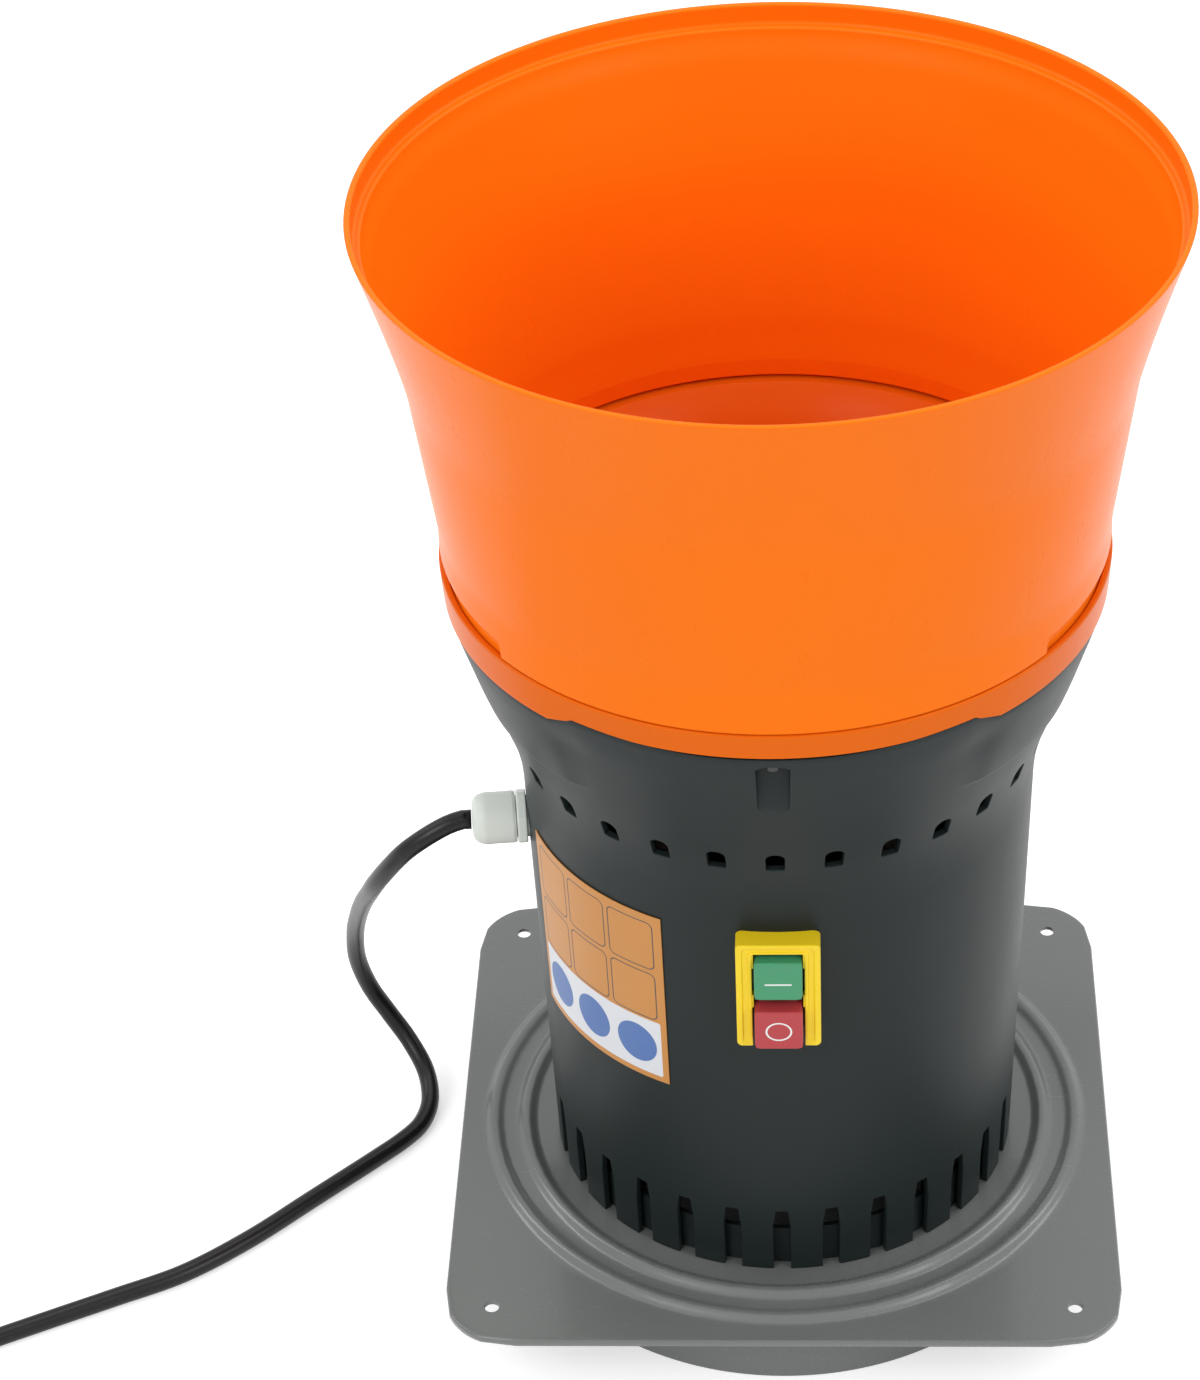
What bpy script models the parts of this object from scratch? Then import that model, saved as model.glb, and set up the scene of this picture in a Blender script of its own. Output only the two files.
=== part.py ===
"""Electric grain mill: a hopper over a motor housing, on a square barrel plate.

The mill stands on the round skirt under its plate, with the switch facing -Y and +Z up.
The origin is the centre of the skirt's bottom edge. Lengths are in metres.
Heights named ..._rise are measured from the top of the base plate.
"""
import math

import bmesh
import bpy
from mathutils import Matrix, Vector

MM = 0.001
GAP = 0.3 * MM          # between pieces that touch
OVERRUN = 2.0 * MM      # a cutter's reach past what it cuts
WELD_DISTANCE = 0.001 * MM      # corners closer than this are one
TURN_MERGE_DISTANCE = 0.01 * MM     # the same, where a turned outline closes

# Facets of the round pieces.
FACETS = 60             # of the housing, two for each of its openings
HOPPER_FACETS = 40
ROUND_FACETS = 32       # of large pieces that hardly show
MOTOR_FACETS = 16
SMALL_FACETS = 16
SCREW_FACETS = 8
FACET_ANGLE = math.tau / FACETS
HALF_FACET = FACET_ANGLE / 2
HOPPER_FACET_ANGLE = math.tau / HOPPER_FACETS

# Housing, with its heights above the plate's top.
HOUSING_WALL = 3.0 * MM
HOUSING_BASE_RADIUS = 114.2 * MM
HOUSING_TAPER = 0.0298          # radius gained for each unit of height
SEAM_RISE = 340.0 * MM
SIDE_SEAM_DROP = 7.0 * MM
CONE_END_DROP = 14.0 * MM       # below the seam
SHOULDER_DROP = 91.6 * MM       # below the seam
SHOULDER_BLEND = 21.0 * MM
SHOULDER_STEPS = 2
CONE_SLOPE = 0.35
SEAM_OVERHANG = 38.0 * MM       # of the seam's radius past the base's
SEAM_RADIUS = HOUSING_BASE_RADIUS + SEAM_OVERHANG
SIDE_SEAM_RISE = SEAM_RISE - SIDE_SEAM_DROP
CONE_END_RISE = SEAM_RISE - CONE_END_DROP
SHOULDER_RISE = SEAM_RISE - SHOULDER_DROP
CONE_WALL_SHARE = 1.07          # of the wall, measured level across the cone
LEDGE_THICKNESS = 5.0 * MM
LEDGE_WIDTH = 9.6 * MM
SIDE_SKIRT_WALL = 3.0 * MM
SIDE_START = math.radians(39.5)  # from the front
SIDE_END = math.pi - SIDE_START
OPENING_COUNT = 30
VENT_WIDTH = 8.9 * MM
VENT_HEIGHT = 10.2 * MM
VENT_LIFT = 9.6 * MM            # of the vents' foot above the shoulder
SLOT_WIDTH = 8.4 * MM
SLOT_HEIGHT = 39.0 * MM
ARCH_SHARE = 0.3                # of an opening's width, at each shoulder of its arch
POCKET_HALF_WIDTH = 7.0 * MM
POCKET_DEPTH = 11.2 * MM
POCKET_DROP = 36.5 * MM         # of its foot below the seam
POCKET_WALL = 2.0 * MM
POCKET_BACKING_LIFT = 2.5 * MM  # of the backing's foot above the pocket's
POCKET_COUNT = 2
POST_COUNT = 4
POST_INSET = 16.2 * MM          # of the posts' circle inside the base
POST_RADIUS = 6.0 * MM
POST_HEIGHT = 95.0 * MM
POST_CIRCLE_RADIUS = HOUSING_BASE_RADIUS - POST_INSET
GUSSET_HEIGHT = 15.0 * MM
GUSSET_WIDTH = 9.0 * MM
FIRST_POST_ANGLE = math.radians(45)

# Room between the motor and the housing, for the chute and the capacitor.
MOTOR_SPACE = 49.2 * MM
MOTOR_RADIUS = HOUSING_BASE_RADIUS - HOUSING_WALL - MOTOR_SPACE
CHUTE_INNER_CLEARANCE = 4.0 * MM    # of the feed opening from the motor
CHUTE_OUTER_CLEARANCE = 10.2 * MM   # of the feed opening from the housing

# Base plate, with its two ribs round the housing's foot.
PLATE_TOP = 49.0 * MM
PLATE_CORNER_RADIUS = 31.5 * MM
PLATE_THICKNESS = 2.0 * MM
HEM_DEPTH = 1.6 * MM
HEM_WIDTH = 2.2 * MM
PLATE_HOLE_INSET = 23.0 * MM    # from the plate's sides
PLATE_HOLE_RADIUS = 3.5 * MM
RIB_CLEARANCE = 16.3 * MM       # of the inner rib's crest from the housing
RIB_SPACING = 16.5 * MM
RIB_HALF_WIDTH = 6.2 * MM
RIB_CREST_HALF_WIDTH = 2.3 * MM
RIB_HEIGHT = 3.0 * MM
RIB_MARGIN = 2.5 * MM
PLATE_BORDER = 16.0 * MM        # from the outer rib's crest to the plate's sides
INNER_RIB_RADIUS = HOUSING_BASE_RADIUS + RIB_CLEARANCE
OUTER_RIB_RADIUS = INNER_RIB_RADIUS + RIB_SPACING
PLATE_SIDE = 2 * (OUTER_RIB_RADIUS + PLATE_BORDER)
HUB_HOLE_RADIUS = 30.0 * MM

# Chamber under the plate, with heights above the floor.
LINER_INSET = 0.2 * MM          # inside the housing's base
LINER_RADIUS = HOUSING_BASE_RADIUS - LINER_INSET
LINER_WALL = 2.0 * MM
SIEVE_MARGIN = 17.0 * MM        # of the sieve past the liner
SIEVE_RADIUS = LINER_RADIUS + SIEVE_MARGIN
SIEVE_THICKNESS = 1.2 * MM
SIEVE_HEIGHT = 8.4 * MM
SIEVE_HOLE_RADIUS = 3.0 * MM
SIEVE_HOLE_PITCH = 35.0 * MM
SIEVE_HOLE_FACETS = 6
DRUM_CLEARANCE = 7.8 * MM       # round the sieve
DRUM_RADIUS = SIEVE_RADIUS + DRUM_CLEARANCE
DRUM_WALL = 2.0 * MM
DRUM_FLANGE_WIDTH = 8.0 * MM
STUD_COUNT = 3
STUD_CLEARANCE = 9.0 * MM       # of the studs' circle from the liner
STUD_CIRCLE_RADIUS = LINER_RADIUS + STUD_CLEARANCE
STUD_RADIUS = 3.0 * MM
STUD_FOOT = 1.5 * MM
STUD_HOLE_CLEARANCE = 0.5 * MM
FIRST_STUD_ANGLE = math.radians(30)
WING_NUT_HEIGHT = 6.2 * MM
WING_NUT_RADIUS = 5.6 * MM
WING_SPAN = 24.0 * MM
WING_THICKNESS = 2.4 * MM
WING_FOOT = 1.2 * MM            # below the hub's top, so that the wings clear the sieve

# Locating ring that centres the housing.
LOCATING_RING_HEIGHT = 22.0 * MM
LOCATING_RING_WALL = 2.5 * MM
LOCATING_RING_CLEARANCE = 1.6 * MM

# Screws.
RING_SCREW_INSET = 5.6 * MM     # of the screws' circle inside the seam
RING_SCREW_CIRCLE_RADIUS = SEAM_RADIUS - RING_SCREW_INSET
RING_SCREW_RADIUS = 2.0 * MM
RING_SCREW_HEAD_RADIUS = 3.6 * MM
RING_SCREW_HEAD = 2.8 * MM
RING_SCREW_BITE = 4.4 * MM
HOUSING_SCREW_RADIUS = 2.5 * MM
HOUSING_SCREW_HEAD_RADIUS = 4.6 * MM
HOUSING_SCREW_HEAD = 3.2 * MM
HOUSING_SCREW_BITE = 24.0 * MM
SCREW_CLEARANCE = 0.3 * MM

# Funnel ring on the seam, and the funnel down to the feed.
LIP_HEIGHT = 13.5 * MM          # above the seam
LIP_LEAN = 1.2 * MM             # outwards, from the seam to the lip
LIP_WALL = 3.1 * MM
RING_FLOOR_HEIGHT = 5.7 * MM    # above the seam
FUNNEL_MOUTH_INSET = 10.4 * MM  # inside the lip
FUNNEL_THROAT_INSET = 15.0 * MM     # inside the mouth
FUNNEL_THROAT_DEPTH = 15.0 * MM     # below the ring's floor
FUNNEL_WALL = 3.0 * MM
FUNNEL_WALL_SHARE = 1.35        # of the wall, measured level across the steep mouth
OUTLET_DEPTH = 98.0 * MM        # below the seam
OUTLET_SPIGOT = 7.1 * MM
OUTLET_HALF_X = 24.0 * MM
OUTLET_HALF_Y = (MOTOR_SPACE - CHUTE_INNER_CLEARANCE - CHUTE_OUTER_CLEARANCE) / 2
OUTLET_Y = MOTOR_RADIUS + CHUTE_INNER_CLEARANCE + OUTLET_HALF_Y
OUTLET_POWER = 5.0              # how square the outlet is
OUTLET_WALL = 2.5 * MM
LIP_RISE = SEAM_RISE + LIP_HEIGHT
LIP_RADIUS = SEAM_RADIUS + LIP_LEAN
RING_FLOOR_RISE = SEAM_RISE + RING_FLOOR_HEIGHT
FUNNEL_MOUTH_RADIUS = LIP_RADIUS - FUNNEL_MOUTH_INSET
FUNNEL_THROAT_RADIUS = FUNNEL_MOUTH_RADIUS - FUNNEL_THROAT_INSET
FUNNEL_THROAT_RISE = RING_FLOOR_RISE - FUNNEL_THROAT_DEPTH
OUTLET_RISE = SEAM_RISE - OUTLET_DEPTH
SPIGOT_FOOT_RISE = OUTLET_RISE - OUTLET_SPIGOT

# Hopper extension, whose spigot stands in the ring's lip.
SPIGOT_CLEARANCE = 0.4 * MM
SPIGOT_WALL = 3.0 * MM
SPIGOT_LIFT = 1.3 * MM          # above the ring's floor
SKIRT_INSET = 0.7 * MM          # inside the lip
SKIRT_HEIGHT = 21.5 * MM
NOTCH_HEIGHT = 8.5 * MM
NOTCH_START = math.radians(51.5)    # from the front
NOTCH_END = math.pi - NOTCH_START
EXTENSION_SLOPE = 0.129
STRAIGHT_HEIGHT = 77.0 * MM
FLARE_HEIGHT = 77.3 * MM
FLARE_REACH = 11.0 * MM
FLARE_POWER = 1.3
FLARE_STEPS = 3
EXTENSION_WALL = 3.0 * MM
LID_SEAT_DEPTH = 10.0 * MM
LID_SEAT_LEDGE = 3.6 * MM
RIM_WALL = 3.2 * MM
SPIGOT_RADIUS = LIP_RADIUS - LIP_WALL - SPIGOT_CLEARANCE
SPIGOT_BOTTOM_RISE = RING_FLOOR_RISE + SPIGOT_LIFT
SKIRT_RADIUS = LIP_RADIUS - SKIRT_INSET
SKIRT_TOP_RISE = LIP_RISE + SKIRT_HEIGHT
NOTCH_TOP_RISE = LIP_RISE + NOTCH_HEIGHT
FLARE_START_RISE = SKIRT_TOP_RISE + STRAIGHT_HEIGHT
RIM_RISE = FLARE_START_RISE + FLARE_HEIGHT

# Feed chute and shutter.
CHUTE_WALL = 1.5 * MM
CHUTE_FLANGE_WIDTH = 5.0 * MM
CHUTE_FLANGE_THICKNESS = 1.5 * MM
SHUTTER_THICKNESS = 1.8 * MM
SHUTTER_MARGIN = 3.0 * MM       # of the shutter past the outlet's sides
SHUTTER_HALF_WIDTH = OUTLET_HALF_X + SHUTTER_MARGIN
SHUTTER_INNER_MARGIN = 4.0 * MM     # of its inner end past the outlet
SHUTTER_INNER_END = OUTLET_Y - OUTLET_HALF_Y - SHUTTER_INNER_MARGIN
SHUTTER_PROTRUSION = 25.8 * MM  # of its outer end past the housing's base
SHUTTER_OUTER_END = HOUSING_BASE_RADIUS + SHUTTER_PROTRUSION
SHUTTER_SLOT_CLEARANCE = 0.8 * MM
SHUTTER_SLOT_REACH = 54.0 * MM
KNOB_LENGTH = 11.0 * MM
KNOB_HEIGHT = 16.0 * MM
KNOB_BITE = 6.0 * MM
KNOB_ROUNDING = 2.5 * MM

# Motor.
SHAFT_RADIUS = 7.5 * MM
SHAFT_FOOT = 14.0 * MM          # above the floor
SHAFT_TOP_RISE = 210.0 * MM
RUNNING_GAP = 0.4 * MM
BELL_WALL = 3.0 * MM
LOWER_BELL_HEIGHT = 38.0 * MM
UPPER_BELL_HEIGHT = 40.0 * MM
BELL_HUB_RADIUS = 26.0 * MM
STATOR_LENGTH = 90.0 * MM
STATOR_WALL = 23.5 * MM
STATOR_BORE_RADIUS = MOTOR_RADIUS - STATOR_WALL
AIR_GAP = 0.8 * MM
WINDING_MARGIN = 2.0 * MM       # of the windings outside the bore
WINDING_WALL = 12.0 * MM
WINDING_INNER_RADIUS = STATOR_BORE_RADIUS + WINDING_MARGIN
WINDING_OUTER_RADIUS = WINDING_INNER_RADIUS + WINDING_WALL
WINDING_HEIGHT = 15.0 * MM
BEARING_RING = 10.0 * MM
BEARING_RADIUS = SHAFT_RADIUS + BEARING_RING
BEARING_WIDTH = 11.0 * MM
BEARING_SEAT = 3.0 * MM
TIE_BOLT_COUNT = 4
TIE_BOLT_INSET = 6.0 * MM       # of the bolts' circle inside the motor
TIE_BOLT_CIRCLE_RADIUS = MOTOR_RADIUS - TIE_BOLT_INSET
TIE_BOLT_RADIUS = 2.2 * MM
TIE_BOLT_HEAD_RADIUS = 4.2 * MM
TIE_BOLT_HEAD = 3.0 * MM
FAN_INSET = 10.0 * MM           # of the fan's rim inside the motor
FAN_RADIUS = MOTOR_RADIUS - FAN_INSET
FAN_HUB_WALL = 6.5 * MM
FAN_HUB_RADIUS = SHAFT_RADIUS + FAN_HUB_WALL
FAN_PLATE = 2.0 * MM
FAN_TOP_DROP = 8.0 * MM         # below the shaft's top
FAN_HEIGHT = 24.0 * MM
FAN_BLADE_COUNT = 7
FAN_BLADE_THICKNESS = 2.0 * MM
FAN_BLADE_START = 6.0 * MM      # of the blades outside the hub
CAPACITOR_HEIGHT = 68.0 * MM
CAPACITOR_INNER_CLEARANCE = 5.0 * MM    # from the motor
CAPACITOR_OUTER_CLEARANCE = 6.2 * MM    # from the housing
CAPACITOR_RADIUS = (MOTOR_SPACE - CAPACITOR_INNER_CLEARANCE - CAPACITOR_OUTER_CLEARANCE) / 2
CAPACITOR_X = MOTOR_RADIUS + CAPACITOR_INNER_CLEARANCE + CAPACITOR_RADIUS
CAPACITOR_FOOT_RISE = 40.0 * MM
CAPACITOR_CHAMFER = 2.0 * MM
CLAMP_WALL = 2.0 * MM
CLAMP_HEIGHT = 14.0 * MM
CLAMP_LIFT = 24.0 * MM          # above the can's foot
CLAMP_FOOT_WIDTH = 14.0 * MM

# Grinding blade on the shaft's lower end.
BLADE_CLEARANCE = 12.0 * MM     # of the blade's tips from the liner
BLADE_LENGTH = 2 * (LINER_RADIUS - LINER_WALL - BLADE_CLEARANCE)
BLADE_WIDTH = 28.0 * MM
BLADE_THICKNESS = 4.0 * MM
BLADE_LIFT = 12.0 * MM          # above the shaft's foot
BLADE_BOTTOM = SHAFT_FOOT + BLADE_LIFT
BLADE_TIP_CUT = 9.0 * MM
SPACER_WALL = 6.5 * MM
SPACER_RADIUS = SHAFT_RADIUS + SPACER_WALL
BLADE_NUT_WALL = 6.0 * MM       # at its corners
BLADE_NUT_HEIGHT = 9.0 * MM

# Switch, with heights above its foot and depths behind its front.
SWITCH_X = 0.5 * MM
SWITCH_WIDTH = 38.5 * MM
SWITCH_DROP = 89.6 * MM         # of its foot below the housing's shoulder
SWITCH_FOOT_RISE = SHOULDER_RISE - SWITCH_DROP
SWITCH_HEIGHT = 59.5 * MM
SWITCH_CORNER_RADIUS = 2.4 * MM
SWITCH_PROTRUSION = 16.3 * MM   # past the housing's base
SWITCH_FRONT = HOUSING_BASE_RADIUS + SWITCH_PROTRUSION
SWITCH_BODY_DEPTH = 46.5 * MM
SWITCH_BODY_BACK = SWITCH_FRONT - SWITCH_BODY_DEPTH
FRAME_FACE = 4.0 * MM
FRAME_WALL = 2.4 * MM
GROOVE_INSET = 2.8 * MM
GROOVE_WIDTH = 2.6 * MM
GROOVE_DEPTH = 1.0 * MM
WINDOW_HALF_WIDTH = 12.0 * MM
WINDOW_TOP_DROP = 5.3 * MM      # below the frame's top
SWITCH_HOLE_CLEARANCE = 0.8 * MM
BUTTON_WIDTH = 22.0 * MM
START_LIFT = 29.1 * MM
START_MARGIN = 3.1 * MM         # below the window's top
START_HEIGHT = SWITCH_HEIGHT - START_LIFT - WINDOW_TOP_DROP - START_MARGIN
STOP_LIFT = 3.1 * MM
STOP_HEIGHT = 20.9 * MM
START_LOW_RISE = SWITCH_FOOT_RISE + START_LIFT
START_HIGH_RISE = START_LOW_RISE + START_HEIGHT
STOP_LOW_RISE = SWITCH_FOOT_RISE + STOP_LIFT
STOP_HIGH_RISE = STOP_LOW_RISE + STOP_HEIGHT
START_PROTRUSION = 2.5 * MM     # past the frame
STOP_PROTRUSION = 5.0 * MM
START_FRONT = SWITCH_FRONT + START_PROTRUSION
STOP_FRONT = SWITCH_FRONT + STOP_PROTRUSION
BUTTON_DEPTH = 8.5 * MM
BUTTON_BACK = SWITCH_FRONT - BUTTON_DEPTH
BUTTON_ROUNDING = 1.2 * MM
SPRING_SPACE = 10.0 * MM        # behind a button
POCKET_BACK = BUTTON_BACK - SPRING_SPACE
BUTTON_CLEARANCE = 0.5 * MM
SPRING_RADIUS = 4.0 * MM
SPRING_WIRE_RADIUS = 0.5 * MM
SPRING_CURL_COUNT = 3
SPRING_CURL_FACETS = 8

# Cable gland, along its own axis from the mill's axis.
GLAND_DROP = 47.4 * MM          # below the housing's shoulder
GLAND_RISE = SHOULDER_RISE - GLAND_DROP
GLAND_ANGLE = math.radians(-84)
GLAND_SEAT = 0.6102 * MM        # of the flange past the tapered wall
GLAND_FLANGE = 4.8 * MM
GLAND_FLANGE_START = HOUSING_BASE_RADIUS + HOUSING_TAPER * GLAND_RISE + GLAND_SEAT
GLAND_FLANGE_END = GLAND_FLANGE_START + GLAND_FLANGE
GLAND_THREAD_RADIUS = 10.0 * MM
GLAND_FLANGE_MARGIN = 4.0 * MM  # of the flange's corners round the thread
GLAND_FLANGE_RADIUS = GLAND_THREAD_RADIUS + GLAND_FLANGE_MARGIN
GLAND_OUTER_THREAD = 7.4 * MM
GLAND_THREAD_END = GLAND_FLANGE_END + GLAND_OUTER_THREAD
GLAND_INNER_THREAD = 14.8 * MM
GLAND_INNER_END = GLAND_FLANGE_START - GLAND_INNER_THREAD
GLAND_NUT_MARGIN = 3.0 * MM     # of the nut round the thread
GLAND_NUT_RADIUS = GLAND_THREAD_RADIUS + GLAND_NUT_MARGIN
GLAND_NUT_LENGTH = 21.4 * MM
GLAND_NUT_END = GLAND_FLANGE_END + GLAND_NUT_LENGTH
GLAND_NUT_WALL = 2.0 * MM
LOCKNUT_HEIGHT = 5.0 * MM
LOCKNUT_SEAT = 5.2 * MM         # of its outer face inside the flange
LOCKNUT_OUTER_FACE = GLAND_FLANGE_START - LOCKNUT_SEAT

# Cord: from the gland to the coil.
CORD_RADIUS = 4.7 * MM
CORD_BEVEL_STEPS = 2
CORD_POINT_SPACING = 22.0 * MM
CORD_LIFT = 0.1 * MM            # of the lying cord off the floor
FLOOR_Z = CORD_RADIUS + CORD_LIFT
GLAND_BORE_CLEARANCE = 0.9 * MM     # round the cord
GLAND_BORE_RADIUS = CORD_RADIUS + GLAND_BORE_CLEARANCE
GLAND_MOUTH_MARGIN = 2.9 * MM   # of the nut's face round the cord
GLAND_MOUTH_RADIUS = CORD_RADIUS + GLAND_MOUTH_MARGIN
CORD_ROUTE = (
    (-0.1590, -0.0180, 0.2480), (-0.1690, -0.0200, 0.2425), (-0.1790, -0.0200, 0.2340),
    (-0.1880, -0.0145, 0.2200),
    (-0.1965, -0.0040, 0.2020), (-0.2030, 0.0130, 0.1815), (-0.2095, 0.0345, 0.1580),
    (-0.2160, 0.0570, 0.1310), (-0.2215, 0.0765, 0.1030), (-0.2235, 0.0880, 0.0760),
    (-0.2190, 0.0923, 0.0529), (-0.2095, 0.0905, 0.0352), (-0.1992, 0.0835, 0.0223),
    (-0.1903, 0.0705, 0.0127), (-0.1870, 0.0540, 0.0070), (-0.1903, 0.0385, FLOOR_Z),
    (-0.1986, 0.0256, FLOOR_Z), (-0.2130, 0.0103, FLOOR_Z), (-0.2426, -0.0194, FLOOR_Z),
    (-0.2717, -0.0484, FLOOR_Z), (-0.3023, -0.0729, FLOOR_Z), (-0.3355, -0.0902, FLOOR_Z),
    (-0.3687, -0.1070, FLOOR_Z), (-0.4050, -0.1256, FLOOR_Z),
)

# Coil of the cord's spare length, beyond the left side.
COIL_CENTRE_X = -470.0 * MM
COIL_CENTRE_Y = -95.0 * MM
COIL_OUTER_RADIUS = 57.0 * MM
COIL_PITCH = 10.0 * MM
COIL_LAYER_RISE = 10.0 * MM
COIL_START_ANGLE = math.radians(-64.5)
COIL_END_ANGLE = math.radians(-180)
COIL_TURN_COUNT = 3
COIL_TURN_FACETS = 24
COIL_BEVEL_STEPS = 1
COIL_LEAST_GAP = 0.4 * MM

# Plug on the cord's end.
PLUG_RADIUS = 18.5 * MM
PLUG_LENGTH = 44.0 * MM
PLUG_NECK_WALL = 3.3 * MM       # round the cord
PLUG_NECK_RADIUS = CORD_RADIUS + PLUG_NECK_WALL
PLUG_NECK_LENGTH = 16.0 * MM
PLUG_CHAMFER = 2.0 * MM
PLUG_LEAD = 30.0 * MM           # of cord between the coil and the plug
PLUG_LIFT = 0.4 * MM
PIN_RADIUS = 2.4 * MM
PIN_LENGTH = 19.0 * MM
PIN_SPACING = 19.0 * MM
PIN_TIP = 1.2 * MM

# Side sticker.
STICKER_START = math.radians(-69.5)
STICKER_END = math.radians(-26.0)
STICKER_DROP = 135.4 * MM       # of its foot below the housing's shoulder
STICKER_LOW_RISE = SHOULDER_RISE - STICKER_DROP
STICKER_HEIGHT = 103.0 * MM
STICKER_THICKNESS = 0.4 * MM
STICKER_FACETS = 8


# Blender helpers.

def clear_scene():
    """Remove every object of the open file."""
    for obj in list(bpy.data.objects):
        bpy.data.objects.remove(obj, do_unlink=True)


def new_collection(name):
    """Make a collection in the scene."""
    collection = bpy.data.collections.new(name)
    bpy.context.scene.collection.children.link(collection)
    return collection


clear_scene()
PARTS = new_collection("electric_grain_mill")
CUTTERS = new_collection("cutters")


def new_material(name, colour, roughness, metallic=0.0):
    """Make a plain Principled material."""
    material = bpy.data.materials.new(name)
    material.use_nodes = True
    shader = material.node_tree.nodes["Principled BSDF"]
    shader.inputs["Base Color"].default_value = (*colour, 1.0)
    shader.inputs["Roughness"].default_value = roughness
    shader.inputs["Metallic"].default_value = metallic
    return material


ORANGE = new_material("orange_plastic", (0.93, 0.23, 0.02), 0.3)
CHARCOAL = new_material("charcoal_plastic", (0.045, 0.052, 0.056), 0.5)
PAINTED = new_material("grey_paint", (0.22, 0.235, 0.225), 0.35)
STEEL = new_material("bright_steel", (0.56, 0.56, 0.57), 0.35, 1.0)
IRON = new_material("motor_iron", (0.20, 0.20, 0.21), 0.5, 0.8)
ALUMINIUM = new_material("cast_aluminium", (0.60, 0.61, 0.62), 0.45, 0.9)
COPPER = new_material("wound_copper", (0.55, 0.22, 0.09), 0.4, 0.9)
YELLOW = new_material("yellow_plastic", (0.83, 0.60, 0.02), 0.4)
GREEN = new_material("green_plastic", (0.05, 0.34, 0.17), 0.4)
RED = new_material("red_plastic", (0.55, 0.04, 0.05), 0.4)
BLACK = new_material("black_plastic", (0.02, 0.02, 0.022), 0.5)
PALE_GREY = new_material("pale_grey_nylon", (0.55, 0.59, 0.54), 0.4)
RUBBER = new_material("black_rubber", (0.015, 0.015, 0.016), 0.6)
STICKER_FILM = new_material("sticker_film", (0.80, 0.26, 0.03), 0.4)


def place_in(collection, obj):
    """Link an object to one collection; a cutter is also left out of renders."""
    collection.objects.link(obj)
    if collection is CUTTERS:
        obj.hide_render = True
        obj.display_type = "WIRE"


def solid_from_bmesh(name, bm, material, collection=PARTS):
    """Turn a bmesh into an object."""
    bmesh.ops.recalc_face_normals(bm, faces=bm.faces)
    mesh = bpy.data.meshes.new(name)
    bm.to_mesh(mesh)
    bm.free()
    if material:
        mesh.materials.append(material)
    obj = bpy.data.objects.new(name, mesh)
    place_in(collection, obj)
    return obj


def frozen(source, name, material, collection=PARTS):
    """Replace an object by the mesh that its modifiers or its curve make."""
    graph = bpy.context.evaluated_depsgraph_get()
    mesh = bpy.data.meshes.new_from_object(source.evaluated_get(graph))
    bm = bmesh.new()
    bm.from_mesh(mesh)
    bmesh.ops.remove_doubles(bm, verts=bm.verts, dist=WELD_DISTANCE)
    bm.to_mesh(mesh)
    bm.free()
    mesh.materials.clear()
    if material:
        mesh.materials.append(material)
    matrix = source.matrix_world.copy()
    bpy.data.objects.remove(source, do_unlink=True)
    obj = bpy.data.objects.new(name, mesh)
    obj.matrix_world = matrix
    place_in(collection, obj)
    return obj


def smooth(obj, sharp_angle=math.radians(35)):
    """Shade an object smooth, with its sharp edges kept."""
    obj.data.shade_smooth()
    obj.data.set_sharp_from_angle(angle=sharp_angle)
    return obj


def turned(name, outline, material, closed=True, facets=FACETS, start=HALF_FACET, collection=PARTS):
    """Turn an outline of (radius, height) round Z.

    A closed outline runs down its outer side and up its inner side. An open one
    starts on the axis at the top and ends on the axis at the bottom.
    """
    mesh = bpy.data.meshes.new(name)
    count = len(outline)
    edges = [(i, (i + 1) % count) for i in range(count if closed else count - 1)]
    mesh.from_pydata([(radius, 0.0, height) for radius, height in outline], edges, [])
    profile = bpy.data.objects.new(name + "_profile", mesh)
    PARTS.objects.link(profile)
    screw = profile.modifiers.new("turn", "SCREW")
    screw.steps = screw.render_steps = facets
    screw.use_merge_vertices = True
    screw.merge_threshold = TURN_MERGE_DISTANCE
    profile.rotation_euler.z = start
    bpy.context.view_layer.update()
    obj = frozen(profile, name, material, collection)
    obj.data.transform(obj.matrix_world)
    obj.matrix_world = Matrix()
    return smooth(obj)


def box(name, low, high, material=None, collection=PARTS):
    """Make a box between two corners."""
    low, high = Vector(low), Vector(high)
    place = Matrix.Translation((low + high) / 2) @ Matrix.Diagonal((*(high - low), 1.0))
    bm = bmesh.new()
    bmesh.ops.create_cube(bm, size=1.0, matrix=place)
    return solid_from_bmesh(name, bm, material, collection)


def rod(name, radius, low, high, centre=(0.0, 0.0), material=None, facets=SMALL_FACETS,
        collection=PARTS, turn=0.0):
    """Make a cylinder along Z between two heights."""
    place = Matrix.Translation((centre[0], centre[1], (low + high) / 2)) @ Matrix.Rotation(turn, 4, "Z")
    bm = bmesh.new()
    bmesh.ops.create_cone(bm, cap_ends=True, segments=facets, radius1=radius, radius2=radius,
                          depth=high - low, matrix=place)
    return smooth(solid_from_bmesh(name, bm, material, collection))


def prism(name, outline, low, high, material=None, collection=PARTS):
    """Fill a flat outline and give it a thickness from low to high along Z."""
    curve = bpy.data.curves.new(name, "CURVE")
    curve.dimensions = "2D"
    curve.fill_mode = "BOTH"
    curve.extrude = (high - low) / 2
    spline = curve.splines.new("POLY")
    spline.points.add(len(outline) - 1)
    for point, (x, y) in zip(spline.points, outline):
        point.co = (x, y, 0.0, 1.0)
    spline.use_cyclic_u = True
    flat = bpy.data.objects.new(name + "_outline", curve)
    flat.location.z = (low + high) / 2
    PARTS.objects.link(flat)
    bpy.context.view_layer.update()
    obj = frozen(flat, name, material, collection)
    obj.data.transform(obj.matrix_world)
    obj.matrix_world = Matrix()
    return obj


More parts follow.
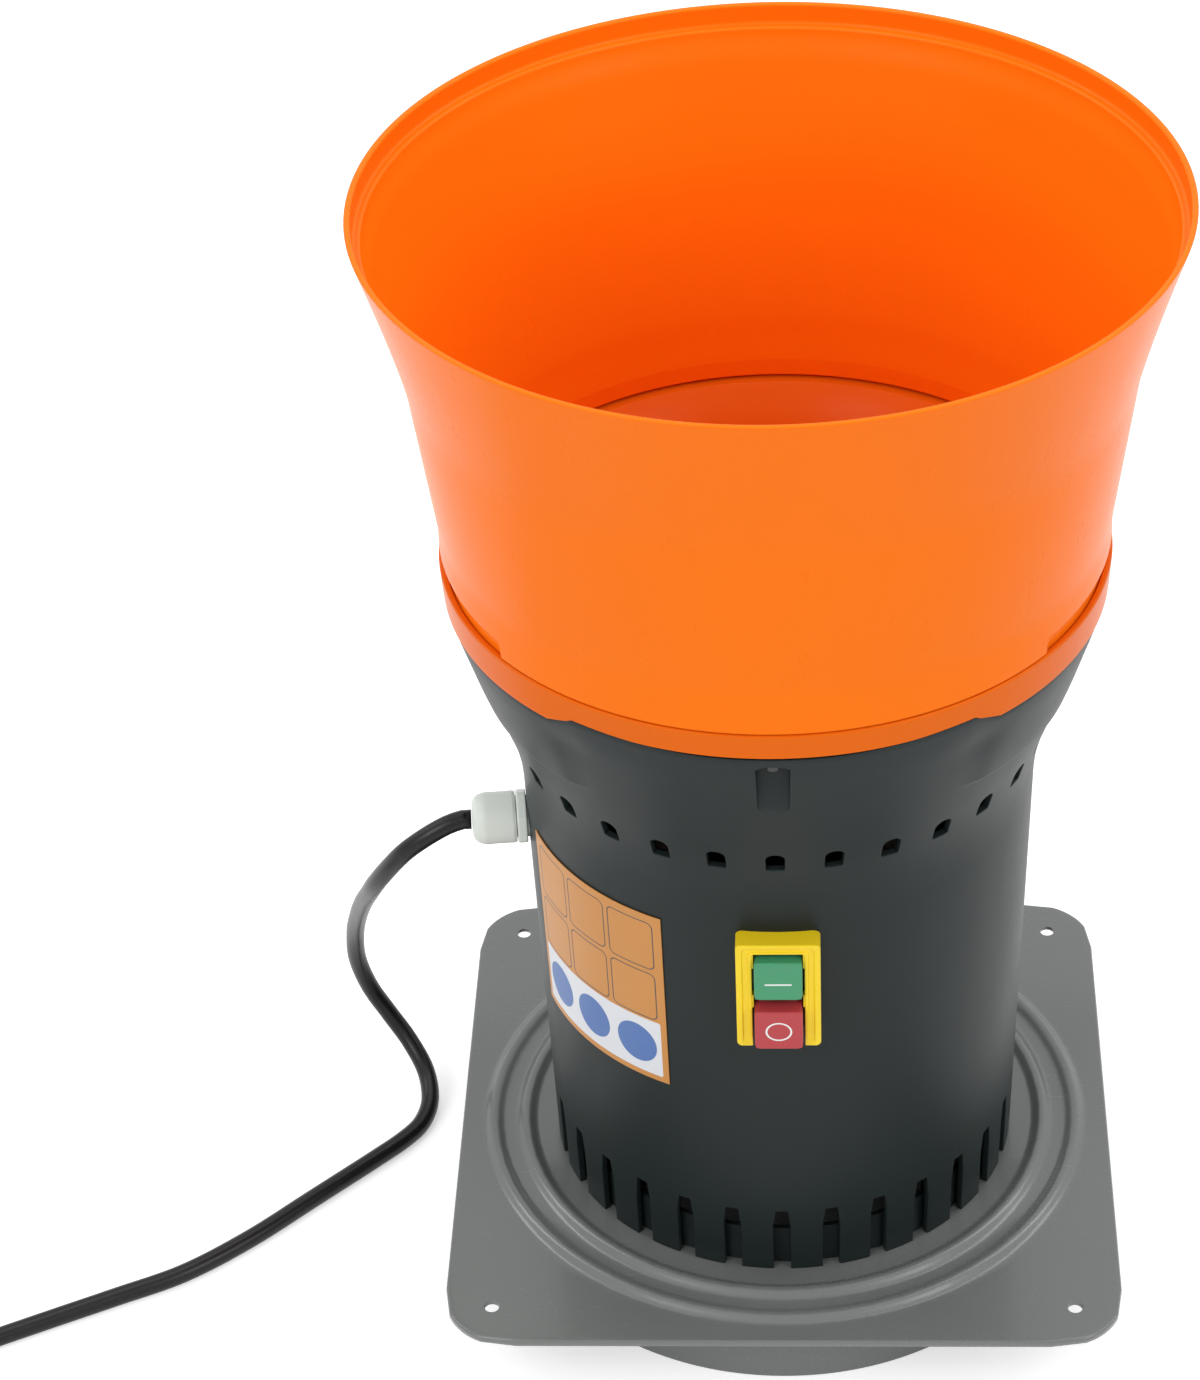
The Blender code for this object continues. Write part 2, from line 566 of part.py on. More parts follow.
def loft(name, rings, material):
    """Join rings of equal counts, the last back to the first, into one closed skin."""
    bm = bmesh.new()
    loops = [[bm.verts.new(point) for point in ring] for ring in rings]
    count = len(rings[0])
    for this, following in zip(loops, loops[1:] + loops[:1]):
        for i in range(count):
            j = (i + 1) % count
            bm.faces.new((this[i], this[j], following[j], following[i]))
    return smooth(solid_from_bmesh(name, bm, material))


def tube(name, points, radius, resolution, material):
    """Make a round tube with filled caps through points."""
    curve = bpy.data.curves.new(name, "CURVE")
    curve.dimensions = "3D"
    curve.bevel_depth = radius
    curve.bevel_resolution = resolution
    curve.use_fill_caps = True
    curve.materials.append(material)
    spline = curve.splines.new("POLY")
    spline.points.add(len(points) - 1)
    for point, place in zip(spline.points, points):
        point.co = (*place, 1.0)
    spline.use_smooth = True
    obj = bpy.data.objects.new(name, curve)
    PARTS.objects.link(obj)
    return obj


def boolean(target, other, operation):
    """Add a Boolean modifier and hide the other solid among the cutters."""
    if other.name not in CUTTERS.objects:
        for collection in list(other.users_collection):
            collection.objects.unlink(other)
        place_in(CUTTERS, other)
    modifier = target.modifiers.new(other.name, "BOOLEAN")
    modifier.operation = operation
    modifier.object = other
    modifier.solver = "EXACT"
    return target


def cut(target, cutter):
    """Cut one solid out of another."""
    return boolean(target, cutter, "DIFFERENCE")


def fuse(target, addition):
    """Join one solid to another."""
    return boolean(target, addition, "UNION")


def joined(name, pieces, collection=CUTTERS):
    """Put separate solids that don't meet into one object."""
    bm = bmesh.new()
    for piece in pieces:
        mesh = piece.data.copy()
        mesh.transform(piece.matrix_world)
        bm.from_mesh(mesh)
        bpy.data.objects.remove(piece, do_unlink=True)
    return solid_from_bmesh(name, bm, None, collection)


def moved(obj, matrix):
    """Place a solid by moving its mesh."""
    obj.data.transform(matrix)
    return obj


def origin_at(obj, point):
    """Put an object's origin on its joint's axis, with its shape left in place."""
    obj.data.transform(Matrix.Translation(-Vector(point)))
    obj.location = point
    return obj


def bevelled(obj, width, segments=2):
    """Round an object's sharp edges."""
    modifier = obj.modifiers.new("rounding", "BEVEL")
    modifier.width = width
    modifier.segments = segments
    modifier.limit_method = "ANGLE"
    return obj


# Geometry helpers.

def around(radius, angle, z=0.0):
    """A point at an angle from the front (-Y), positive towards +X."""
    return Vector((radius * math.sin(angle), -radius * math.cos(angle), z))


def facing(angle):
    """A rotation that carries the front (-Y) to an angle."""
    return Matrix.Rotation(angle, 4, "Z")


def rise(height):
    """Height above the floor of a height above the plate's top."""
    return PLATE_TOP + height


def rounded_rectangle(half_x, half_y, radius, steps=5):
    """Corners and straight sides of a rectangle, counterclockwise."""
    outline = []
    for quarter, (sign_x, sign_y) in enumerate(((1, 1), (-1, 1), (-1, -1), (1, -1))):
        for step in range(steps + 1):
            angle = (quarter + step / steps) * math.pi / 2
            outline.append((sign_x * (half_x - radius) + radius * math.cos(angle),
                            sign_y * (half_y - radius) + radius * math.sin(angle)))
    return outline


def arch_outline(width, low, high):
    """A flat-footed opening with an arched top."""
    half = width / 2
    shoulder = width * ARCH_SHARE
    return [(-half, low), (half, low), (half, high - shoulder), (half - shoulder, high),
            (shoulder - half, high), (-half, high - shoulder)]


def slot_outline(width, low, high):
    """A plain upright opening."""
    half = width / 2
    return [(-half, low), (half, low), (half, high), (-half, high)]


def sector(inner, outer, start, end, step, first):
    """Outline of part of a ring, between two angles from the front.

    Its corners between the ends lie a step apart, and one of them would lie at first.
    """
    low = math.floor((start - first) / step) + 1
    high = math.ceil((end - first) / step)
    angles = [start] + [first + i * step for i in range(low, high)] + [end]
    outline = [around(outer, angle)[:2] for angle in angles]
    return outline + [around(inner, angle)[:2] for angle in reversed(angles)]


def both_sides(start, end):
    """An angle range from the front on the right, and the same on the left."""
    return (start, end), (-end, -start)


def upright(obj, distance):
    """Stand a prism up: its Y becomes Z and its Z runs from distance towards the front."""
    return moved(obj, Matrix.Translation((0.0, -distance, 0.0)) @ Matrix.Rotation(math.pi / 2, 4, "X"))


def outlet_ring(half_x, half_y, z):
    """A near rectangular ring round the outlet's axis, at the same angles as the hopper's facets."""
    ring = []
    for i in range(HOPPER_FACETS):
        angle = i * HOPPER_FACET_ANGLE
        cosine, sine = math.cos(angle), math.sin(angle)
        ring.append((half_x * math.copysign(abs(cosine) ** (2 / OUTLET_POWER), cosine),
                     OUTLET_Y + half_y * math.copysign(abs(sine) ** (2 / OUTLET_POWER), sine), z))
    return ring


def circle_ring(radius, z):
    """A ring of points round Z."""
    angles = [i * HOPPER_FACET_ANGLE for i in range(HOPPER_FACETS)]
    return [(radius * math.cos(angle), radius * math.sin(angle), z) for angle in angles]


def housing_radius(height):
    """Outer radius of the housing at a height above the plate, up to the cone's end."""
    wall_radius = HOUSING_BASE_RADIUS + HOUSING_TAPER * height
    corner_radius = HOUSING_BASE_RADIUS + HOUSING_TAPER * SHOULDER_RISE
    past = height - SHOULDER_RISE
    if past <= -SHOULDER_BLEND:
        return wall_radius
    if past >= SHOULDER_BLEND:
        return corner_radius + CONE_SLOPE * past
    share = (past + SHOULDER_BLEND) / (2 * SHOULDER_BLEND)
    return wall_radius + (CONE_SLOPE - HOUSING_TAPER) * SHOULDER_BLEND * share ** 2


def extension_radius(height):
    """Outer radius of the hopper extension at a height above the plate."""
    if height <= SKIRT_TOP_RISE:
        return SKIRT_RADIUS
    radius = SKIRT_RADIUS + EXTENSION_SLOPE * (height - SKIRT_TOP_RISE)
    if height > FLARE_START_RISE:
        share = (height - FLARE_START_RISE) / (RIM_RISE - FLARE_START_RISE)
        radius += FLARE_REACH * share ** FLARE_POWER
    return radius


# Plate and chamber.

def chamber_top():
    """Height of what hangs under the plate."""
    return PLATE_TOP - PLATE_THICKNESS - GAP


def rib_heights():
    """Radius and height of the plate's top across both ribs, from the inside out."""
    points = [(INNER_RIB_RADIUS - RIB_HALF_WIDTH - RIB_MARGIN, PLATE_TOP)]
    for radius in (INNER_RIB_RADIUS, OUTER_RIB_RADIUS):
        points += [(radius - RIB_HALF_WIDTH, PLATE_TOP),
                   (radius - RIB_CREST_HALF_WIDTH, PLATE_TOP + RIB_HEIGHT),
                   (radius + RIB_CREST_HALF_WIDTH, PLATE_TOP + RIB_HEIGHT),
                   (radius + RIB_HALF_WIDTH, PLATE_TOP)]
    points.append((OUTER_RIB_RADIUS + RIB_HALF_WIDTH + RIB_MARGIN, PLATE_TOP))
    return points


def rib_undersides():
    """Radius and height of the plate's underside across both ribs, from the inside out."""
    underside = PLATE_TOP - PLATE_THICKNESS
    points = [(INNER_RIB_RADIUS - RIB_HALF_WIDTH - RIB_MARGIN, underside)]
    for radius in (INNER_RIB_RADIUS, OUTER_RIB_RADIUS):
        points += [(radius - RIB_HALF_WIDTH, underside), (radius, underside + RIB_HEIGHT),
                   (radius + RIB_HALF_WIDTH, underside)]
    points.append((OUTER_RIB_RADIUS + RIB_HALF_WIDTH + RIB_MARGIN, underside))
    return points


def post_places():
    """Angle of each housing post."""
    return [FIRST_POST_ANGLE + i * math.tau / POST_COUNT for i in range(POST_COUNT)]


def base_plate():
    """Square plate with a hem, two round ribs and its holes."""
    half = PLATE_SIDE / 2
    low = PLATE_TOP - PLATE_THICKNESS - HEM_DEPTH
    outline = rounded_rectangle(half, half, PLATE_CORNER_RADIUS)
    plate = prism("base_plate", outline, low, PLATE_TOP, PAINTED)
    inset = half - HEM_WIDTH
    pocket_outline = rounded_rectangle(inset, inset, PLATE_CORNER_RADIUS - HEM_WIDTH)
    cut(plate, prism("hem_pocket", pocket_outline, low - OVERRUN, PLATE_TOP - PLATE_THICKNESS,
                     collection=CUTTERS))
    ribs = rib_heights()
    bed_radius = ribs[0][0] + RIB_MARGIN / 2
    flat_radius = ribs[-1][0] - RIB_MARGIN / 2
    cut(plate, turned("rib_zone", [(flat_radius, PLATE_TOP + OVERRUN), (flat_radius, low - OVERRUN),
                                   (bed_radius, low - OVERRUN), (bed_radius, PLATE_TOP + OVERRUN)],
                      None, facets=ROUND_FACETS, collection=CUTTERS))
    fuse(plate, turned("ribbed_band", list(reversed(ribs)) + rib_undersides(), None,
                       facets=ROUND_FACETS, collection=CUTTERS))
    holes = [rod("hub_hole", HUB_HOLE_RADIUS, low, PLATE_TOP + OVERRUN, facets=MOTOR_FACETS)]
    reach = half - PLATE_HOLE_INSET
    for x in (-reach, reach):
        for y in (-reach, reach):
            holes.append(rod("corner_hole", PLATE_HOLE_RADIUS, low, PLATE_TOP + OVERRUN, (x, y),
                             facets=SCREW_FACETS))
    for angle in post_places():
        centre = around(POST_CIRCLE_RADIUS, angle)
        holes.append(rod("post_hole", HOUSING_SCREW_RADIUS + SCREW_CLEARANCE, low,
                         PLATE_TOP + OVERRUN, centre, facets=SCREW_FACETS))
    holes.append(prism("feed_hole", [point[:2] for point in outlet_ring(
        OUTLET_HALF_X, OUTLET_HALF_Y, 0.0)[::2]], low, PLATE_TOP + OVERRUN))
    cut(plate, joined("plate_holes", holes))
    return plate


def chamber_drum():
    """Skirt that the mill stands on, with a flange welded under the plate."""
    inner = DRUM_RADIUS - DRUM_WALL
    top = chamber_top()
    return turned("chamber_drum", [
        (DRUM_RADIUS, top), (DRUM_RADIUS, 0.0), (inner, 0.0), (inner, top - DRUM_WALL),
        (inner - DRUM_FLANGE_WIDTH, top - DRUM_WALL), (inner - DRUM_FLANGE_WIDTH, top)], PAINTED,
        facets=ROUND_FACETS)


def chamber_liner():
    """Round wall of the grinding space, between the plate and the sieve."""
    inner = LINER_RADIUS - LINER_WALL
    top = chamber_top()
    foot = SIEVE_HEIGHT + SIEVE_THICKNESS + GAP
    return turned("chamber_liner", [(LINER_RADIUS, top), (LINER_RADIUS, foot), (inner, foot),
                                    (inner, top)], STEEL, facets=ROUND_FACETS)


def stud_places():
    """Angle of each sieve stud."""
    return [FIRST_STUD_ANGLE + i * math.tau / STUD_COUNT for i in range(STUD_COUNT)]


def sieve_plate():
    """Round perforated sheet under the grinding space."""
    low, high = SIEVE_HEIGHT, SIEVE_HEIGHT + SIEVE_THICKNESS
    sheet = rod("sieve_plate", SIEVE_RADIUS, low, high, material=STEEL, facets=ROUND_FACETS)
    limit = LINER_RADIUS - LINER_WALL - 2 * SIEVE_HOLE_RADIUS
    row_height = SIEVE_HOLE_PITCH * math.sqrt(3) / 2
    rows = int(limit / row_height)
    holes = []
    for row in range(-rows, rows + 1):
        shift = SIEVE_HOLE_PITCH / 2 if row % 2 else 0.0
        columns = int(limit / SIEVE_HOLE_PITCH) + 1
        for column in range(-columns, columns + 1):
            x, y = column * SIEVE_HOLE_PITCH + shift, row * row_height
            if math.hypot(x, y) <= limit:
                holes.append(rod("sieve_hole", SIEVE_HOLE_RADIUS, low - OVERRUN, high + OVERRUN, (x, y),
                                 facets=SIEVE_HOLE_FACETS))
    for angle in stud_places():
        holes.append(rod("stud_hole", STUD_RADIUS + STUD_HOLE_CLEARANCE, low - OVERRUN, high + OVERRUN,
                         around(STUD_CIRCLE_RADIUS, angle), facets=SCREW_FACETS))
    return cut(sheet, joined("sieve_holes", holes))


def sieve_stud(name, angle):
    """Stud welded under the plate, through the sieve."""
    return rod(name, STUD_RADIUS, STUD_FOOT, chamber_top(), around(STUD_CIRCLE_RADIUS, angle), STEEL,
               SCREW_FACETS)


def wing_nut(name, angle):
    """Wing nut under the sieve, round its stud."""
    centre = around(STUD_CIRCLE_RADIUS, angle)
    high = SIEVE_HEIGHT - GAP
    low = high - WING_NUT_HEIGHT
    nut = rod(name, WING_NUT_RADIUS, low, high, centre, STEEL, SCREW_FACETS)
    wings = box(name + "_wings", (-WING_SPAN / 2, -WING_THICKNESS / 2, low + WING_FOOT / 2),
                (WING_SPAN / 2, WING_THICKNESS / 2, high - WING_FOOT), collection=CUTTERS)
    fuse(nut, moved(wings, Matrix.Translation((centre.x, centre.y, 0.0)) @ facing(angle)))
    cut(nut, rod(name + "_bore", STUD_RADIUS + GAP, low - OVERRUN, high + OVERRUN, centre,
                 facets=SCREW_FACETS, collection=CUTTERS))
    return origin_at(nut, (centre.x, centre.y, low))


# Housing.

def locating_ring_radius():
    """Outer radius of the locating ring."""
    return HOUSING_BASE_RADIUS - HOUSING_WALL - LOCATING_RING_CLEARANCE


def locating_ring():
    """Upright ring on the plate, seen behind the bottom slots."""
    outer = locating_ring_radius()
    inner = outer - LOCATING_RING_WALL
    low = PLATE_TOP + GAP
    return turned("locating_ring", [(outer, low + LOCATING_RING_HEIGHT), (outer, low), (inner, low),
                                    (inner, low + LOCATING_RING_HEIGHT)], CHARCOAL,
                  facets=ROUND_FACETS)


def shoulder_heights():
    """Heights across the blend between the wall and the cone."""
    return [SHOULDER_RISE - SHOULDER_BLEND + 2 * SHOULDER_BLEND * i / SHOULDER_STEPS
            for i in range(SHOULDER_STEPS + 1)]


def housing_outline():
    """Outer side down, then inner side up."""
    low = PLATE_TOP + GAP
    level_wall = HOUSING_WALL * CONE_WALL_SHARE
    ledge_low = SEAM_RISE - LEDGE_THICKNESS
    throat = housing_radius(CONE_END_RISE) - level_wall
    outer = [(SEAM_RADIUS, rise(SEAM_RISE)), (housing_radius(CONE_END_RISE), rise(CONE_END_RISE))]
    outer += [(housing_radius(height), rise(height)) for height in reversed(shoulder_heights())]
    outer.append((HOUSING_BASE_RADIUS, low))
    corner = HOUSING_BASE_RADIUS + HOUSING_TAPER * SHOULDER_RISE - level_wall
    ledge = SEAM_RADIUS - LEDGE_WIDTH
    inner = [(HOUSING_BASE_RADIUS - HOUSING_WALL, low), (corner, rise(SHOULDER_RISE)),
             (throat, rise(CONE_END_RISE)), (throat, rise(ledge_low)),
             (ledge, rise(ledge_low)), (ledge, rise(SEAM_RISE))]
    return outer + inner


def openings(name, outline, inner, outer):
    """A ring of cutters through the wall, one at the front."""
    pieces = []
    for i in range(OPENING_COUNT):
        piece = prism(name + "_piece", outline, 0.0, outer - inner)
        pieces.append(moved(upright(piece, inner), facing(i * math.tau / OPENING_COUNT)))
    return joined(name, pieces)


def pocket_places():
    """Angle of each screw pocket."""
    return [i * math.tau / POCKET_COUNT for i in range(POCKET_COUNT)]


def pocket_outline(half_width, foot, top):
    """A pocket with a round foot."""
    steps = SCREW_FACETS // 2
    arc = [(-half_width * math.cos(math.pi * i / steps),
            foot + half_width - half_width * math.sin(math.pi * i / steps)) for i in range(steps + 1)]
    return arc + [(half_width, top), (-half_width, top)]


def housing():
    """Plastic body with its openings, posts and screw pockets."""
    body = turned("housing", housing_outline(), CHARCOAL)
    ledge_low = rise(SEAM_RISE - LEDGE_THICKNESS)
    half_wall = HOUSING_WALL / 2
    gusset_top = POST_HEIGHT - POST_RADIUS
    gusset_foot = gusset_top - GUSSET_HEIGHT
    gusset_end = housing_radius(gusset_foot) - half_wall
    pocket_floor = SEAM_RADIUS - POCKET_DEPTH
    pocket_foot = SEAM_RISE - POCKET_DROP
    for index, angle in enumerate(pocket_places()):
        outline = pocket_outline(POCKET_HALF_WIDTH + POCKET_WALL,
                                 rise(pocket_foot + POCKET_BACKING_LIFT), ledge_low + half_wall)
        backing = prism("pocket_backing_%d" % index, outline, 0.0, POCKET_WALL + GAP)
        fuse(body, moved(upright(backing, pocket_floor - POCKET_WALL), facing(angle)))
    for index, angle in enumerate(post_places()):
        centre = around(POST_CIRCLE_RADIUS, angle)
        fuse(body, rod("post_%d" % index, POST_RADIUS, PLATE_TOP + GAP, rise(POST_HEIGHT), centre,
                       facets=SCREW_FACETS))
        gusset = box("gusset_%d" % index,
                     (-GUSSET_WIDTH / 2, -gusset_end, rise(gusset_foot)),
                     (GUSSET_WIDTH / 2, -POST_CIRCLE_RADIUS, rise(gusset_top)))
        fuse(body, moved(gusset, facing(angle)))
    outline = pocket_outline(POCKET_HALF_WIDTH, rise(pocket_foot), ledge_low)
    cut(body, joined("pockets", [
        moved(upright(prism("pocket", outline, 0.0, POCKET_DEPTH + OVERRUN), pocket_floor),
              facing(angle)) for angle in pocket_places()]))
    vent_low = SHOULDER_RISE + VENT_LIFT
    vent_high = vent_low + VENT_HEIGHT
    cut(body, openings("vents", arch_outline(VENT_WIDTH, rise(vent_low), rise(vent_high)),
                       HOUSING_BASE_RADIUS, housing_radius(vent_high) + OVERRUN))
    cut(body, openings("slots", slot_outline(SLOT_WIDTH, PLATE_TOP - OVERRUN, rise(SLOT_HEIGHT)),
                       HOUSING_BASE_RADIUS - HOUSING_WALL - OVERRUN / 2,
                       housing_radius(SLOT_HEIGHT) + OVERRUN))
    cut(body, joined("ring_screw_holes", [
        rod("ring_screw_hole", RING_SCREW_RADIUS + SCREW_CLEARANCE, ledge_low - OVERRUN,
            rise(SEAM_RISE) + OVERRUN, around(RING_SCREW_CIRCLE_RADIUS, angle), facets=SCREW_FACETS)
        for angle in pocket_places()]))
    cut(body, joined("post_bores", [
        rod("post_bore", HOUSING_SCREW_RADIUS + SCREW_CLEARANCE, PLATE_TOP - OVERRUN,
            rise(HOUSING_SCREW_BITE) + GAP, around(POST_CIRCLE_RADIUS, angle), facets=SCREW_FACETS)
        for angle in post_places()]))
    cut(body, joined("side_recesses", [
        prism("side_recess", sector(SEAM_RADIUS - SIDE_SKIRT_WALL - GAP, SEAM_RADIUS + OVERRUN, start,
                                    end, FACET_ANGLE, HALF_FACET),
              rise(SIDE_SEAM_RISE) - GAP, rise(SEAM_RISE) + OVERRUN)
        for start, end in both_sides(SIDE_START, SIDE_END)]))
    clear = SWITCH_HOLE_CLEARANCE
    body_low, body_high, body_half = switch_body_size()
    cut(body, box("switch_hole", (SWITCH_X - body_half - clear, -SWITCH_FRONT, body_low - clear),
                  (SWITCH_X + body_half + clear, -SWITCH_BODY_BACK, body_high + clear),
                  collection=CUTTERS))
    clear = SHUTTER_SLOT_CLEARANCE
    cut(body, box("shutter_slot", (-SHUTTER_HALF_WIDTH - clear, SHUTTER_OUTER_END - SHUTTER_SLOT_REACH,
                                   shutter_low() - clear),
                  (SHUTTER_HALF_WIDTH + clear, SHUTTER_OUTER_END, shutter_high() + clear),
                  collection=CUTTERS))
    gland_hole = rod("gland_hole", GLAND_THREAD_RADIUS + GAP, GLAND_INNER_END, GLAND_FLANGE_END,
                     collection=CUTTERS)
    cut(body, moved(gland_hole, gland_frame()))
    return body


def screw(name, centre, shoulder, radius, head_radius, head, bite):
    """Screw that points up, with its head's top at the shoulder's height."""
    foot = shoulder - head
    piece = turned(name, [(0.0, shoulder + bite), (radius, shoulder + bite), (radius, shoulder),
                          (head_radius, shoulder), (head_radius - head / 4, foot), (0.0, foot)],
                   STEEL, closed=False, facets=SCREW_FACETS, start=0.0)
    return moved(piece, Matrix.Translation((centre[0], centre[1], 0.0)))


# Hopper.

def hopper_funnel():
    """Ring round the housing's top, and the funnel down to the feed chute."""
    lip_inner = LIP_RADIUS - LIP_WALL
    lip_top, floor, seam = rise(LIP_RISE), rise(RING_FLOOR_RISE), rise(SEAM_RISE) + GAP
    level_wall = FUNNEL_WALL * FUNNEL_WALL_SHARE
    below = rise(RING_FLOOR_RISE) - seam
    mouth_slope = ((FUNNEL_MOUTH_RADIUS - FUNNEL_THROAT_RADIUS)
                   / (RING_FLOOR_RISE - FUNNEL_THROAT_RISE))
    throat = rise(FUNNEL_THROAT_RISE)
    foot = rise(SPIGOT_FOOT_RISE)
    rings = [
        circle_ring(LIP_RADIUS, lip_top),
        circle_ring(SEAM_RADIUS, seam),
        circle_ring(FUNNEL_MOUTH_RADIUS - mouth_slope * below + level_wall, seam),
        circle_ring(FUNNEL_THROAT_RADIUS + level_wall, throat),
        outlet_ring(OUTLET_HALF_X + OUTLET_WALL, OUTLET_HALF_Y + OUTLET_WALL, rise(OUTLET_RISE)),
        outlet_ring(OUTLET_HALF_X + OUTLET_WALL, OUTLET_HALF_Y + OUTLET_WALL, foot),
        outlet_ring(OUTLET_HALF_X, OUTLET_HALF_Y, foot),
        outlet_ring(OUTLET_HALF_X, OUTLET_HALF_Y, rise(OUTLET_RISE)),
        circle_ring(FUNNEL_THROAT_RADIUS, throat),
        circle_ring(FUNNEL_MOUTH_RADIUS, floor),
        circle_ring(lip_inner, floor),
        circle_ring(lip_inner, lip_top),
    ]
    funnel = loft("hopper_funnel", rings, ORANGE)
    skirt_outer = SEAM_RADIUS - GAP / 2
    skirt_inner = SEAM_RADIUS - SIDE_SKIRT_WALL
    inset = 2 * GAP / SEAM_RADIUS
    for start, end in both_sides(SIDE_START, SIDE_END):
        outline = sector(skirt_inner, skirt_outer, start + inset, end - inset, FACET_ANGLE, HALF_FACET)
        fuse(funnel, prism("side_skirt", outline, rise(SIDE_SEAM_RISE), seam + LEDGE_THICKNESS / 2))
    bores = [rod("ring_screw_bore", RING_SCREW_RADIUS + SCREW_CLEARANCE, seam - OVERRUN,
                 rise(SEAM_RISE) + RING_SCREW_BITE + GAP, around(RING_SCREW_CIRCLE_RADIUS, angle),
                 facets=SCREW_FACETS) for angle in pocket_places()]
    cut(funnel, joined("ring_screw_bores", bores))
    return funnel


def hopper_extension():
    """Flared wall that stands in the ring's lip and lifts off."""
    span = RIM_RISE - FLARE_START_RISE
    flare = [FLARE_START_RISE + span * (i / FLARE_STEPS) for i in range(FLARE_STEPS + 1)]
    skirt_foot = rise(LIP_RISE) + GAP
    outer = [(extension_radius(height), rise(height)) for height in reversed(flare)]
    outer += [(extension_radius(SKIRT_TOP_RISE), rise(SKIRT_TOP_RISE)), (SKIRT_RADIUS, skirt_foot),
              (SPIGOT_RADIUS, skirt_foot), (SPIGOT_RADIUS, rise(SPIGOT_BOTTOM_RISE))]
    spigot_inner = SPIGOT_RADIUS - SPIGOT_WALL
    inner = [(spigot_inner, rise(SPIGOT_BOTTOM_RISE)), (spigot_inner, rise(NOTCH_TOP_RISE)),
             (SKIRT_RADIUS - EXTENSION_WALL, rise(SKIRT_TOP_RISE))]
    inner += [(extension_radius(height) - EXTENSION_WALL, rise(height)) for height in flare[:-1]]
    rim_radius = extension_radius(RIM_RISE)
    seat = RIM_RISE - LID_SEAT_DEPTH
    inner += [(rim_radius - RIM_WALL - LID_SEAT_LEDGE, rise(seat)), (rim_radius - RIM_WALL, rise(seat)),
              (rim_radius - RIM_WALL, rise(RIM_RISE))]
    inner = [point for point in inner if point[1] <= rise(seat) or point[0] >= rim_radius - RIM_WALL]
    wall = turned("hopper_extension", outer + inner, ORANGE, facets=HOPPER_FACETS, start=0.0)
    notches = [prism("notch", sector(SPIGOT_RADIUS + GAP / 2, SKIRT_RADIUS + OVERRUN, start, end,
                                     HOPPER_FACET_ANGLE, 0.0),
                     skirt_foot - OVERRUN, rise(NOTCH_TOP_RISE))
               for start, end in both_sides(NOTCH_START, NOTCH_END)]
    return cut(wall, joined("notches", notches))


# Feed.

def shutter_high():
    """Top of the shutter plate, under the funnel's spigot."""
    return rise(SPIGOT_FOOT_RISE) - GAP


def shutter_low():
    """Underside of the shutter plate."""
    return shutter_high() - SHUTTER_THICKNESS


def feed_chute():
    """Tube from under the shutter down to the plate's feed hole."""
    top = shutter_low() - GAP
    foot = PLATE_TOP + GAP
    flange = top - CHUTE_FLANGE_THICKNESS
    outer_x, outer_y = OUTLET_HALF_X + CHUTE_WALL, OUTLET_HALF_Y + CHUTE_WALL
    rings = [outlet_ring(outer_x + CHUTE_FLANGE_WIDTH, outer_y, top),
             outlet_ring(outer_x + CHUTE_FLANGE_WIDTH, outer_y, flange),
             outlet_ring(outer_x, outer_y, flange - CHUTE_FLANGE_WIDTH / 2),
             outlet_ring(outer_x, outer_y, foot),
             outlet_ring(OUTLET_HALF_X, OUTLET_HALF_Y, foot),
             outlet_ring(OUTLET_HALF_X, OUTLET_HALF_Y, top)]
    return loft("feed_chute", [ring[::2] for ring in rings], STEEL)


def shutter_plate():
    """Flat slide that closes the funnel's outlet."""
    half_length = (SHUTTER_OUTER_END - SHUTTER_INNER_END) / 2
    corner = KNOB_ROUNDING
    outline = rounded_rectangle(SHUTTER_HALF_WIDTH, half_length, corner, 2)
    plate = prism("shutter_plate", outline, shutter_low(), shutter_high(), STEEL)
    moved(plate, Matrix.Translation((0.0, SHUTTER_INNER_END + half_length, 0.0)))
    return origin_at(plate, (0.0, SHUTTER_INNER_END, shutter_low()))


def shutter_knob():
    """Grip pushed over the outer end of the shutter plate."""
    middle = (shutter_low() + shutter_high()) / 2
    near = SHUTTER_OUTER_END - KNOB_BITE
    outline = rounded_rectangle(SHUTTER_HALF_WIDTH + KNOB_ROUNDING, KNOB_LENGTH / 2, KNOB_ROUNDING, 3)
    knob = prism("shutter_knob", outline, middle - KNOB_HEIGHT / 2, middle + KNOB_HEIGHT / 2, BLACK)
    moved(knob, Matrix.Translation((0.0, near + KNOB_LENGTH / 2, 0.0)))
    cut(knob, box("knob_slot", (-SHUTTER_HALF_WIDTH - GAP, near - OVERRUN, shutter_low() - GAP),
                  (SHUTTER_HALF_WIDTH + GAP, SHUTTER_OUTER_END + GAP, shutter_high() + GAP)))
    return origin_at(knob, (0.0, near, shutter_low()))


# Motor.

def stator_foot():
    """Height of the stator core's foot."""
    return rise(LOWER_BELL_HEIGHT) + GAP


def stator_top():
    """Height of the stator core's top."""
    return stator_foot() + STATOR_LENGTH


def bell_outline(face, rim, hub_end):
    """End bell section: face is the closed end, rim the open end, hub_end the hub's far face."""
    toward = 1 if rim > face else -1
    wall = BELL_WALL * toward
    seat_foot = face + BEARING_SEAT * toward
    seat_top = seat_foot + (BEARING_WIDTH + 2 * GAP) * toward
    bearing = BEARING_RADIUS + GAP
    shaft = SHAFT_RADIUS + BEARING_SEAT / 2
    return [(MOTOR_RADIUS, rim), (MOTOR_RADIUS, face), (BELL_HUB_RADIUS, face),
            (BELL_HUB_RADIUS, hub_end), (shaft, hub_end), (shaft, seat_foot), (bearing, seat_foot),
            (bearing, seat_top), (BELL_HUB_RADIUS, seat_top), (BELL_HUB_RADIUS, face + wall),
            (MOTOR_RADIUS - BELL_WALL, face + wall), (MOTOR_RADIUS - BELL_WALL, rim)]


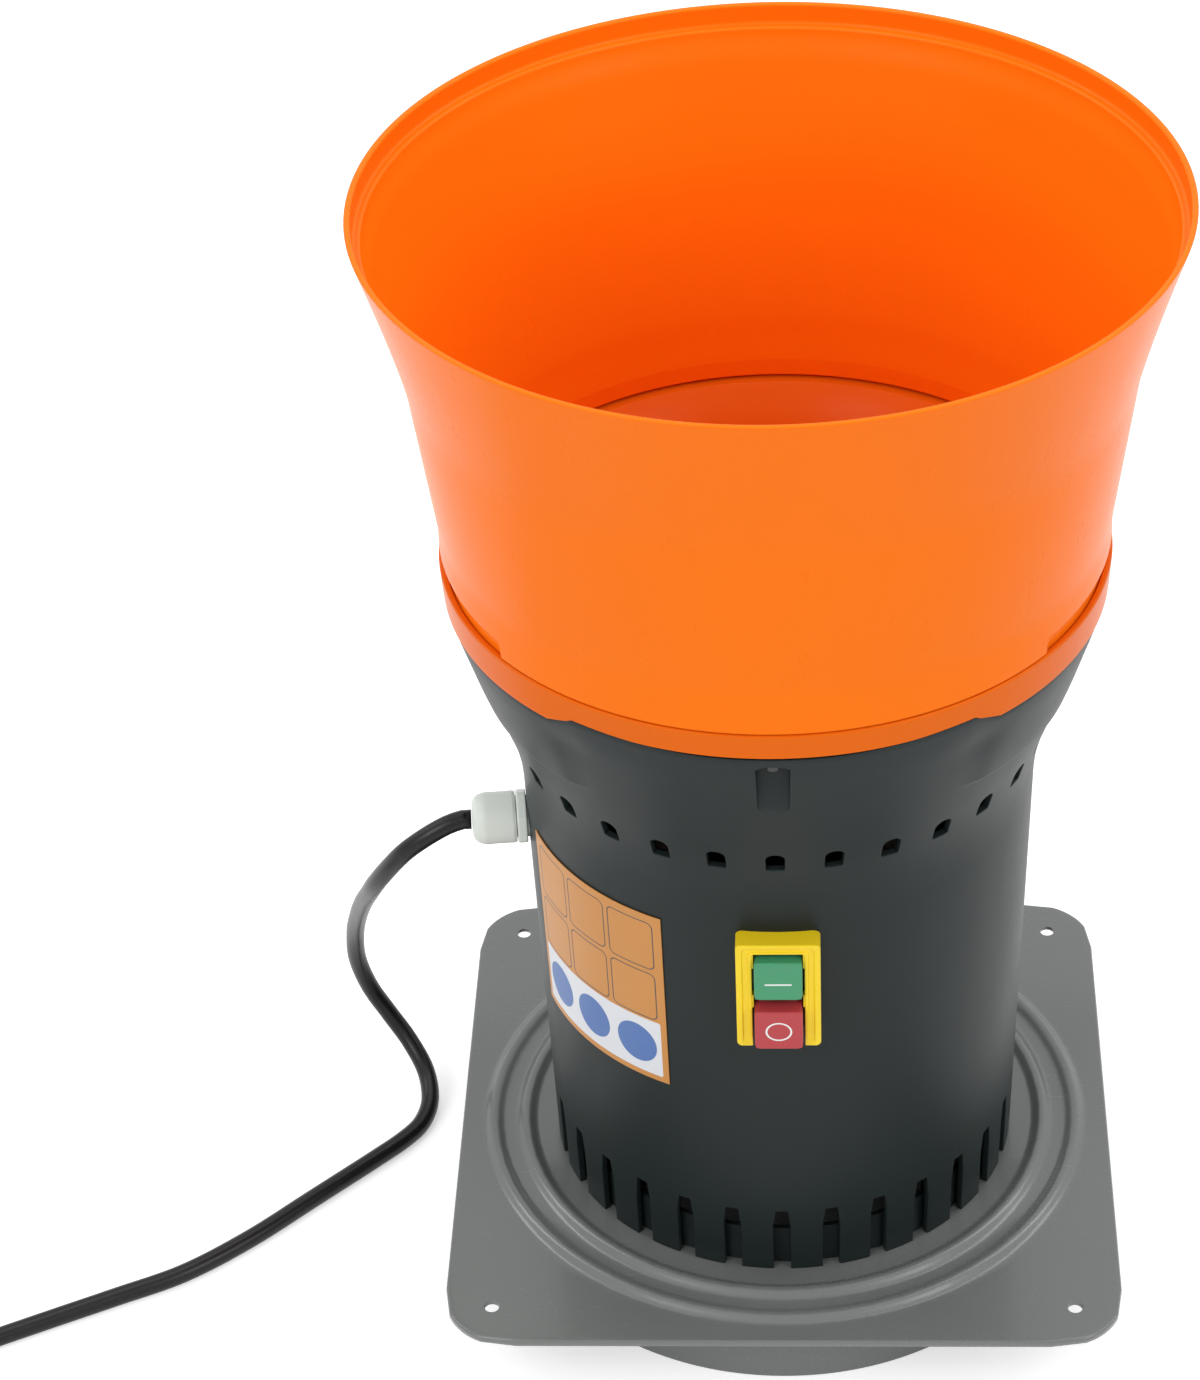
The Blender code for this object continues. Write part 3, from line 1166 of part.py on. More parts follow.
def tie_bolt_places():
    """Angle of each tie bolt."""
    return [FIRST_POST_ANGLE + i * math.tau / TIE_BOLT_COUNT for i in range(TIE_BOLT_COUNT)]


def tie_bolt_holes(name, low, high):
    """Cutter for the tie bolts through one piece."""
    radius = TIE_BOLT_RADIUS + SCREW_CLEARANCE
    return joined(name, [rod("tie_bolt_hole", radius, low, high, around(TIE_BOLT_CIRCLE_RADIUS, angle),
                             facets=SCREW_FACETS) for angle in tie_bolt_places()])


def lower_end_bell():
    """Cup on the plate, with its hub through the plate."""
    face = PLATE_TOP + GAP
    outline = bell_outline(face, rise(LOWER_BELL_HEIGHT), PLATE_TOP - PLATE_THICKNESS)
    bell = turned("lower_end_bell", outline, ALUMINIUM, facets=MOTOR_FACETS)
    return cut(bell, tie_bolt_holes("lower_bolt_holes", face - OVERRUN, face + BELL_WALL + OVERRUN))


def upper_bell_face():
    """Height of the upper end bell's closed face."""
    return stator_top() + GAP + UPPER_BELL_HEIGHT


def upper_end_bell():
    """Cup over the stator."""
    face = upper_bell_face()
    outline = bell_outline(face, stator_top() + GAP, face + BELL_WALL / 2)
    bell = turned("upper_end_bell", list(reversed(outline)), ALUMINIUM, facets=MOTOR_FACETS)
    return cut(bell, tie_bolt_holes("upper_bolt_holes", face - BELL_WALL - OVERRUN, face + OVERRUN))


def bearing(name, low):
    """Ball bearing, as one ring."""
    high = low + BEARING_WIDTH
    inner = SHAFT_RADIUS + GAP
    return turned(name, [(BEARING_RADIUS, high), (BEARING_RADIUS, low), (inner, low), (inner, high)],
                  STEEL, facets=SMALL_FACETS)


def stator_core():
    """Laminated core with the tie bolts' holes."""
    low, high = stator_foot(), stator_top()
    core = turned("stator_core", [(MOTOR_RADIUS, high), (MOTOR_RADIUS, low), (STATOR_BORE_RADIUS, low),
                                  (STATOR_BORE_RADIUS, high)], IRON, facets=MOTOR_FACETS)
    return cut(core, tie_bolt_holes("core_bolt_holes", low - OVERRUN, high + OVERRUN))


def winding(name, low):
    """End turns of the windings, as one bound ring."""
    high = low + WINDING_HEIGHT
    chamfer = WINDING_HEIGHT / 4
    inner, outer = WINDING_INNER_RADIUS, WINDING_OUTER_RADIUS
    return turned(name, [(outer - chamfer, high), (outer, high - chamfer), (outer, low + chamfer),
                         (outer - chamfer, low), (inner, low), (inner, high)], COPPER,
                  facets=MOTOR_FACETS)


def rotor_core():
    """Rotor pack on the shaft."""
    low, high = stator_foot() + GAP, stator_top() - GAP
    outer, inner = STATOR_BORE_RADIUS - AIR_GAP, SHAFT_RADIUS + GAP
    return turned("rotor_core", [(outer, high), (outer, low), (inner, low), (inner, high)], IRON,
                  facets=MOTOR_FACETS)


def motor_shaft():
    """Shaft through the bearings, from the blade to the fan."""
    return rod("motor_shaft", SHAFT_RADIUS, SHAFT_FOOT, rise(SHAFT_TOP_RISE), material=STEEL)


def tie_bolt(name, angle):
    """Long bolt down through the motor."""
    face = upper_bell_face() + GAP
    low = rise(BELL_WALL) + 2 * GAP
    bolt = turned(name, [(0.0, face + TIE_BOLT_HEAD), (TIE_BOLT_HEAD_RADIUS, face + TIE_BOLT_HEAD),
                         (TIE_BOLT_HEAD_RADIUS, face), (TIE_BOLT_RADIUS, face), (TIE_BOLT_RADIUS, low),
                         (0.0, low)], STEEL, closed=False, facets=SCREW_FACETS)
    return moved(bolt, Matrix.Translation(around(TIE_BOLT_CIRCLE_RADIUS, angle)))


def cooling_fan():
    """Fan on the shaft's upper end."""
    high = rise(SHAFT_TOP_RISE - FAN_TOP_DROP)
    low = high - FAN_HEIGHT
    bore = SHAFT_RADIUS + GAP
    fan = turned("cooling_fan", [(FAN_HUB_RADIUS, high), (FAN_HUB_RADIUS, low + FAN_PLATE),
                                 (FAN_RADIUS, low + FAN_PLATE), (FAN_RADIUS, low), (bore, low),
                                 (bore, high)], BLACK, facets=MOTOR_FACETS)
    half = FAN_BLADE_THICKNESS / 2
    blades = []
    for i in range(FAN_BLADE_COUNT):
        blade = box("fan_blade", (-half, -FAN_RADIUS + half, low + FAN_PLATE / 2),
                    (half, -FAN_HUB_RADIUS - FAN_BLADE_START, high - half))
        blades.append(moved(blade, facing(i * math.tau / FAN_BLADE_COUNT)))
    return fuse(fan, joined("fan_blades", blades))


def run_capacitor():
    """Round can beside the motor."""
    low = rise(CAPACITOR_FOOT_RISE)
    high = low + CAPACITOR_HEIGHT
    chamfer = CAPACITOR_CHAMFER
    can = turned("run_capacitor", [(0.0, high), (CAPACITOR_RADIUS - chamfer, high),
                                   (CAPACITOR_RADIUS, high - chamfer), (CAPACITOR_RADIUS, low + chamfer),
                                   (CAPACITOR_RADIUS - chamfer, low), (0.0, low)], ALUMINIUM,
                 closed=False, facets=SMALL_FACETS)
    return moved(can, Matrix.Translation((CAPACITOR_X, 0.0, 0.0)))


def capacitor_clamp():
    """Band round the can, with its foot on the stator."""
    low = rise(CAPACITOR_FOOT_RISE + CLAMP_LIFT)
    high = low + CLAMP_HEIGHT
    inner = CAPACITOR_RADIUS + GAP
    outer = inner + CLAMP_WALL
    band = turned("capacitor_clamp", [(outer, high), (outer, low), (inner, low), (inner, high)], STEEL,
                  facets=SMALL_FACETS)
    moved(band, Matrix.Translation((CAPACITOR_X, 0.0, 0.0)))
    half = CLAMP_FOOT_WIDTH / 2
    foot = box("clamp_foot", (MOTOR_RADIUS + GAP, -half, low), (CAPACITOR_X - inner, half, high))
    fuse(band, foot)
    cut(band, rod("clamp_bore", inner, low - OVERRUN, high + OVERRUN, (CAPACITOR_X, 0.0),
                  facets=SMALL_FACETS, turn=HALF_FACET, collection=CUTTERS))
    return band


# Grinding blade.

def grinding_blade():
    """Flat bar with its two tips cut on the slant."""
    half_length, half_width = BLADE_LENGTH / 2, BLADE_WIDTH / 2
    outline = [(-half_length, half_width), (-half_length + BLADE_TIP_CUT, -half_width),
               (half_length, -half_width), (half_length - BLADE_TIP_CUT, half_width)]
    blade = prism("grinding_blade", outline, BLADE_BOTTOM, BLADE_BOTTOM + BLADE_THICKNESS, STEEL)
    return cut(blade, rod("blade_bore", SHAFT_RADIUS + GAP, BLADE_BOTTOM - OVERRUN,
                          BLADE_BOTTOM + BLADE_THICKNESS + OVERRUN, collection=CUTTERS))


def blade_spacer():
    """Sleeve between the blade and the lower bearing's hub."""
    low = BLADE_BOTTOM + BLADE_THICKNESS + GAP
    high = PLATE_TOP - PLATE_THICKNESS - RUNNING_GAP
    inner = SHAFT_RADIUS + GAP
    return turned("blade_spacer", [(SPACER_RADIUS, high), (SPACER_RADIUS, low), (inner, low),
                                   (inner, high)], STEEL, facets=SMALL_FACETS)


def blade_nut():
    """Hex nut under the blade."""
    high = BLADE_BOTTOM - GAP
    low = high - BLADE_NUT_HEIGHT
    nut = rod("blade_nut", SHAFT_RADIUS + BLADE_NUT_WALL, low, high, material=STEEL, facets=6)
    return cut(nut, rod("nut_bore", SHAFT_RADIUS + GAP, low - OVERRUN, high + OVERRUN,
                        collection=CUTTERS))


# Switch.

def switch_body_size():
    """Low and high end and half width of the switch body."""
    wall = FRAME_WALL + GAP
    return (rise(SWITCH_FOOT_RISE) + wall, rise(SWITCH_FOOT_RISE + SWITCH_HEIGHT) - wall - GROOVE_INSET,
            SWITCH_WIDTH / 2 - wall)


def switch_frame():
    """Yellow surround, open at the foot of its window."""
    half = SWITCH_WIDTH / 2
    low, high = rise(SWITCH_FOOT_RISE), rise(SWITCH_FOOT_RISE + SWITCH_HEIGHT)
    middle = (low + high) / 2
    back = housing_radius(SWITCH_FOOT_RISE) - HOUSING_WALL

    def plane(name, half_x, bottom, top, corner, near, far):
        outline = rounded_rectangle(half_x, (top - bottom) / 2, corner, 3)
        outline = [(x + SWITCH_X, y + (top + bottom) / 2) for x, y in outline]
        return upright(prism(name, outline, 0.0, far - near), near)

    frame = plane("switch_frame", half, low, high, SWITCH_CORNER_RADIUS, back, SWITCH_FRONT)
    frame.data.materials.append(YELLOW)
    body_low, body_high, body_half = switch_body_size()
    cut(frame, box("frame_hollow", (SWITCH_X - body_half - GAP, -(SWITCH_FRONT - FRAME_FACE),
                                    body_low - GAP),
                   (SWITCH_X + body_half + GAP, -back + OVERRUN, body_high + GAP)))
    seat = turned("housing_seat", [(housing_radius(height) + GAP, rise(height)) for height in
                                   (SEAM_RISE, SHOULDER_RISE - SHOULDER_BLEND, 0.0)]
                  + [(MOTOR_RADIUS, rise(0.0)), (MOTOR_RADIUS, rise(SEAM_RISE))], None,
                  collection=CUTTERS)
    cut(frame, seat)
    window_high = high - WINDOW_TOP_DROP
    cut(frame, plane("window", WINDOW_HALF_WIDTH, low - SWITCH_HEIGHT / 2, window_high,
                     SWITCH_CORNER_RADIUS / 2, SWITCH_FRONT - FRAME_FACE - GAP,
                     SWITCH_FRONT + OVERRUN))
    groove = plane("groove", half - GROOVE_INSET, low - SWITCH_HEIGHT / 2, high - GROOVE_INSET,
                   SWITCH_CORNER_RADIUS / 2, SWITCH_FRONT - GROOVE_DEPTH, SWITCH_FRONT + OVERRUN)
    island = plane("groove_island", half - GROOVE_INSET - GROOVE_WIDTH, low - SWITCH_HEIGHT,
                   high - GROOVE_INSET - GROOVE_WIDTH, SWITCH_CORNER_RADIUS / 2,
                   SWITCH_FRONT - GROOVE_DEPTH - OVERRUN, SWITCH_FRONT + 2 * OVERRUN)
    cut(groove, island)
    cut(frame, groove)
    return frame


def switch_body():
    """Block behind the frame, with a pocket for each button."""
    low, high, half = switch_body_size()
    front = SWITCH_FRONT - FRAME_FACE - GAP
    body = box("switch_body", (SWITCH_X - half, -front, low), (SWITCH_X + half, -SWITCH_BODY_BACK, high),
               BLACK)
    reach = BUTTON_WIDTH / 2 + BUTTON_CLEARANCE
    for name, bottom, top in (("start", START_LOW_RISE, START_HIGH_RISE),
                              ("stop", STOP_LOW_RISE, STOP_HIGH_RISE)):
        cut(body, box(name + "_pocket",
                      (SWITCH_X - reach, -front - OVERRUN, rise(bottom) - BUTTON_CLEARANCE),
                      (SWITCH_X + reach, -POCKET_BACK, rise(top) + BUTTON_CLEARANCE)))
    return body


def button(name, low, high, front, material):
    """Push button with rounded edges."""
    half = BUTTON_WIDTH / 2
    cap = box(name, (SWITCH_X - half, -front, rise(low)), (SWITCH_X + half, -BUTTON_BACK, rise(high)),
              material)
    origin_at(cap, (SWITCH_X, -front, rise((low + high) / 2)))
    return bevelled(cap, BUTTON_ROUNDING)


def button_spring(name, low, high):
    """Return spring behind a button, along Y."""
    start = -(POCKET_BACK + GAP + SPRING_WIRE_RADIUS)
    length = (BUTTON_BACK - POCKET_BACK) - 2 * (GAP + SPRING_WIRE_RADIUS)
    count = SPRING_CURL_COUNT * SPRING_CURL_FACETS
    middle = rise((low + high) / 2)
    points = []
    for i in range(count + 1):
        angle = math.tau * i / SPRING_CURL_FACETS
        points.append((SWITCH_X + SPRING_RADIUS * math.cos(angle), start - length * i / count,
                       middle + SPRING_RADIUS * math.sin(angle)))
    return origin_at(tube(name, points, SPRING_WIRE_RADIUS, 1, STEEL),
                     (SWITCH_X, -POCKET_BACK, middle))


# Cable gland, made along Z and laid along its axis.

def gland_frame():
    """Carries +Z at the mill's axis to the gland's outward direction."""
    return (Matrix.Translation((0.0, 0.0, rise(GLAND_RISE))) @ facing(GLAND_ANGLE)
            @ Matrix.Rotation(math.pi / 2, 4, "X"))


def gland_body():
    """Hex flange outside and threads on both its sides."""
    body = rod("gland_body", GLAND_FLANGE_RADIUS, GLAND_FLANGE_START, GLAND_FLANGE_END,
               material=PALE_GREY, facets=6)
    fuse(body, rod("gland_thread", GLAND_THREAD_RADIUS, GLAND_INNER_END, GLAND_THREAD_END))
    cut(body, rod("gland_bore", GLAND_BORE_RADIUS, GLAND_INNER_END - OVERRUN,
                  GLAND_THREAD_END + OVERRUN))
    for solid in [body] + [modifier.object for modifier in body.modifiers]:
        moved(solid, gland_frame())
    return body


def gland_nut():
    """Domed nut that squeezes the seal round the cord."""
    low = GLAND_FLANGE_END + GAP
    inner = GLAND_THREAD_RADIUS + GAP
    length = GLAND_NUT_END - low
    neck = GLAND_NUT_END - GLAND_NUT_WALL
    bore = CORD_RADIUS + GAP
    nut = turned("gland_nut", [
        (GLAND_MOUTH_RADIUS, GLAND_NUT_END), (GLAND_NUT_RADIUS - GLAND_NUT_WALL, neck),
        (GLAND_NUT_RADIUS, low + length / 2), (GLAND_NUT_RADIUS, low), (inner, low),
        (inner, low + length / 2), (GLAND_MOUTH_RADIUS, neck), (bore, neck), (bore, GLAND_NUT_END)],
        PALE_GREY, facets=SMALL_FACETS)
    return moved(nut, gland_frame())


def gland_seal():
    """Rubber sleeve inside the nut."""
    low = GLAND_THREAD_END + GAP
    high = GLAND_NUT_END - GLAND_NUT_WALL - 2 * GAP
    outer = GLAND_MOUTH_RADIUS - 2 * GAP
    inner = CORD_RADIUS + GAP
    seal = turned("gland_seal", [(outer, high), (outer, low), (inner, low), (inner, high)], RUBBER,
                  facets=SMALL_FACETS)
    return moved(seal, gland_frame())


def gland_locknut():
    """Hex nut inside the wall."""
    nut = rod("gland_locknut", GLAND_FLANGE_RADIUS, LOCKNUT_OUTER_FACE - LOCKNUT_HEIGHT,
              LOCKNUT_OUTER_FACE, material=PALE_GREY, facets=6)
    bore = rod("locknut_bore", GLAND_THREAD_RADIUS + GAP, GLAND_INNER_END, GLAND_FLANGE_END)
    cut(nut, bore)
    moved(bore, gland_frame())
    return moved(nut, gland_frame())


# Cord, coil and plug.

def smooth_route(points, spacing):
    """Points along a smooth curve through the route's points (Catmull-Rom)."""
    points = [Vector(point) for point in points]
    padded = [2 * points[0] - points[1]] + points + [2 * points[-1] - points[-2]]
    fine = []
    steps = 24
    for before, start, end, after in zip(padded, padded[1:], padded[2:], padded[3:]):
        for i in range(steps):
            t = i / steps
            fine.append(0.5 * (2 * start + (end - before) * t
                               + (2 * before - 5 * start + 4 * end - after) * t ** 2
                               + (3 * start - before - 3 * end + after) * t ** 3))
    fine.append(points[-1])
    lengths = [0.0]
    for start, end in zip(fine, fine[1:]):
        lengths.append(lengths[-1] + (end - start).length)
    count = max(2, round(lengths[-1] / spacing))
    route, index = [], 0
    for i in range(count + 1):
        wanted = lengths[-1] * i / count
        while index < len(fine) - 2 and lengths[index + 1] < wanted:
            index += 1
        share = (wanted - lengths[index]) / (lengths[index + 1] - lengths[index])
        route.append(fine[index].lerp(fine[index + 1], share))
    return route


def coil_turns():
    """Number of turns of the coil."""
    return COIL_TURN_COUNT + (COIL_START_ANGLE - COIL_END_ANGLE) / math.tau


def coil_path():
    """Coil that spirals in, climbs a layer while it reverses, and spirals out.

    The radius falls by a pitch each turn to the middle and grows again after it. The
    height climbs one layer in the half turn round the middle. Each end runs straight
    for one diameter of the cord.
    """
    turns = coil_turns()
    count = round(turns * COIL_TURN_FACETS)
    middle = turns / 2
    centre = Vector((COIL_CENTRE_X, COIL_CENTRE_Y, 0.0))
    points = []
    for i in range(count + 1):
        turn = turns * i / count
        radius = COIL_OUTER_RADIUS - COIL_PITCH * (middle - abs(turn - middle))
        climb = min(max((turn - middle) * 2 + 0.5, 0.0), 1.0)
        z = FLOOR_Z + COIL_LAYER_RISE * climb
        angle = COIL_START_ANGLE - math.tau * turn
        points.append(centre + Vector((radius * math.cos(angle), radius * math.sin(angle), z)))
    start = Vector((-math.sin(COIL_START_ANGLE), math.cos(COIL_START_ANGLE), 0.0))
    points.insert(0, points[0] + start * 2 * CORD_RADIUS)
    lead_start = points[-1]
    end = Vector((math.sin(COIL_END_ANGLE), -math.cos(COIL_END_ANGLE), 0.0))
    rise_left = plug_height() - lead_start.z
    straight = 2 * CORD_RADIUS
    points.append(lead_start + end * (PLUG_LEAD - straight) * 0.5 + Vector((0.0, 0.0, rise_left * 0.5)))
    points.append(lead_start + end * (PLUG_LEAD - straight) + Vector((0.0, 0.0, rise_left)))
    points.append(lead_start + end * PLUG_LEAD + Vector((0.0, 0.0, rise_left)))
    return points


def plug_height():
    """Height of the lying plug's axis."""
    return PLUG_RADIUS + PLUG_LIFT


def least_gap(points, radius):
    """Least gap of a tube to itself, between stretches more than half a turn apart."""
    apart = COIL_TURN_FACETS // 2
    least = min((a - b).length for i, a in enumerate(points) for b in points[i + apart:])
    return least - 2 * radius


def power_cord(coil_start):
    """Cord from the gland's mouth to the coil."""
    mouth = gland_frame() @ Vector((0.0, 0.0, GLAND_NUT_END + GAP))
    after = gland_frame() @ Vector((0.0, 0.0, GLAND_NUT_END + GAP + CORD_RADIUS))
    towards = (coil_start[0] - coil_start[1]).normalized()
    end = coil_start[0] + towards * GAP
    before = end + towards * 2 * CORD_RADIUS
    route = smooth_route([after, *CORD_ROUTE, before], CORD_POINT_SPACING)
    return tube("power_cord", [mouth, *route, end], CORD_RADIUS, CORD_BEVEL_STEPS, RUBBER)


def plug_frame(lead_end):
    """Carries +Z at the origin to the plug's axis, from the end of the lead."""
    outward = math.atan2(-math.cos(COIL_END_ANGLE), math.sin(COIL_END_ANGLE))
    return (Matrix.Translation(lead_end) @ Matrix.Rotation(outward, 4, "Z")
            @ Matrix.Rotation(math.pi / 2, 4, "Y"))


def plug_body(place):
    """Two-pin plug, with its neck towards the cord."""
    foot = GAP
    top = foot + PLUG_NECK_LENGTH + PLUG_LENGTH
    neck = foot + PLUG_NECK_LENGTH
    shoulder = PLUG_LENGTH / 3
    body = turned("plug_body", [
        (0.0, top), (PLUG_RADIUS - PLUG_CHAMFER, top), (PLUG_RADIUS, top - PLUG_CHAMFER),
        (PLUG_RADIUS, neck + shoulder), (PLUG_NECK_RADIUS + PLUG_CHAMFER, neck),
        (PLUG_NECK_RADIUS, foot), (0.0, foot)], BLACK, closed=False, facets=SMALL_FACETS)
    bores = [rod("pin_bore", PIN_RADIUS + GAP, top - PIN_LENGTH / 2, top + OVERRUN,
                 (0.0, side * PIN_SPACING / 2), facets=SCREW_FACETS) for side in (-1, 1)]
    cutter = joined("pin_bores", bores)
    cut(body, cutter)
    moved(cutter, place)
    return moved(body, place)


def plug_pin(name, side, place):
    """Round pin set in the plug's face."""
    top = GAP + PLUG_NECK_LENGTH + PLUG_LENGTH
    low = top - PIN_LENGTH / 2 + GAP
    high = top + PIN_LENGTH
    pin = turned(name, [(0.0, high), (PIN_RADIUS - PIN_TIP, high), (PIN_RADIUS, high - PIN_TIP),
                        (PIN_RADIUS, low), (0.0, low)], STEEL, closed=False, facets=SCREW_FACETS)
    moved(pin, Matrix.Translation((0.0, side * PIN_SPACING / 2, 0.0)))
    return moved(pin, place)


# Sticker.

def side_sticker():
    """Thin film on the housing's left side, as an open sheet with a thickness."""
    bm = bmesh.new()
    bmesh.ops.create_grid(bm, x_segments=STICKER_FACETS, y_segments=1, size=0.5)
    for vertex in bm.verts:
        angle = STICKER_START + (STICKER_END - STICKER_START) * (vertex.co.x + 0.5)
        height = STICKER_LOW_RISE + STICKER_HEIGHT * (vertex.co.y + 0.5)
        vertex.co = around(housing_radius(height) + GAP, angle, rise(height))
    mesh = bpy.data.meshes.new("side_sticker")
    bm.to_mesh(mesh)
    bm.free()
    mesh.materials.append(STICKER_FILM)
    film = bpy.data.objects.new("side_sticker", mesh)
    PARTS.objects.link(film)
    thickness = film.modifiers.new("thickness", "SOLIDIFY")
    thickness.thickness = STICKER_THICKNESS
    thickness.offset = 1.0
    return film


def build():
    """Make every piece."""
    base_plate()
    chamber_drum()
    chamber_liner()
    sieve_plate()
    for index, angle in enumerate(stud_places(), 1):
        sieve_stud("sieve_stud_%d" % index, angle)
        wing_nut("wing_nut_%d" % index, angle)
    locating_ring()
    housing()
    ledge_low = rise(SEAM_RISE - LEDGE_THICKNESS) - GAP
    for index, angle in enumerate(pocket_places(), 1):
        screw("ring_screw_%d" % index, around(RING_SCREW_CIRCLE_RADIUS, angle), ledge_low,
              RING_SCREW_RADIUS, RING_SCREW_HEAD_RADIUS, RING_SCREW_HEAD,
              LEDGE_THICKNESS + RING_SCREW_BITE)
    for index, angle in enumerate(post_places(), 1):
        screw("housing_screw_%d" % index, around(POST_CIRCLE_RADIUS, angle),
              PLATE_TOP - PLATE_THICKNESS - GAP, HOUSING_SCREW_RADIUS, HOUSING_SCREW_HEAD_RADIUS,
              HOUSING_SCREW_HEAD, PLATE_THICKNESS + HOUSING_SCREW_BITE)
    hopper_funnel()
    hopper_extension()
    feed_chute()
    shutter_plate()
    shutter_knob()
    lower_end_bell()
    upper_end_bell()
    bearing("lower_bearing", PLATE_TOP + GAP + BEARING_SEAT + GAP)
    bearing("upper_bearing", upper_bell_face() - BEARING_SEAT - GAP - BEARING_WIDTH)
    stator_core()
    winding("lower_winding", stator_foot() - GAP - WINDING_HEIGHT)
    winding("upper_winding", stator_top() + GAP)
    rotor_core()
    motor_shaft()
    for index, angle in enumerate(tie_bolt_places(), 1):
        tie_bolt("tie_bolt_%d" % index, angle)
    cooling_fan()
    run_capacitor()
    capacitor_clamp()
    grinding_blade()
    blade_spacer()
    blade_nut()
    switch_frame()
    switch_body()
    button("start_button", START_LOW_RISE, START_HIGH_RISE, START_FRONT, GREEN)
    button("stop_button", STOP_LOW_RISE, STOP_HIGH_RISE, STOP_FRONT, RED)
    button_spring("start_spring", START_LOW_RISE, START_HIGH_RISE)
    button_spring("stop_spring", STOP_LOW_RISE, STOP_HIGH_RISE)
    gland_body()
    gland_nut()
    gland_seal()
    gland_locknut()
    coil = coil_path()
    gap = least_gap(coil, CORD_RADIUS)
    print("coil: least gap to itself %.2f mm, wanted over %.2f mm" % (gap / MM, COIL_LEAST_GAP / MM))
    power_cord(coil)
    tube("cord_coil", coil, CORD_RADIUS, COIL_BEVEL_STEPS, RUBBER)
    place = plug_frame(coil[-1])
    plug_body(place)
    plug_pin("plug_pin_1", -1, place)
    plug_pin("plug_pin_2", 1, place)
    side_sticker()


build()
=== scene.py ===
"""Electric grain mill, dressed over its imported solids.

Places are in metres in the frame's own axes: the mill stands on the floor at the origin,
its switch faces -Y and +Z is up. Angles round the mill run from the front towards +X.
Heights named rise are measured from the top of the base plate.
"""
import logging
import math
from dataclasses import dataclass
from enum import Enum
from typing import Callable, Sequence

import bmesh
import bpy
import numpy as np
from mathutils import Matrix


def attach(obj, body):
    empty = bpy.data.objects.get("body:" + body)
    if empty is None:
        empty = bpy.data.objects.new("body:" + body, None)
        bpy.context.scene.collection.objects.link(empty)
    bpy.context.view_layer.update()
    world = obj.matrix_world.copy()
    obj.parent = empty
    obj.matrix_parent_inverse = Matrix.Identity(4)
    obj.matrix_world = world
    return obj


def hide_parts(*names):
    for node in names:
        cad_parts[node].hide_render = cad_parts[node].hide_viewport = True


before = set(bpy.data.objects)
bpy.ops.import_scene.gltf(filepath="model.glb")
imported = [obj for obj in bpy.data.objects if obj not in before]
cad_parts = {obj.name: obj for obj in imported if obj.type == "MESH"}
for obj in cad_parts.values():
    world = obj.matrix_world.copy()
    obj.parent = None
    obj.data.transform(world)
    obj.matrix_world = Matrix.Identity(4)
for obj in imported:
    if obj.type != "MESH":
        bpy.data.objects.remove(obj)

LOG = logging.getLogger("grain_mill")
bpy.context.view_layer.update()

Array = np.ndarray
Socket = bpy.types.NodeSocket
Pair = tuple[float, float]
Triple = tuple[float, float, float]
Row = tuple[float, ...]
MM = 0.001
PLATE_TOP = 49.0 * MM
SEAM_GAP = 0.9 * MM


# Shapes as whole arrays.

def around(radius: Array, angle: Array, height: Array) -> Array:
    """Points (r sin a, -r cos a, z) for an angle a from the front.

    Args:
        radius: Distance from the mill's axis.
        angle: Angle from the front, towards +X.
        height: Height above the floor.

    Returns:
        Points with a last dimension of three.
    """
    radius, angle, height = np.broadcast_arrays(radius, angle, height)
    return np.stack([radius * np.sin(angle), -radius * np.cos(angle), height], -1)


def smooth_step(value: Array) -> Array:
    """3 t^2 - 2 t^3 of a value held between 0 and 1."""
    share = np.clip(value, 0.0, 1.0)
    return share * share * (3.0 - 2.0 * share)


def unit(vectors: Array) -> Array:
    """Vectors of the same directions and length 1."""
    return vectors / np.linalg.norm(vectors, axis=-1, keepdims=True)


def reach_along(line: Array) -> Array:
    """Length of a line up to each of its points."""
    return np.concatenate([[0.0], np.cumsum(np.linalg.norm(np.diff(line, axis=0), axis=1))])


def rolled(edge: float, count: int) -> tuple[Array, Array]:
    """Quarter circle over an edge: how far in from it and how far down each point lies."""
    turn = np.linspace(0.0, math.pi / 2, count)
    return edge * (1 - np.sin(turn)), edge * (1 - np.cos(turn))


def at_level(flat: Array, level: Array | float) -> Array:
    """Give points in a plane a height, one for all or one for each."""
    return np.concatenate([flat, np.broadcast_to(level, flat.shape[:-1])[..., None]], -1)


def facing(flat: Array, front: Array | float) -> Array:
    """Stand points of (x, z) up at a distance in front of the mill's axis."""
    return at_level(flat, -np.asarray(front))[..., [0, 2, 1]]


def superellipse(angle: Array, half_x: float, half_y: float, power: float) -> Array:
    """Points (a sgn(cos) |cos|^(2/n), b sgn(sin) |sin|^(2/n)) round the origin.

    Args:
        angle: Angle from +X.
        half_x: Half of the width.
        half_y: Half of the depth.
        power: How square the ring is; 2 is an ellipse.

    Returns:
        Points with a last dimension of two.
    """
    cosine, sine = np.cos(angle), np.sin(angle)
    return np.stack([half_x * np.sign(cosine) * np.abs(cosine) ** (2 / power),
                     half_y * np.sign(sine) * np.abs(sine) ** (2 / power)], -1)


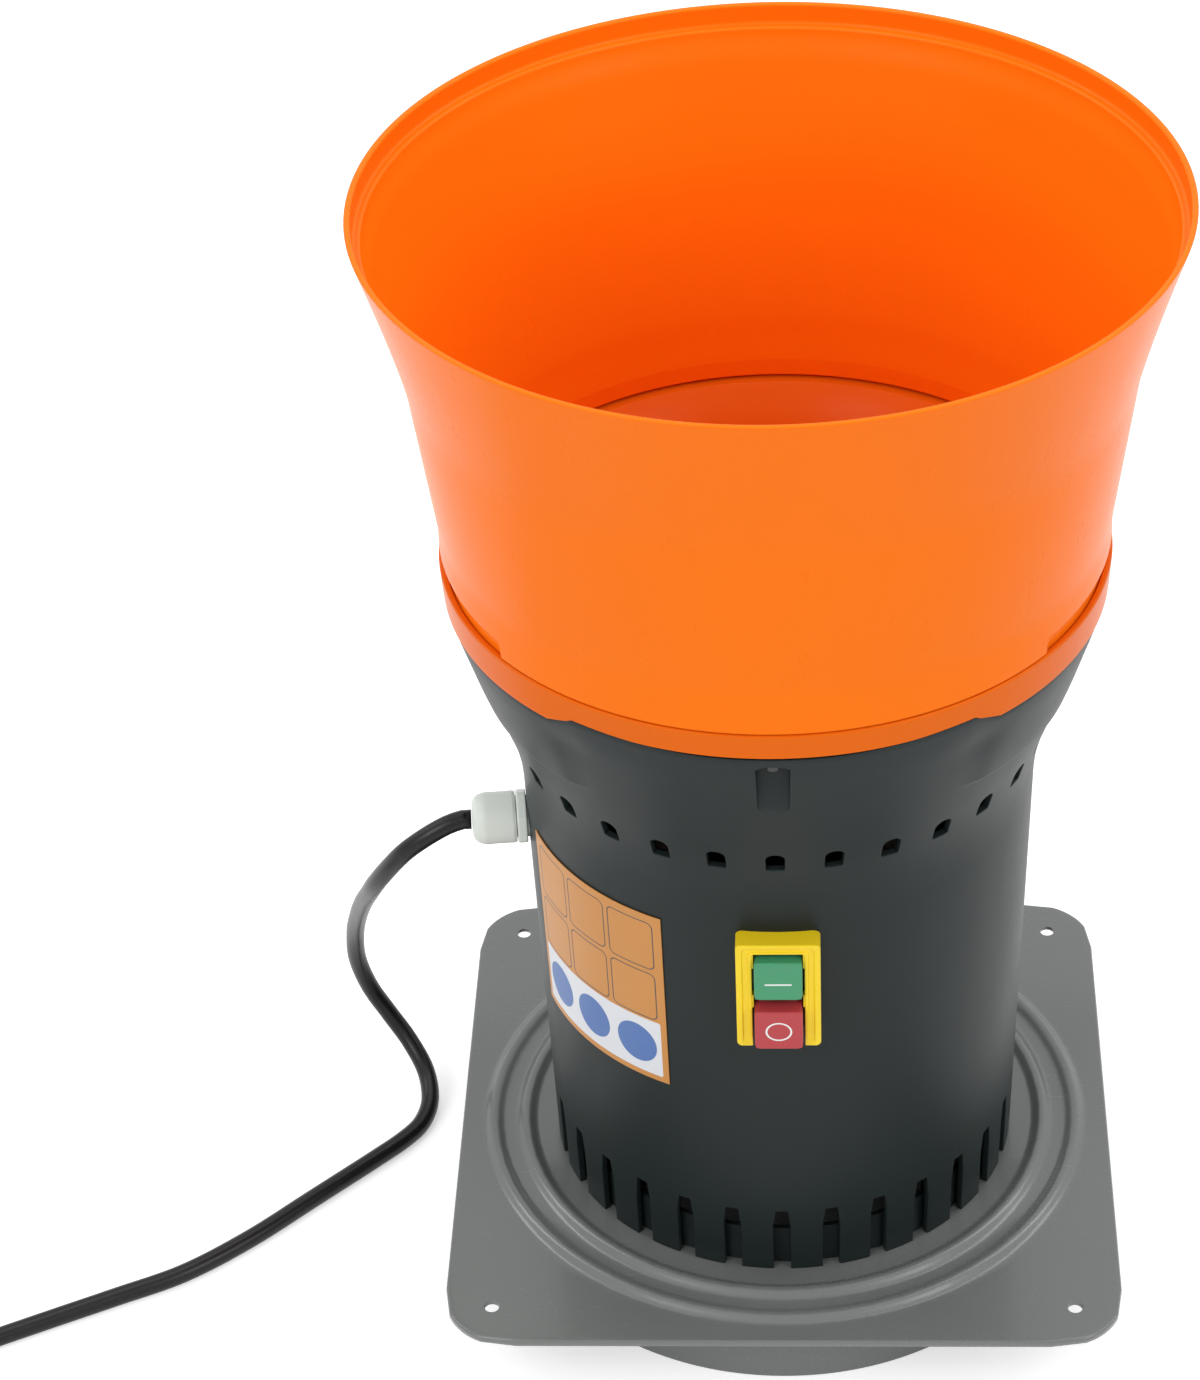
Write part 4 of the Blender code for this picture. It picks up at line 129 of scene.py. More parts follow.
def rounded(corners: Sequence, radii: Sequence | float, steps: int = 4, loop: bool = False) -> Array:
    """Replace the corners of a line by arcs.

    At a corner p, with unit directions u and v to its neighbours and the angle q between
    them, the arc touches the sides r / tan(q / 2) away and its centre is
    p + (u + v) / |u + v| * r / sin(q / 2). The arc turns the start evenly into the end
    about that centre. A point beside each end of an arc keeps the flat sides' shading flat.

    Args:
        corners: The line's corners, two numbers each.
        radii: Radius of each corner, or one for all.
        steps: Steps of each arc.
        loop: Whether the line is closed.

    Returns:
        The rounded line's points, closed by its first point if it is a loop.
    """
    place = np.asarray(corners, float)
    back, ahead = np.roll(place, 1, 0) - place, np.roll(place, -1, 0) - place
    back_reach = np.linalg.norm(back, axis=1, keepdims=True) + 1e-12
    ahead_reach = np.linalg.norm(ahead, axis=1, keepdims=True) + 1e-12
    u, v = back / back_reach, ahead / ahead_reach
    half = np.arccos(np.clip((u * v).sum(1, keepdims=True), -1 + 1e-9, 1 - 1e-9)) / 2
    wanted = np.broadcast_to(np.asarray(radii, float), len(place)).reshape(-1, 1)
    touch = np.minimum(wanted / np.tan(half), 0.42 * np.minimum(back_reach, ahead_reach))
    radius = touch * np.tan(half)
    middle = u + v
    middle = middle / (np.linalg.norm(middle, axis=1, keepdims=True) + 1e-12)
    centre = place + middle * radius / np.sin(half)
    start, end = place + u * touch, place + v * touch
    swing = np.maximum(math.pi - 2 * half, 1e-6)[:, None]
    share = np.linspace(0.0, 1.0, steps + 1)[None, :, None]
    arc = (centre[:, None] + np.sin((1 - share) * swing) / np.sin(swing) * (start - centre)[:, None]
           + np.sin(share * swing) / np.sin(swing) * (end - centre)[:, None])
    lead = (start + u * touch * 0.18)[:, None]
    tail = (end + v * touch * 0.18)[:, None]
    rows = np.concatenate([lead, arc, tail], 1)
    if not loop:
        rows[0], rows[-1] = place[0], place[-1]
    line = rows.reshape(-1, place.shape[1])
    if loop:
        line = np.concatenate([line, line[:1]])
    moved = np.linalg.norm(np.diff(line, axis=0), axis=1) > 1e-7
    return line[np.concatenate([[True], moved])]


def turned(profile: Array, angles: Array) -> Array:
    """Carry a profile of (radius, height) round the mill's axis: row i, column j is profile i at angle j."""
    return around(profile[:, None, 0], angles[None, :], profile[:, None, 1])


def full_turn(count: int) -> Array:
    """Angles of a whole turn, its first one repeated at the end."""
    return np.linspace(0.0, math.tau, count + 1)


def slab_distance(place: Array, half: Sequence[float], low_round: float, high_round: float) -> Array:
    """Distance to a rounded rectangle: |max(q, 0)| + min(max(qx, qy), 0) - r with q = |p| - half + r.

    Args:
        place: Points round the rectangle's centre.
        half: Half of its width and height.
        low_round: Radius of the two lower corners.
        high_round: Radius of the two upper corners.

    Returns:
        Distance of each point, negative inside.
    """
    radius = np.where(place[..., 1] > 0, high_round, low_round)
    q = np.abs(place) - np.asarray(half) + radius[..., None]
    outside = np.linalg.norm(np.maximum(q, 0.0), axis=-1)
    return outside + np.minimum(q.max(-1), 0.0) - radius


def star_outline(towards: Array, distance: Callable[[Array], Array]) -> tuple[Array, Array]:
    """Points where rays from the centre leave a shape, found by halving.

    Args:
        towards: A point outside the shape on each ray.
        distance: The shape's distance function.

    Returns:
        The outline's points, and its outward directions there.
    """
    low, high = np.zeros(len(towards)), np.ones(len(towards))
    for _ in range(40):
        middle = (low + high) / 2
        inside = distance(towards * middle[:, None]) < 0
        low, high = np.where(inside, middle, low), np.where(inside, high, middle)
    line = towards * ((low + high) / 2)[:, None]
    step = 1e-5
    slope = np.stack([distance(line + [step, 0]) - distance(line - [step, 0]),
                      distance(line + [0, step]) - distance(line - [0, step])], -1)
    return line, slope / (np.linalg.norm(slope, axis=1, keepdims=True) + 1e-12)


def smooth_route(points: Sequence, spacing: float) -> Array:
    """Catmull-Rom curve through points, spread evenly along its length.

    Between points b and c, with a before and d after, a point is half of
    2b + (c - a) t + (2a - 5b + 4c - d) t^2 + (3b - a - 3c + d) t^3.

    Args:
        points: Points of the route.
        spacing: Distance between the points returned.

    Returns:
        Points along the curve.
    """
    knots = np.asarray(points, float)
    padded = np.concatenate([[2 * knots[0] - knots[1]], knots, [2 * knots[-1] - knots[-2]]])
    a, b, c, d = (padded[i:len(padded) - 3 + i, None] for i in range(4))
    t = np.linspace(0.0, 1.0, 24, endpoint=False)[None, :, None]
    fine = 0.5 * (2 * b + (c - a) * t + (2 * a - 5 * b + 4 * c - d) * t ** 2
                  + (3 * b - a - 3 * c + d) * t ** 3)
    fine = np.concatenate([fine.reshape(-1, 3), knots[-1:]])
    along = reach_along(fine)
    wanted = np.linspace(0.0, along[-1], max(2, round(along[-1] / spacing)) + 1)
    return np.stack([np.interp(wanted, along, fine[:, axis]) for axis in range(3)], -1)


class Skin:
    """Grids of points that become the faces of one piece."""

    def __init__(self) -> None:
        """Start with no grid."""
        self._points: list[Array] = []
        self._faces: list[Array] = []
        self._prints: list[Array] = []
        self._count = 0

    def grid(self, points: Array, flip: bool = False, prints: Array | None = None) -> "Skin":
        """Add a grid whose faces look along (next column) x (next row).

        Args:
            points: Rows by columns of points; a closed direction repeats its first line.
            flip: Whether the faces look the other way.
            prints: Rows by columns of the piece's own map, in its own units.

        Returns:
            This skin, so that calls can follow each other.
        """
        rows, columns = points.shape[:2]
        i, j = np.meshgrid(np.arange(rows - 1), np.arange(columns - 1), indexing="ij")
        corner = (i * columns + j).reshape(-1)
        faces = np.stack([corner, corner + 1, corner + columns + 1, corner + columns], -1)
        if flip:
            faces = faces[:, ::-1]
        self._faces.append(faces + self._count)
        self._points.append(points.reshape(-1, 3))
        flat = np.zeros((rows * columns, 2)) if prints is None else prints.reshape(-1, 2)
        self._prints.append(flat)
        self._count += rows * columns
        return self

    def fan(self, ring: Array, tip: Array, flip: bool = False) -> "Skin":
        """Close a ring by faces that meet in one point."""
        return self.grid(np.stack([ring, np.broadcast_to(tip, ring.shape)]), flip=flip)

    def placed(self, place: Matrix) -> "Skin":
        """Move every grid added so far."""
        turn, shift = np.array(place.to_3x3()), np.array(place.translation)
        self._points = [points @ turn.T + shift for points in self._points]
        return self

    def mesh(self, name: str, weld: float = 2e-6) -> bpy.types.Mesh:
        """Turn the grids into one mesh, with the points that meet made one."""
        mesh = bpy.data.meshes.new(name)
        faces = np.concatenate(self._faces)
        mesh.from_pydata(np.concatenate(self._points), [], faces)
        layer = mesh.uv_layers.new(name="own_map")
        prints = np.concatenate(self._prints)[faces.reshape(-1)]
        layer.data.foreach_set("uv", prints.astype(np.float32).ravel())
        form = bmesh.new()
        form.from_mesh(mesh)
        bmesh.ops.remove_doubles(form, verts=form.verts, dist=weld)
        bmesh.ops.dissolve_degenerate(form, edges=form.edges, dist=1e-7)
        form.to_mesh(mesh)
        form.free()
        mesh.shade_smooth()
        return mesh


# Shader maths.

def operator(operation: str, swapped: bool = False) -> Callable:
    """Make a method of Signal that joins it to another value by a Math node.

    Args:
        operation: The node's operation.
        swapped: Whether the other value comes first.

    Returns:
        The method.
    """
    def method(self: "Signal", other: "Signal | float") -> "Signal":
        """Join this signal and another value."""
        return self.by_node(operation, *((other, self) if swapped else (self, other)))
    return method


class Signal:
    """A number on its way through a material, with Python's operators."""

    __add__ = __radd__ = operator("ADD")
    __sub__ = operator("SUBTRACT")
    __rsub__ = operator("SUBTRACT", swapped=True)
    __mul__ = __rmul__ = operator("MULTIPLY")
    at_least = operator("MAXIMUM")
    at_most = operator("MINIMUM")

    def __init__(self, bench: "Bench", socket: Socket) -> None:
        """Wrap a socket of the bench's material."""
        self.bench = bench
        self.socket = socket

    def by_node(self, operation: str, *values: "Signal | float", clamp: bool = False) -> "Signal":
        """Add a Math node."""
        node = self.bench.add("ShaderNodeMath", {"operation": operation, "use_clamp": clamp},
                              dict(enumerate(values)))
        return Signal(self.bench, node.outputs[0])

    def __abs__(self) -> "Signal":
        """Size without sign."""
        return self.by_node("ABSOLUTE", self)

    def wave(self) -> "Signal":
        """Sine."""
        return self.by_node("SINE", self)

    def root(self) -> "Signal":
        """Square root."""
        return self.by_node("SQRT", self)

    def above(self, edge: float, width: float) -> "Signal":
        """0 below an edge and 1 above it, over a width."""
        return self.by_node("MULTIPLY", self - (edge - width / 2), 1.0 / width, clamp=True)

    def below(self, edge: float, width: float) -> "Signal":
        """1 below an edge and 0 above it, over a width."""
        return 1.0 - self.above(edge, width)


Colour = Triple


class Bench:
    """The nodes of one material, or of the world."""

    def __init__(self, owner: bpy.types.Material | bpy.types.World) -> None:
        """Start with the owner's plain shader."""
        owner.use_nodes = True
        self.owner, self.tree = owner, owner.node_tree
        plain = "Background" if isinstance(owner, bpy.types.World) else "Principled BSDF"
        self.shader = self.tree.nodes[plain]

    def feed(self, node: bpy.types.Node, sockets: dict) -> None:
        """Set or link a node's sockets, by name or number."""
        for key, value in sockets.items():
            source = value.socket if isinstance(value, Signal) else value
            if isinstance(source, Socket):
                self.tree.links.new(source, node.inputs[key])
            else:
                node.inputs[key].default_value = source

    def add(self, kind: str, settings: dict | None = None,
            sockets: dict | None = None) -> bpy.types.Node:
        """Add any node.

        Args:
            kind: The node's type.
            settings: Its properties, set first; "stops" are a ramp's places and colours.
            sockets: Values or signals for its sockets, by name or number.

        Returns:
            The node.
        """
        node = self.tree.nodes.new(kind)
        for key, value in (settings or {}).items():
            if key == "stops":
                ramp = node.color_ramp
                while len(ramp.elements) < len(value):
                    ramp.elements.new(0.5)
                for element, (place, colour) in zip(ramp.elements, value):
                    element.position, element.color = place, colour
            else:
                setattr(node, key, value)
        self.feed(node, sockets or {})
        return node

    def stretched(self, source: Socket, scale: Sequence[float]) -> Socket:
        """A vector stretched by a scale."""
        return self.add("ShaderNodeMapping", None, {"Vector": source, "Scale": scale}).outputs[0]

    def place(self, scale: Sequence[float] = (1.0, 1.0, 1.0)) -> Socket:
        """Object coordinates, stretched by a scale."""
        return self.stretched(self.add("ShaderNodeTexCoord").outputs["Object"], scale)

    def own_map(self, scale: Sequence[float] = (1.0, 1.0, 1.0)) -> Socket:
        """The piece's own map, stretched by a scale."""
        return self.stretched(self.add("ShaderNodeUVMap", {"uv_map": "own_map"}).outputs[0], scale)

    def axes(self, vector: Socket) -> tuple[Signal, Signal, Signal]:
        """The three numbers of a vector."""
        node = self.add("ShaderNodeSeparateXYZ", None, {0: vector})
        return tuple(Signal(self, output) for output in node.outputs)

    def noise(self, vector: Socket, scale: float, detail: float = 2.0,
              rough: float = 0.5) -> Signal:
        """Smooth noise from 0 to 1."""
        node = self.add("ShaderNodeTexNoise", None, {"Vector": vector, "Scale": scale,
                                                     "Detail": detail, "Roughness": rough})
        return Signal(self, node.outputs[0])

    def cells(self, vector: Socket, scale: float) -> Signal:
        """Distance to the nearest of scattered points."""
        node = self.add("ShaderNodeTexVoronoi", None, {"Vector": vector, "Scale": scale})
        return Signal(self, node.outputs[0])

    def blend(self, factor: Signal, first: Colour | Socket,
              second: Colour | Socket) -> Socket:
        """First colour where the factor is 0, second where it is 1."""
        full = [(*value, 1.0) if isinstance(value, tuple) else value for value in (first, second)]
        node = self.add("ShaderNodeMix", {"data_type": "RGBA"}, {0: factor, 6: full[0], 7: full[1]})
        return node.outputs[2]

    def tone(self, colour: Colour, amount: Signal, spread: float) -> Socket:
        """A colour darkened and lightened by a spread as an amount goes from 0 to 1."""
        return self.blend(amount, tuple(c * (1 - spread) for c in colour),
                          tuple(min(c * (1 + spread), 1.0) for c in colour))

    def bump(self, height: Signal, depth: float, strength: float = 1.0,
             under: Socket | None = None) -> Socket:
        """A normal bent by a height, of a depth in metres."""
        sockets = {"Height": height, "Distance": depth, "Strength": strength}
        if under is not None:
            sockets["Normal"] = under
        return self.add("ShaderNodeBump", None, sockets).outputs[0]

    def finish(self, colour: Socket, roughness: Signal | float,
               normal: Socket | None = None, metallic: float = 0.0,
               coat: float = 0.0, coat_roughness: float = 0.1,
               specular: float = 0.5) -> bpy.types.Material:
        """Feed the Principled shader.

        Args:
            colour: Socket of the colour.
            roughness: Roughness or its signal.
            normal: Bent normal.
            metallic: 1 for bare metal.
            coat: Weight of a clear coat.
            coat_roughness: Its roughness.
            specular: Level of the base's reflections.

        Returns:
            The finished material.
        """
        self.feed(self.shader, {"Base Color": colour, "Roughness": roughness, "Metallic": metallic,
                                "Coat Weight": coat, "Coat Roughness": coat_roughness,
                                "Specular IOR Level": specular})
        if normal is not None:
            self.feed(self.shader, {"Normal": normal})
        return self.owner


@dataclass(frozen=True)
class Finish:
    """What every finish has."""

    name: str
    colour: Colour
    roughness: float

    def material(self) -> bpy.types.Material:
        """The finish's material, made once."""
        made = bpy.data.materials.get(self.name)
        return made or self.build(Bench(bpy.data.materials.new(self.name)))

    def build(self, bench: Bench) -> bpy.types.Material:
        """Make the nodes."""
        raise NotImplementedError


@dataclass(frozen=True)
class MouldedPlastic(Finish):
    """Moulded plastic: faint flow marks, a fine skin and light rubbing."""

    grain: float = 0.7 * MM
    grain_depth: float = 0.012 * MM
    drift: float = 0.04
    rubbing: float = 0.06
    specular: float = 0.5
    cloud_scale: float = 9.0
    flow_scale: float = 42.0
    speck_scale: float = 1400.0
    rub_scale: float = 60.0

    def build(self, bench: Bench) -> bpy.types.Material:
        """Clouds tint it, long noise rubs it and fine noise bends its normal."""
        place = bench.place()
        cloud = bench.noise(place, self.cloud_scale, 3.0)
        flow = bench.noise(bench.place((1.0, 1.0, 0.12)), self.flow_scale, 4.0, 0.6)
        skin = bench.noise(place, 1.0 / self.grain, 2.0)
        specks = bench.noise(place, self.speck_scale, 0.0).above(0.76, 0.05)
        amount = cloud * 0.6 + flow * 0.25 + skin * 0.15
        colour = bench.tone(self.colour, amount, self.drift * 2)
        colour = bench.blend(specks * 0.12, colour, tuple(min(1.0, c * 1.6 + 0.02) for c in self.colour))
        rub = bench.noise(bench.place((1.0, 1.0, 0.35)), self.rub_scale, 5.0, 0.65)
        roughness = (self.roughness - self.rubbing) + (rub * 0.6 + cloud * 0.4) * (self.rubbing * 2)
        normal = bench.bump(skin, self.grain_depth)
        normal = bench.bump(cloud, 0.25 * MM, 0.5, normal)
        return bench.finish(colour, roughness, normal, specular=self.specular)


@dataclass(frozen=True)
class PaintedSteel(Finish):
    """Baked paint on pressed steel, with orange peel and faint handling marks."""

    peel: float = 2.2 * MM
    peel_depth: float = 0.02 * MM
    coat: float = 0.35
    coat_roughness: float = 0.12
    cloud_scale: float = 6.0
    grit_scale: float = 2600.0
    grit_depth: float = 0.004 * MM
    mark_scale: float = 30.0

    def build(self, bench: Bench) -> bpy.types.Material:
        """Two sizes of noise make the peel, long thin noise the marks."""
        place = bench.place()
        cloud = bench.noise(place, self.cloud_scale, 3.0)
        peel = bench.noise(place, 1.0 / self.peel, 2.0)
        grit = bench.noise(place, self.grit_scale, 1.0)
        marks = bench.noise(bench.place((1.0, 14.0, 1.0)), self.mark_scale, 6.0, 0.7).above(0.66, 0.1)
        colour = bench.tone(self.colour, cloud * 0.55 + grit * 0.45, 0.1)
        colour = bench.blend(marks * 0.05, colour, tuple(c * 1.25 for c in self.colour))
        roughness = (self.roughness - 0.04) + cloud * 0.06 + peel * 0.03 + marks * 0.02
        normal = bench.bump(peel, self.peel_depth)
        normal = bench.bump(grit, self.grit_depth, 0.6, normal)
        return bench.finish(colour, roughness, normal, coat=self.coat, coat_roughness=self.coat_roughness)


@dataclass(frozen=True)
class BareMetal(Finish):
    """Turned, ground or cast metal."""

    metallic: float = 1.0
    stretch: Triple = (1.0, 1.0, 30.0)
    streak_depth: float = 0.006 * MM
    pits: float = 0.0
    pit_depth: float = 0.08 * MM
    pit_scale: float = 900.0
    stain_scale: float = 25.0
    line_scale: float = 120.0
    grain_scale: float = 1600.0

    def build(self, bench: Bench) -> bpy.types.Material:
        """Stretched noise makes tool marks, clouds make stains and small cells the pits of a casting."""
        place = bench.place()
        cloud = bench.noise(place, self.stain_scale, 4.0)
        lines = bench.noise(bench.place(self.stretch), self.line_scale, 4.0, 0.6)
        grain = bench.noise(place, self.grain_scale, 1.0)
        colour = bench.tone(self.colour, cloud * 0.5 + lines * 0.3 + grain * 0.2, 0.16)
        roughness = (self.roughness - 0.08) + cloud * 0.1 + lines * 0.08
        height = lines * (1.0 - self.pits) + bench.cells(place, self.pit_scale) * self.pits
        normal = bench.bump(height, self.streak_depth + self.pits * self.pit_depth)
        return bench.finish(colour, roughness, normal, metallic=self.metallic)


@dataclass(frozen=True)
class StackedSheets(Finish):
    """Iron sheets of a motor core, stacked along Z."""

    sheet: float = 0.5 * MM
    edge_depth: float = 0.08 * MM
    stain_scale: float = 70.0

    def build(self, bench: Bench) -> bpy.types.Material:
        """A sine along the height makes the sheets' edges, and noise their varnish."""
        place = bench.place()
        edge = (bench.axes(place)[2] * (math.tau / self.sheet)).wave() * 0.5 + 0.5
        stain = bench.noise(place, self.stain_scale, 4.0)
        colour = bench.tone(self.colour, edge * 0.5 + stain * 0.5, 0.35)
        roughness = (self.roughness - 0.1) + stain * 0.2
        return bench.finish(colour, roughness, bench.bump(edge, self.edge_depth), metallic=0.8)


@dataclass(frozen=True)
class WoundWire(Finish):
    """Turns of lacquered wire."""

    wire: float = 0.9 * MM
    wire_depth: float = 0.35 * MM
    sway: float = 14.0
    sway_scale: float = 60.0

    def build(self, bench: Bench) -> bpy.types.Material:
        """A sine across the height, shifted by noise, makes the wires, and the same sine paints shade
        between the turns and a highlight on their crowns.
        """
        place = bench.place()
        sway = bench.noise(place, self.sway_scale, 2.0)
        height = bench.axes(place)[2]
        strand = ((height * (math.tau / self.wire)) + sway * self.sway).wave() * 0.5 + 0.5
        # Painted shade between the turns and painted highlight on their crowns, with a random tone from the
        # sway.
        colour = bench.tone(self.colour, strand * 0.7 + sway * 0.3, 0.45)
        roughness = (self.roughness - 0.05) + sway * 0.15
        return bench.finish(colour, roughness, bench.bump(strand, self.wire_depth), metallic=0.85)


@dataclass(frozen=True)
class CordSheath(Finish):
    """Extruded rubber sheath: fine lines along the cord's own map, and dull patches."""

    line_map: Triple = (4.0, 900.0, 1.0)
    line_depth: float = 0.05 * MM
    patch_map: Triple = (28.0, 60.0, 1.0)
    dust_scale: float = 700.0
    dust: Colour = (0.10, 0.10, 0.10)

    def build(self, bench: Bench) -> bpy.types.Material:
        """The map runs along the cord in x and round it in y, both in metres."""
        lines = bench.noise(bench.own_map(self.line_map), 1.0, 3.0, 0.6)
        patches = bench.noise(bench.own_map(self.patch_map), 1.0, 3.0)
        dust = bench.noise(bench.place(), self.dust_scale, 2.0).above(0.66, 0.12)
        colour = bench.tone(self.colour, lines * 0.6 + patches * 0.4, 0.4)
        colour = bench.blend(dust * 0.1, colour, self.dust)
        roughness = (self.roughness - 0.08) + lines * 0.1 + patches * 0.12
        return bench.finish(colour, roughness, bench.bump(lines, self.line_depth), specular=0.3)


@dataclass(frozen=True)
class PrintedFilm(Finish):
    """Plain printed film: empty framed fields over a pale band with three discs.

    Its own map is in millimetres from the film's lower left corner.
    """

    width: float = 92.0
    height: float = 103.0
    band: float = 34.0
    ink: Colour = (0.055, 0.045, 0.04)
    pale: Colour = (0.70, 0.72, 0.76)
    disc: Colour = (0.07, 0.16, 0.42)
    disc_radius: float = 11.6
    margin: float = 3.2
    band_corner: float = 1.2
    field_gap: float = 1.5
    field_corner: float = 3.2
    half_line: float = 0.32
    soft: float = 0.25
    fade_scale: float = 35.0
    grain_scale: float = 1500.0
    scuff_scale: float = 55.0

    def _frame(self, x: Signal, y: Signal, centre: Pair, half: Pair,
               radius: float) -> Signal:
        """Distance to a rounded rectangle, as the length of what of |p| - half + r is positive, less r."""
        across = (abs(x - centre[0]) - (half[0] - radius)).at_least(0.0)
        up = (abs(y - centre[1]) - (half[1] - radius)).at_least(0.0)
        return (across * across + up * up).root() - radius

    def build(self, bench: Bench) -> bpy.types.Material:
        """Distances to frames and discs choose between the inks."""
        x, y, _ = bench.axes(bench.own_map())
        fade = bench.noise(bench.place(), self.fade_scale, 3.0)
        grain = bench.noise(bench.place(), self.grain_scale, 1.0)
        base = bench.tone(self.colour, fade * 0.6 + grain * 0.4, 0.1)
        margin = self.margin
        band_top = self.band + margin
        inside = self._frame(x, y, (self.width / 2, (band_top + margin) / 2),
                             (self.width / 2 - margin, self.band / 2), self.band_corner)
        colour = bench.blend(inside.below(0.0, self.soft), base, self.pale)
        cell_x = (self.width - 2 * margin) / 3
        cell_y = (self.height - band_top - margin) / 2
        outline = None
        for column in range(3):
            for row in range(2):
                centre = (margin + cell_x * (column + 0.5), band_top + cell_y * (row + 0.5))
                half = (cell_x / 2 - self.field_gap, cell_y / 2 - self.field_gap)
                edge = abs(self._frame(x, y, centre, half, self.field_corner))
                outline = edge if outline is None else outline.at_most(edge)
        colour = bench.blend(outline.below(self.half_line, 0.2), colour, self.ink)
        for column in range(3):
            centre_x = margin + cell_x * (column + 0.5)
            gap_x, gap_y = x - centre_x, y - (margin + self.band / 2)
            reach = (gap_x * gap_x + gap_y * gap_y).root()
            colour = bench.blend(reach.below(self.disc_radius, self.soft), colour, self.disc)
        scuff = bench.noise(bench.place((1.0, 1.0, 6.0)), self.scuff_scale, 5.0, 0.7)
        roughness = (self.roughness - 0.06) + scuff * 0.16
        return bench.finish(colour, roughness, bench.bump(fade, 0.15 * MM))


ORANGE = MouldedPlastic("moulded_orange", (0.93, 0.178, 0.004), 0.28, specular=0.08, drift=0.02,
                        rubbing=0.04, grain_depth=0.006 * MM)
# Darker copy of the same orange plastic for the funnel ring: painted shade on its band, which faces a little
# downward, and inside the funnel.
SHADED_RING_ORANGE = MouldedPlastic("moulded_orange_painted_shade", (0.75, 0.134, 0.004), 0.30, specular=0.08, drift=0.02,
                             rubbing=0.04, grain_depth=0.006 * MM)
CHARCOAL = MouldedPlastic("moulded_charcoal", (0.0120, 0.0178, 0.0176), 0.42, specular=0.18, drift=0.06,
                          grain=0.45 * MM, grain_depth=0.03 * MM)
GREY_PAINT = PaintedSteel("baked_grey_paint", (0.142, 0.152, 0.147), 0.26)
BRIGHT_STEEL = BareMetal("bright_steel_turned", (0.56, 0.56, 0.57), 0.34)
FLAT_STEEL = BareMetal("bright_steel_rolled", (0.58, 0.58, 0.59), 0.36, stretch=(30.0, 1.0, 1.0))
# Near-black steel for the two ring screws, darker than the other steel parts.
DARK_STEEL = BareMetal("dark_screw_steel", (0.06, 0.06, 0.062), 0.45, metallic=0.8)
MOTOR_IRON = StackedSheets("motor_sheet_stack", (0.17, 0.17, 0.18), 0.5)
CAST_ALUMINIUM = BareMetal("cast_aluminium_bell", (0.56, 0.57, 0.58), 0.5, metallic=0.9,
                           stretch=(1.0, 1.0, 1.0), pits=0.5)
DRAWN_CAN = BareMetal("drawn_aluminium_can", (0.62, 0.63, 0.64), 0.38, stretch=(8.0, 8.0, 1.0))
COPPER = WoundWire("lacquered_copper", (0.55, 0.20, 0.08), 0.38)
YELLOW = MouldedPlastic("moulded_yellow", (0.88, 0.635, 0.012), 0.34, specular=0.4, drift=0.03)
GREEN = MouldedPlastic("moulded_green", (0.050, 0.29, 0.14), 0.36, specular=0.4, drift=0.03)
RED = MouldedPlastic("moulded_red", (0.44, 0.042, 0.050), 0.36, specular=0.4, drift=0.03)
WHITE_MARK = MouldedPlastic("white_inlay", (0.80, 0.82, 0.80), 0.45, drift=0.02, rubbing=0.03)
BLACK = MouldedPlastic("moulded_black", (0.018, 0.018, 0.020), 0.48, specular=0.35, grain=0.5 * MM,
                       grain_depth=0.02 * MM)
NYLON = MouldedPlastic("pale_nylon", (0.71, 0.755, 0.705), 0.40, specular=0.4, drift=0.03,
                       grain_depth=0.01 * MM)
SEAL_RUBBER = MouldedPlastic("seal_rubber", (0.016, 0.016, 0.017), 0.6, specular=0.3)
CORD_RUBBER = CordSheath("cord_sheath", (0.006, 0.006, 0.0065), 0.30)
PLAIN_FILM = PrintedFilm("printed_film", (0.56, 0.235, 0.045), 0.38)


class Body(Enum):
    """Bodies of the frame that a piece rides on."""

    MILL = "mill"
    SHUTTER = "shutter"
    START = "start_key"
    STOP = "stop_key"
    HOPPER = "hopper"


def linked(name: str, data: bpy.types.ID) -> bpy.types.Object:
    """Make an object and link it into the scene."""
    made = bpy.data.objects.new(name, data)
    bpy.context.scene.collection.objects.link(made)
    return made


def put(skin: Skin, name: str, finish: Finish, body: Body,
        stands_for: Sequence[str] = (), sharp: float | None = None) -> bpy.types.Object:
    """Make a piece, dress it, and let it ride on a body.

    Args:
        skin: The piece's grids.
        name: Name of the piece.
        finish: What it is made of.
        body: What it moves with.
        stands_for: Nodes that it replaces.
        sharp: Angle in degrees past which an edge stays sharp.

    Returns:
        The piece.
    """
    mesh = skin.mesh(name)
    if sharp is not None:
        mesh.set_sharp_from_angle(angle=math.radians(sharp))
    mesh.materials.append(finish.material())
    piece = linked(name, mesh)
    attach(piece, body.value)
    if stands_for:
        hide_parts(*stands_for)
    LOG.info("%s: %d faces on %s", name, len(mesh.polygons), body.value)
    return piece


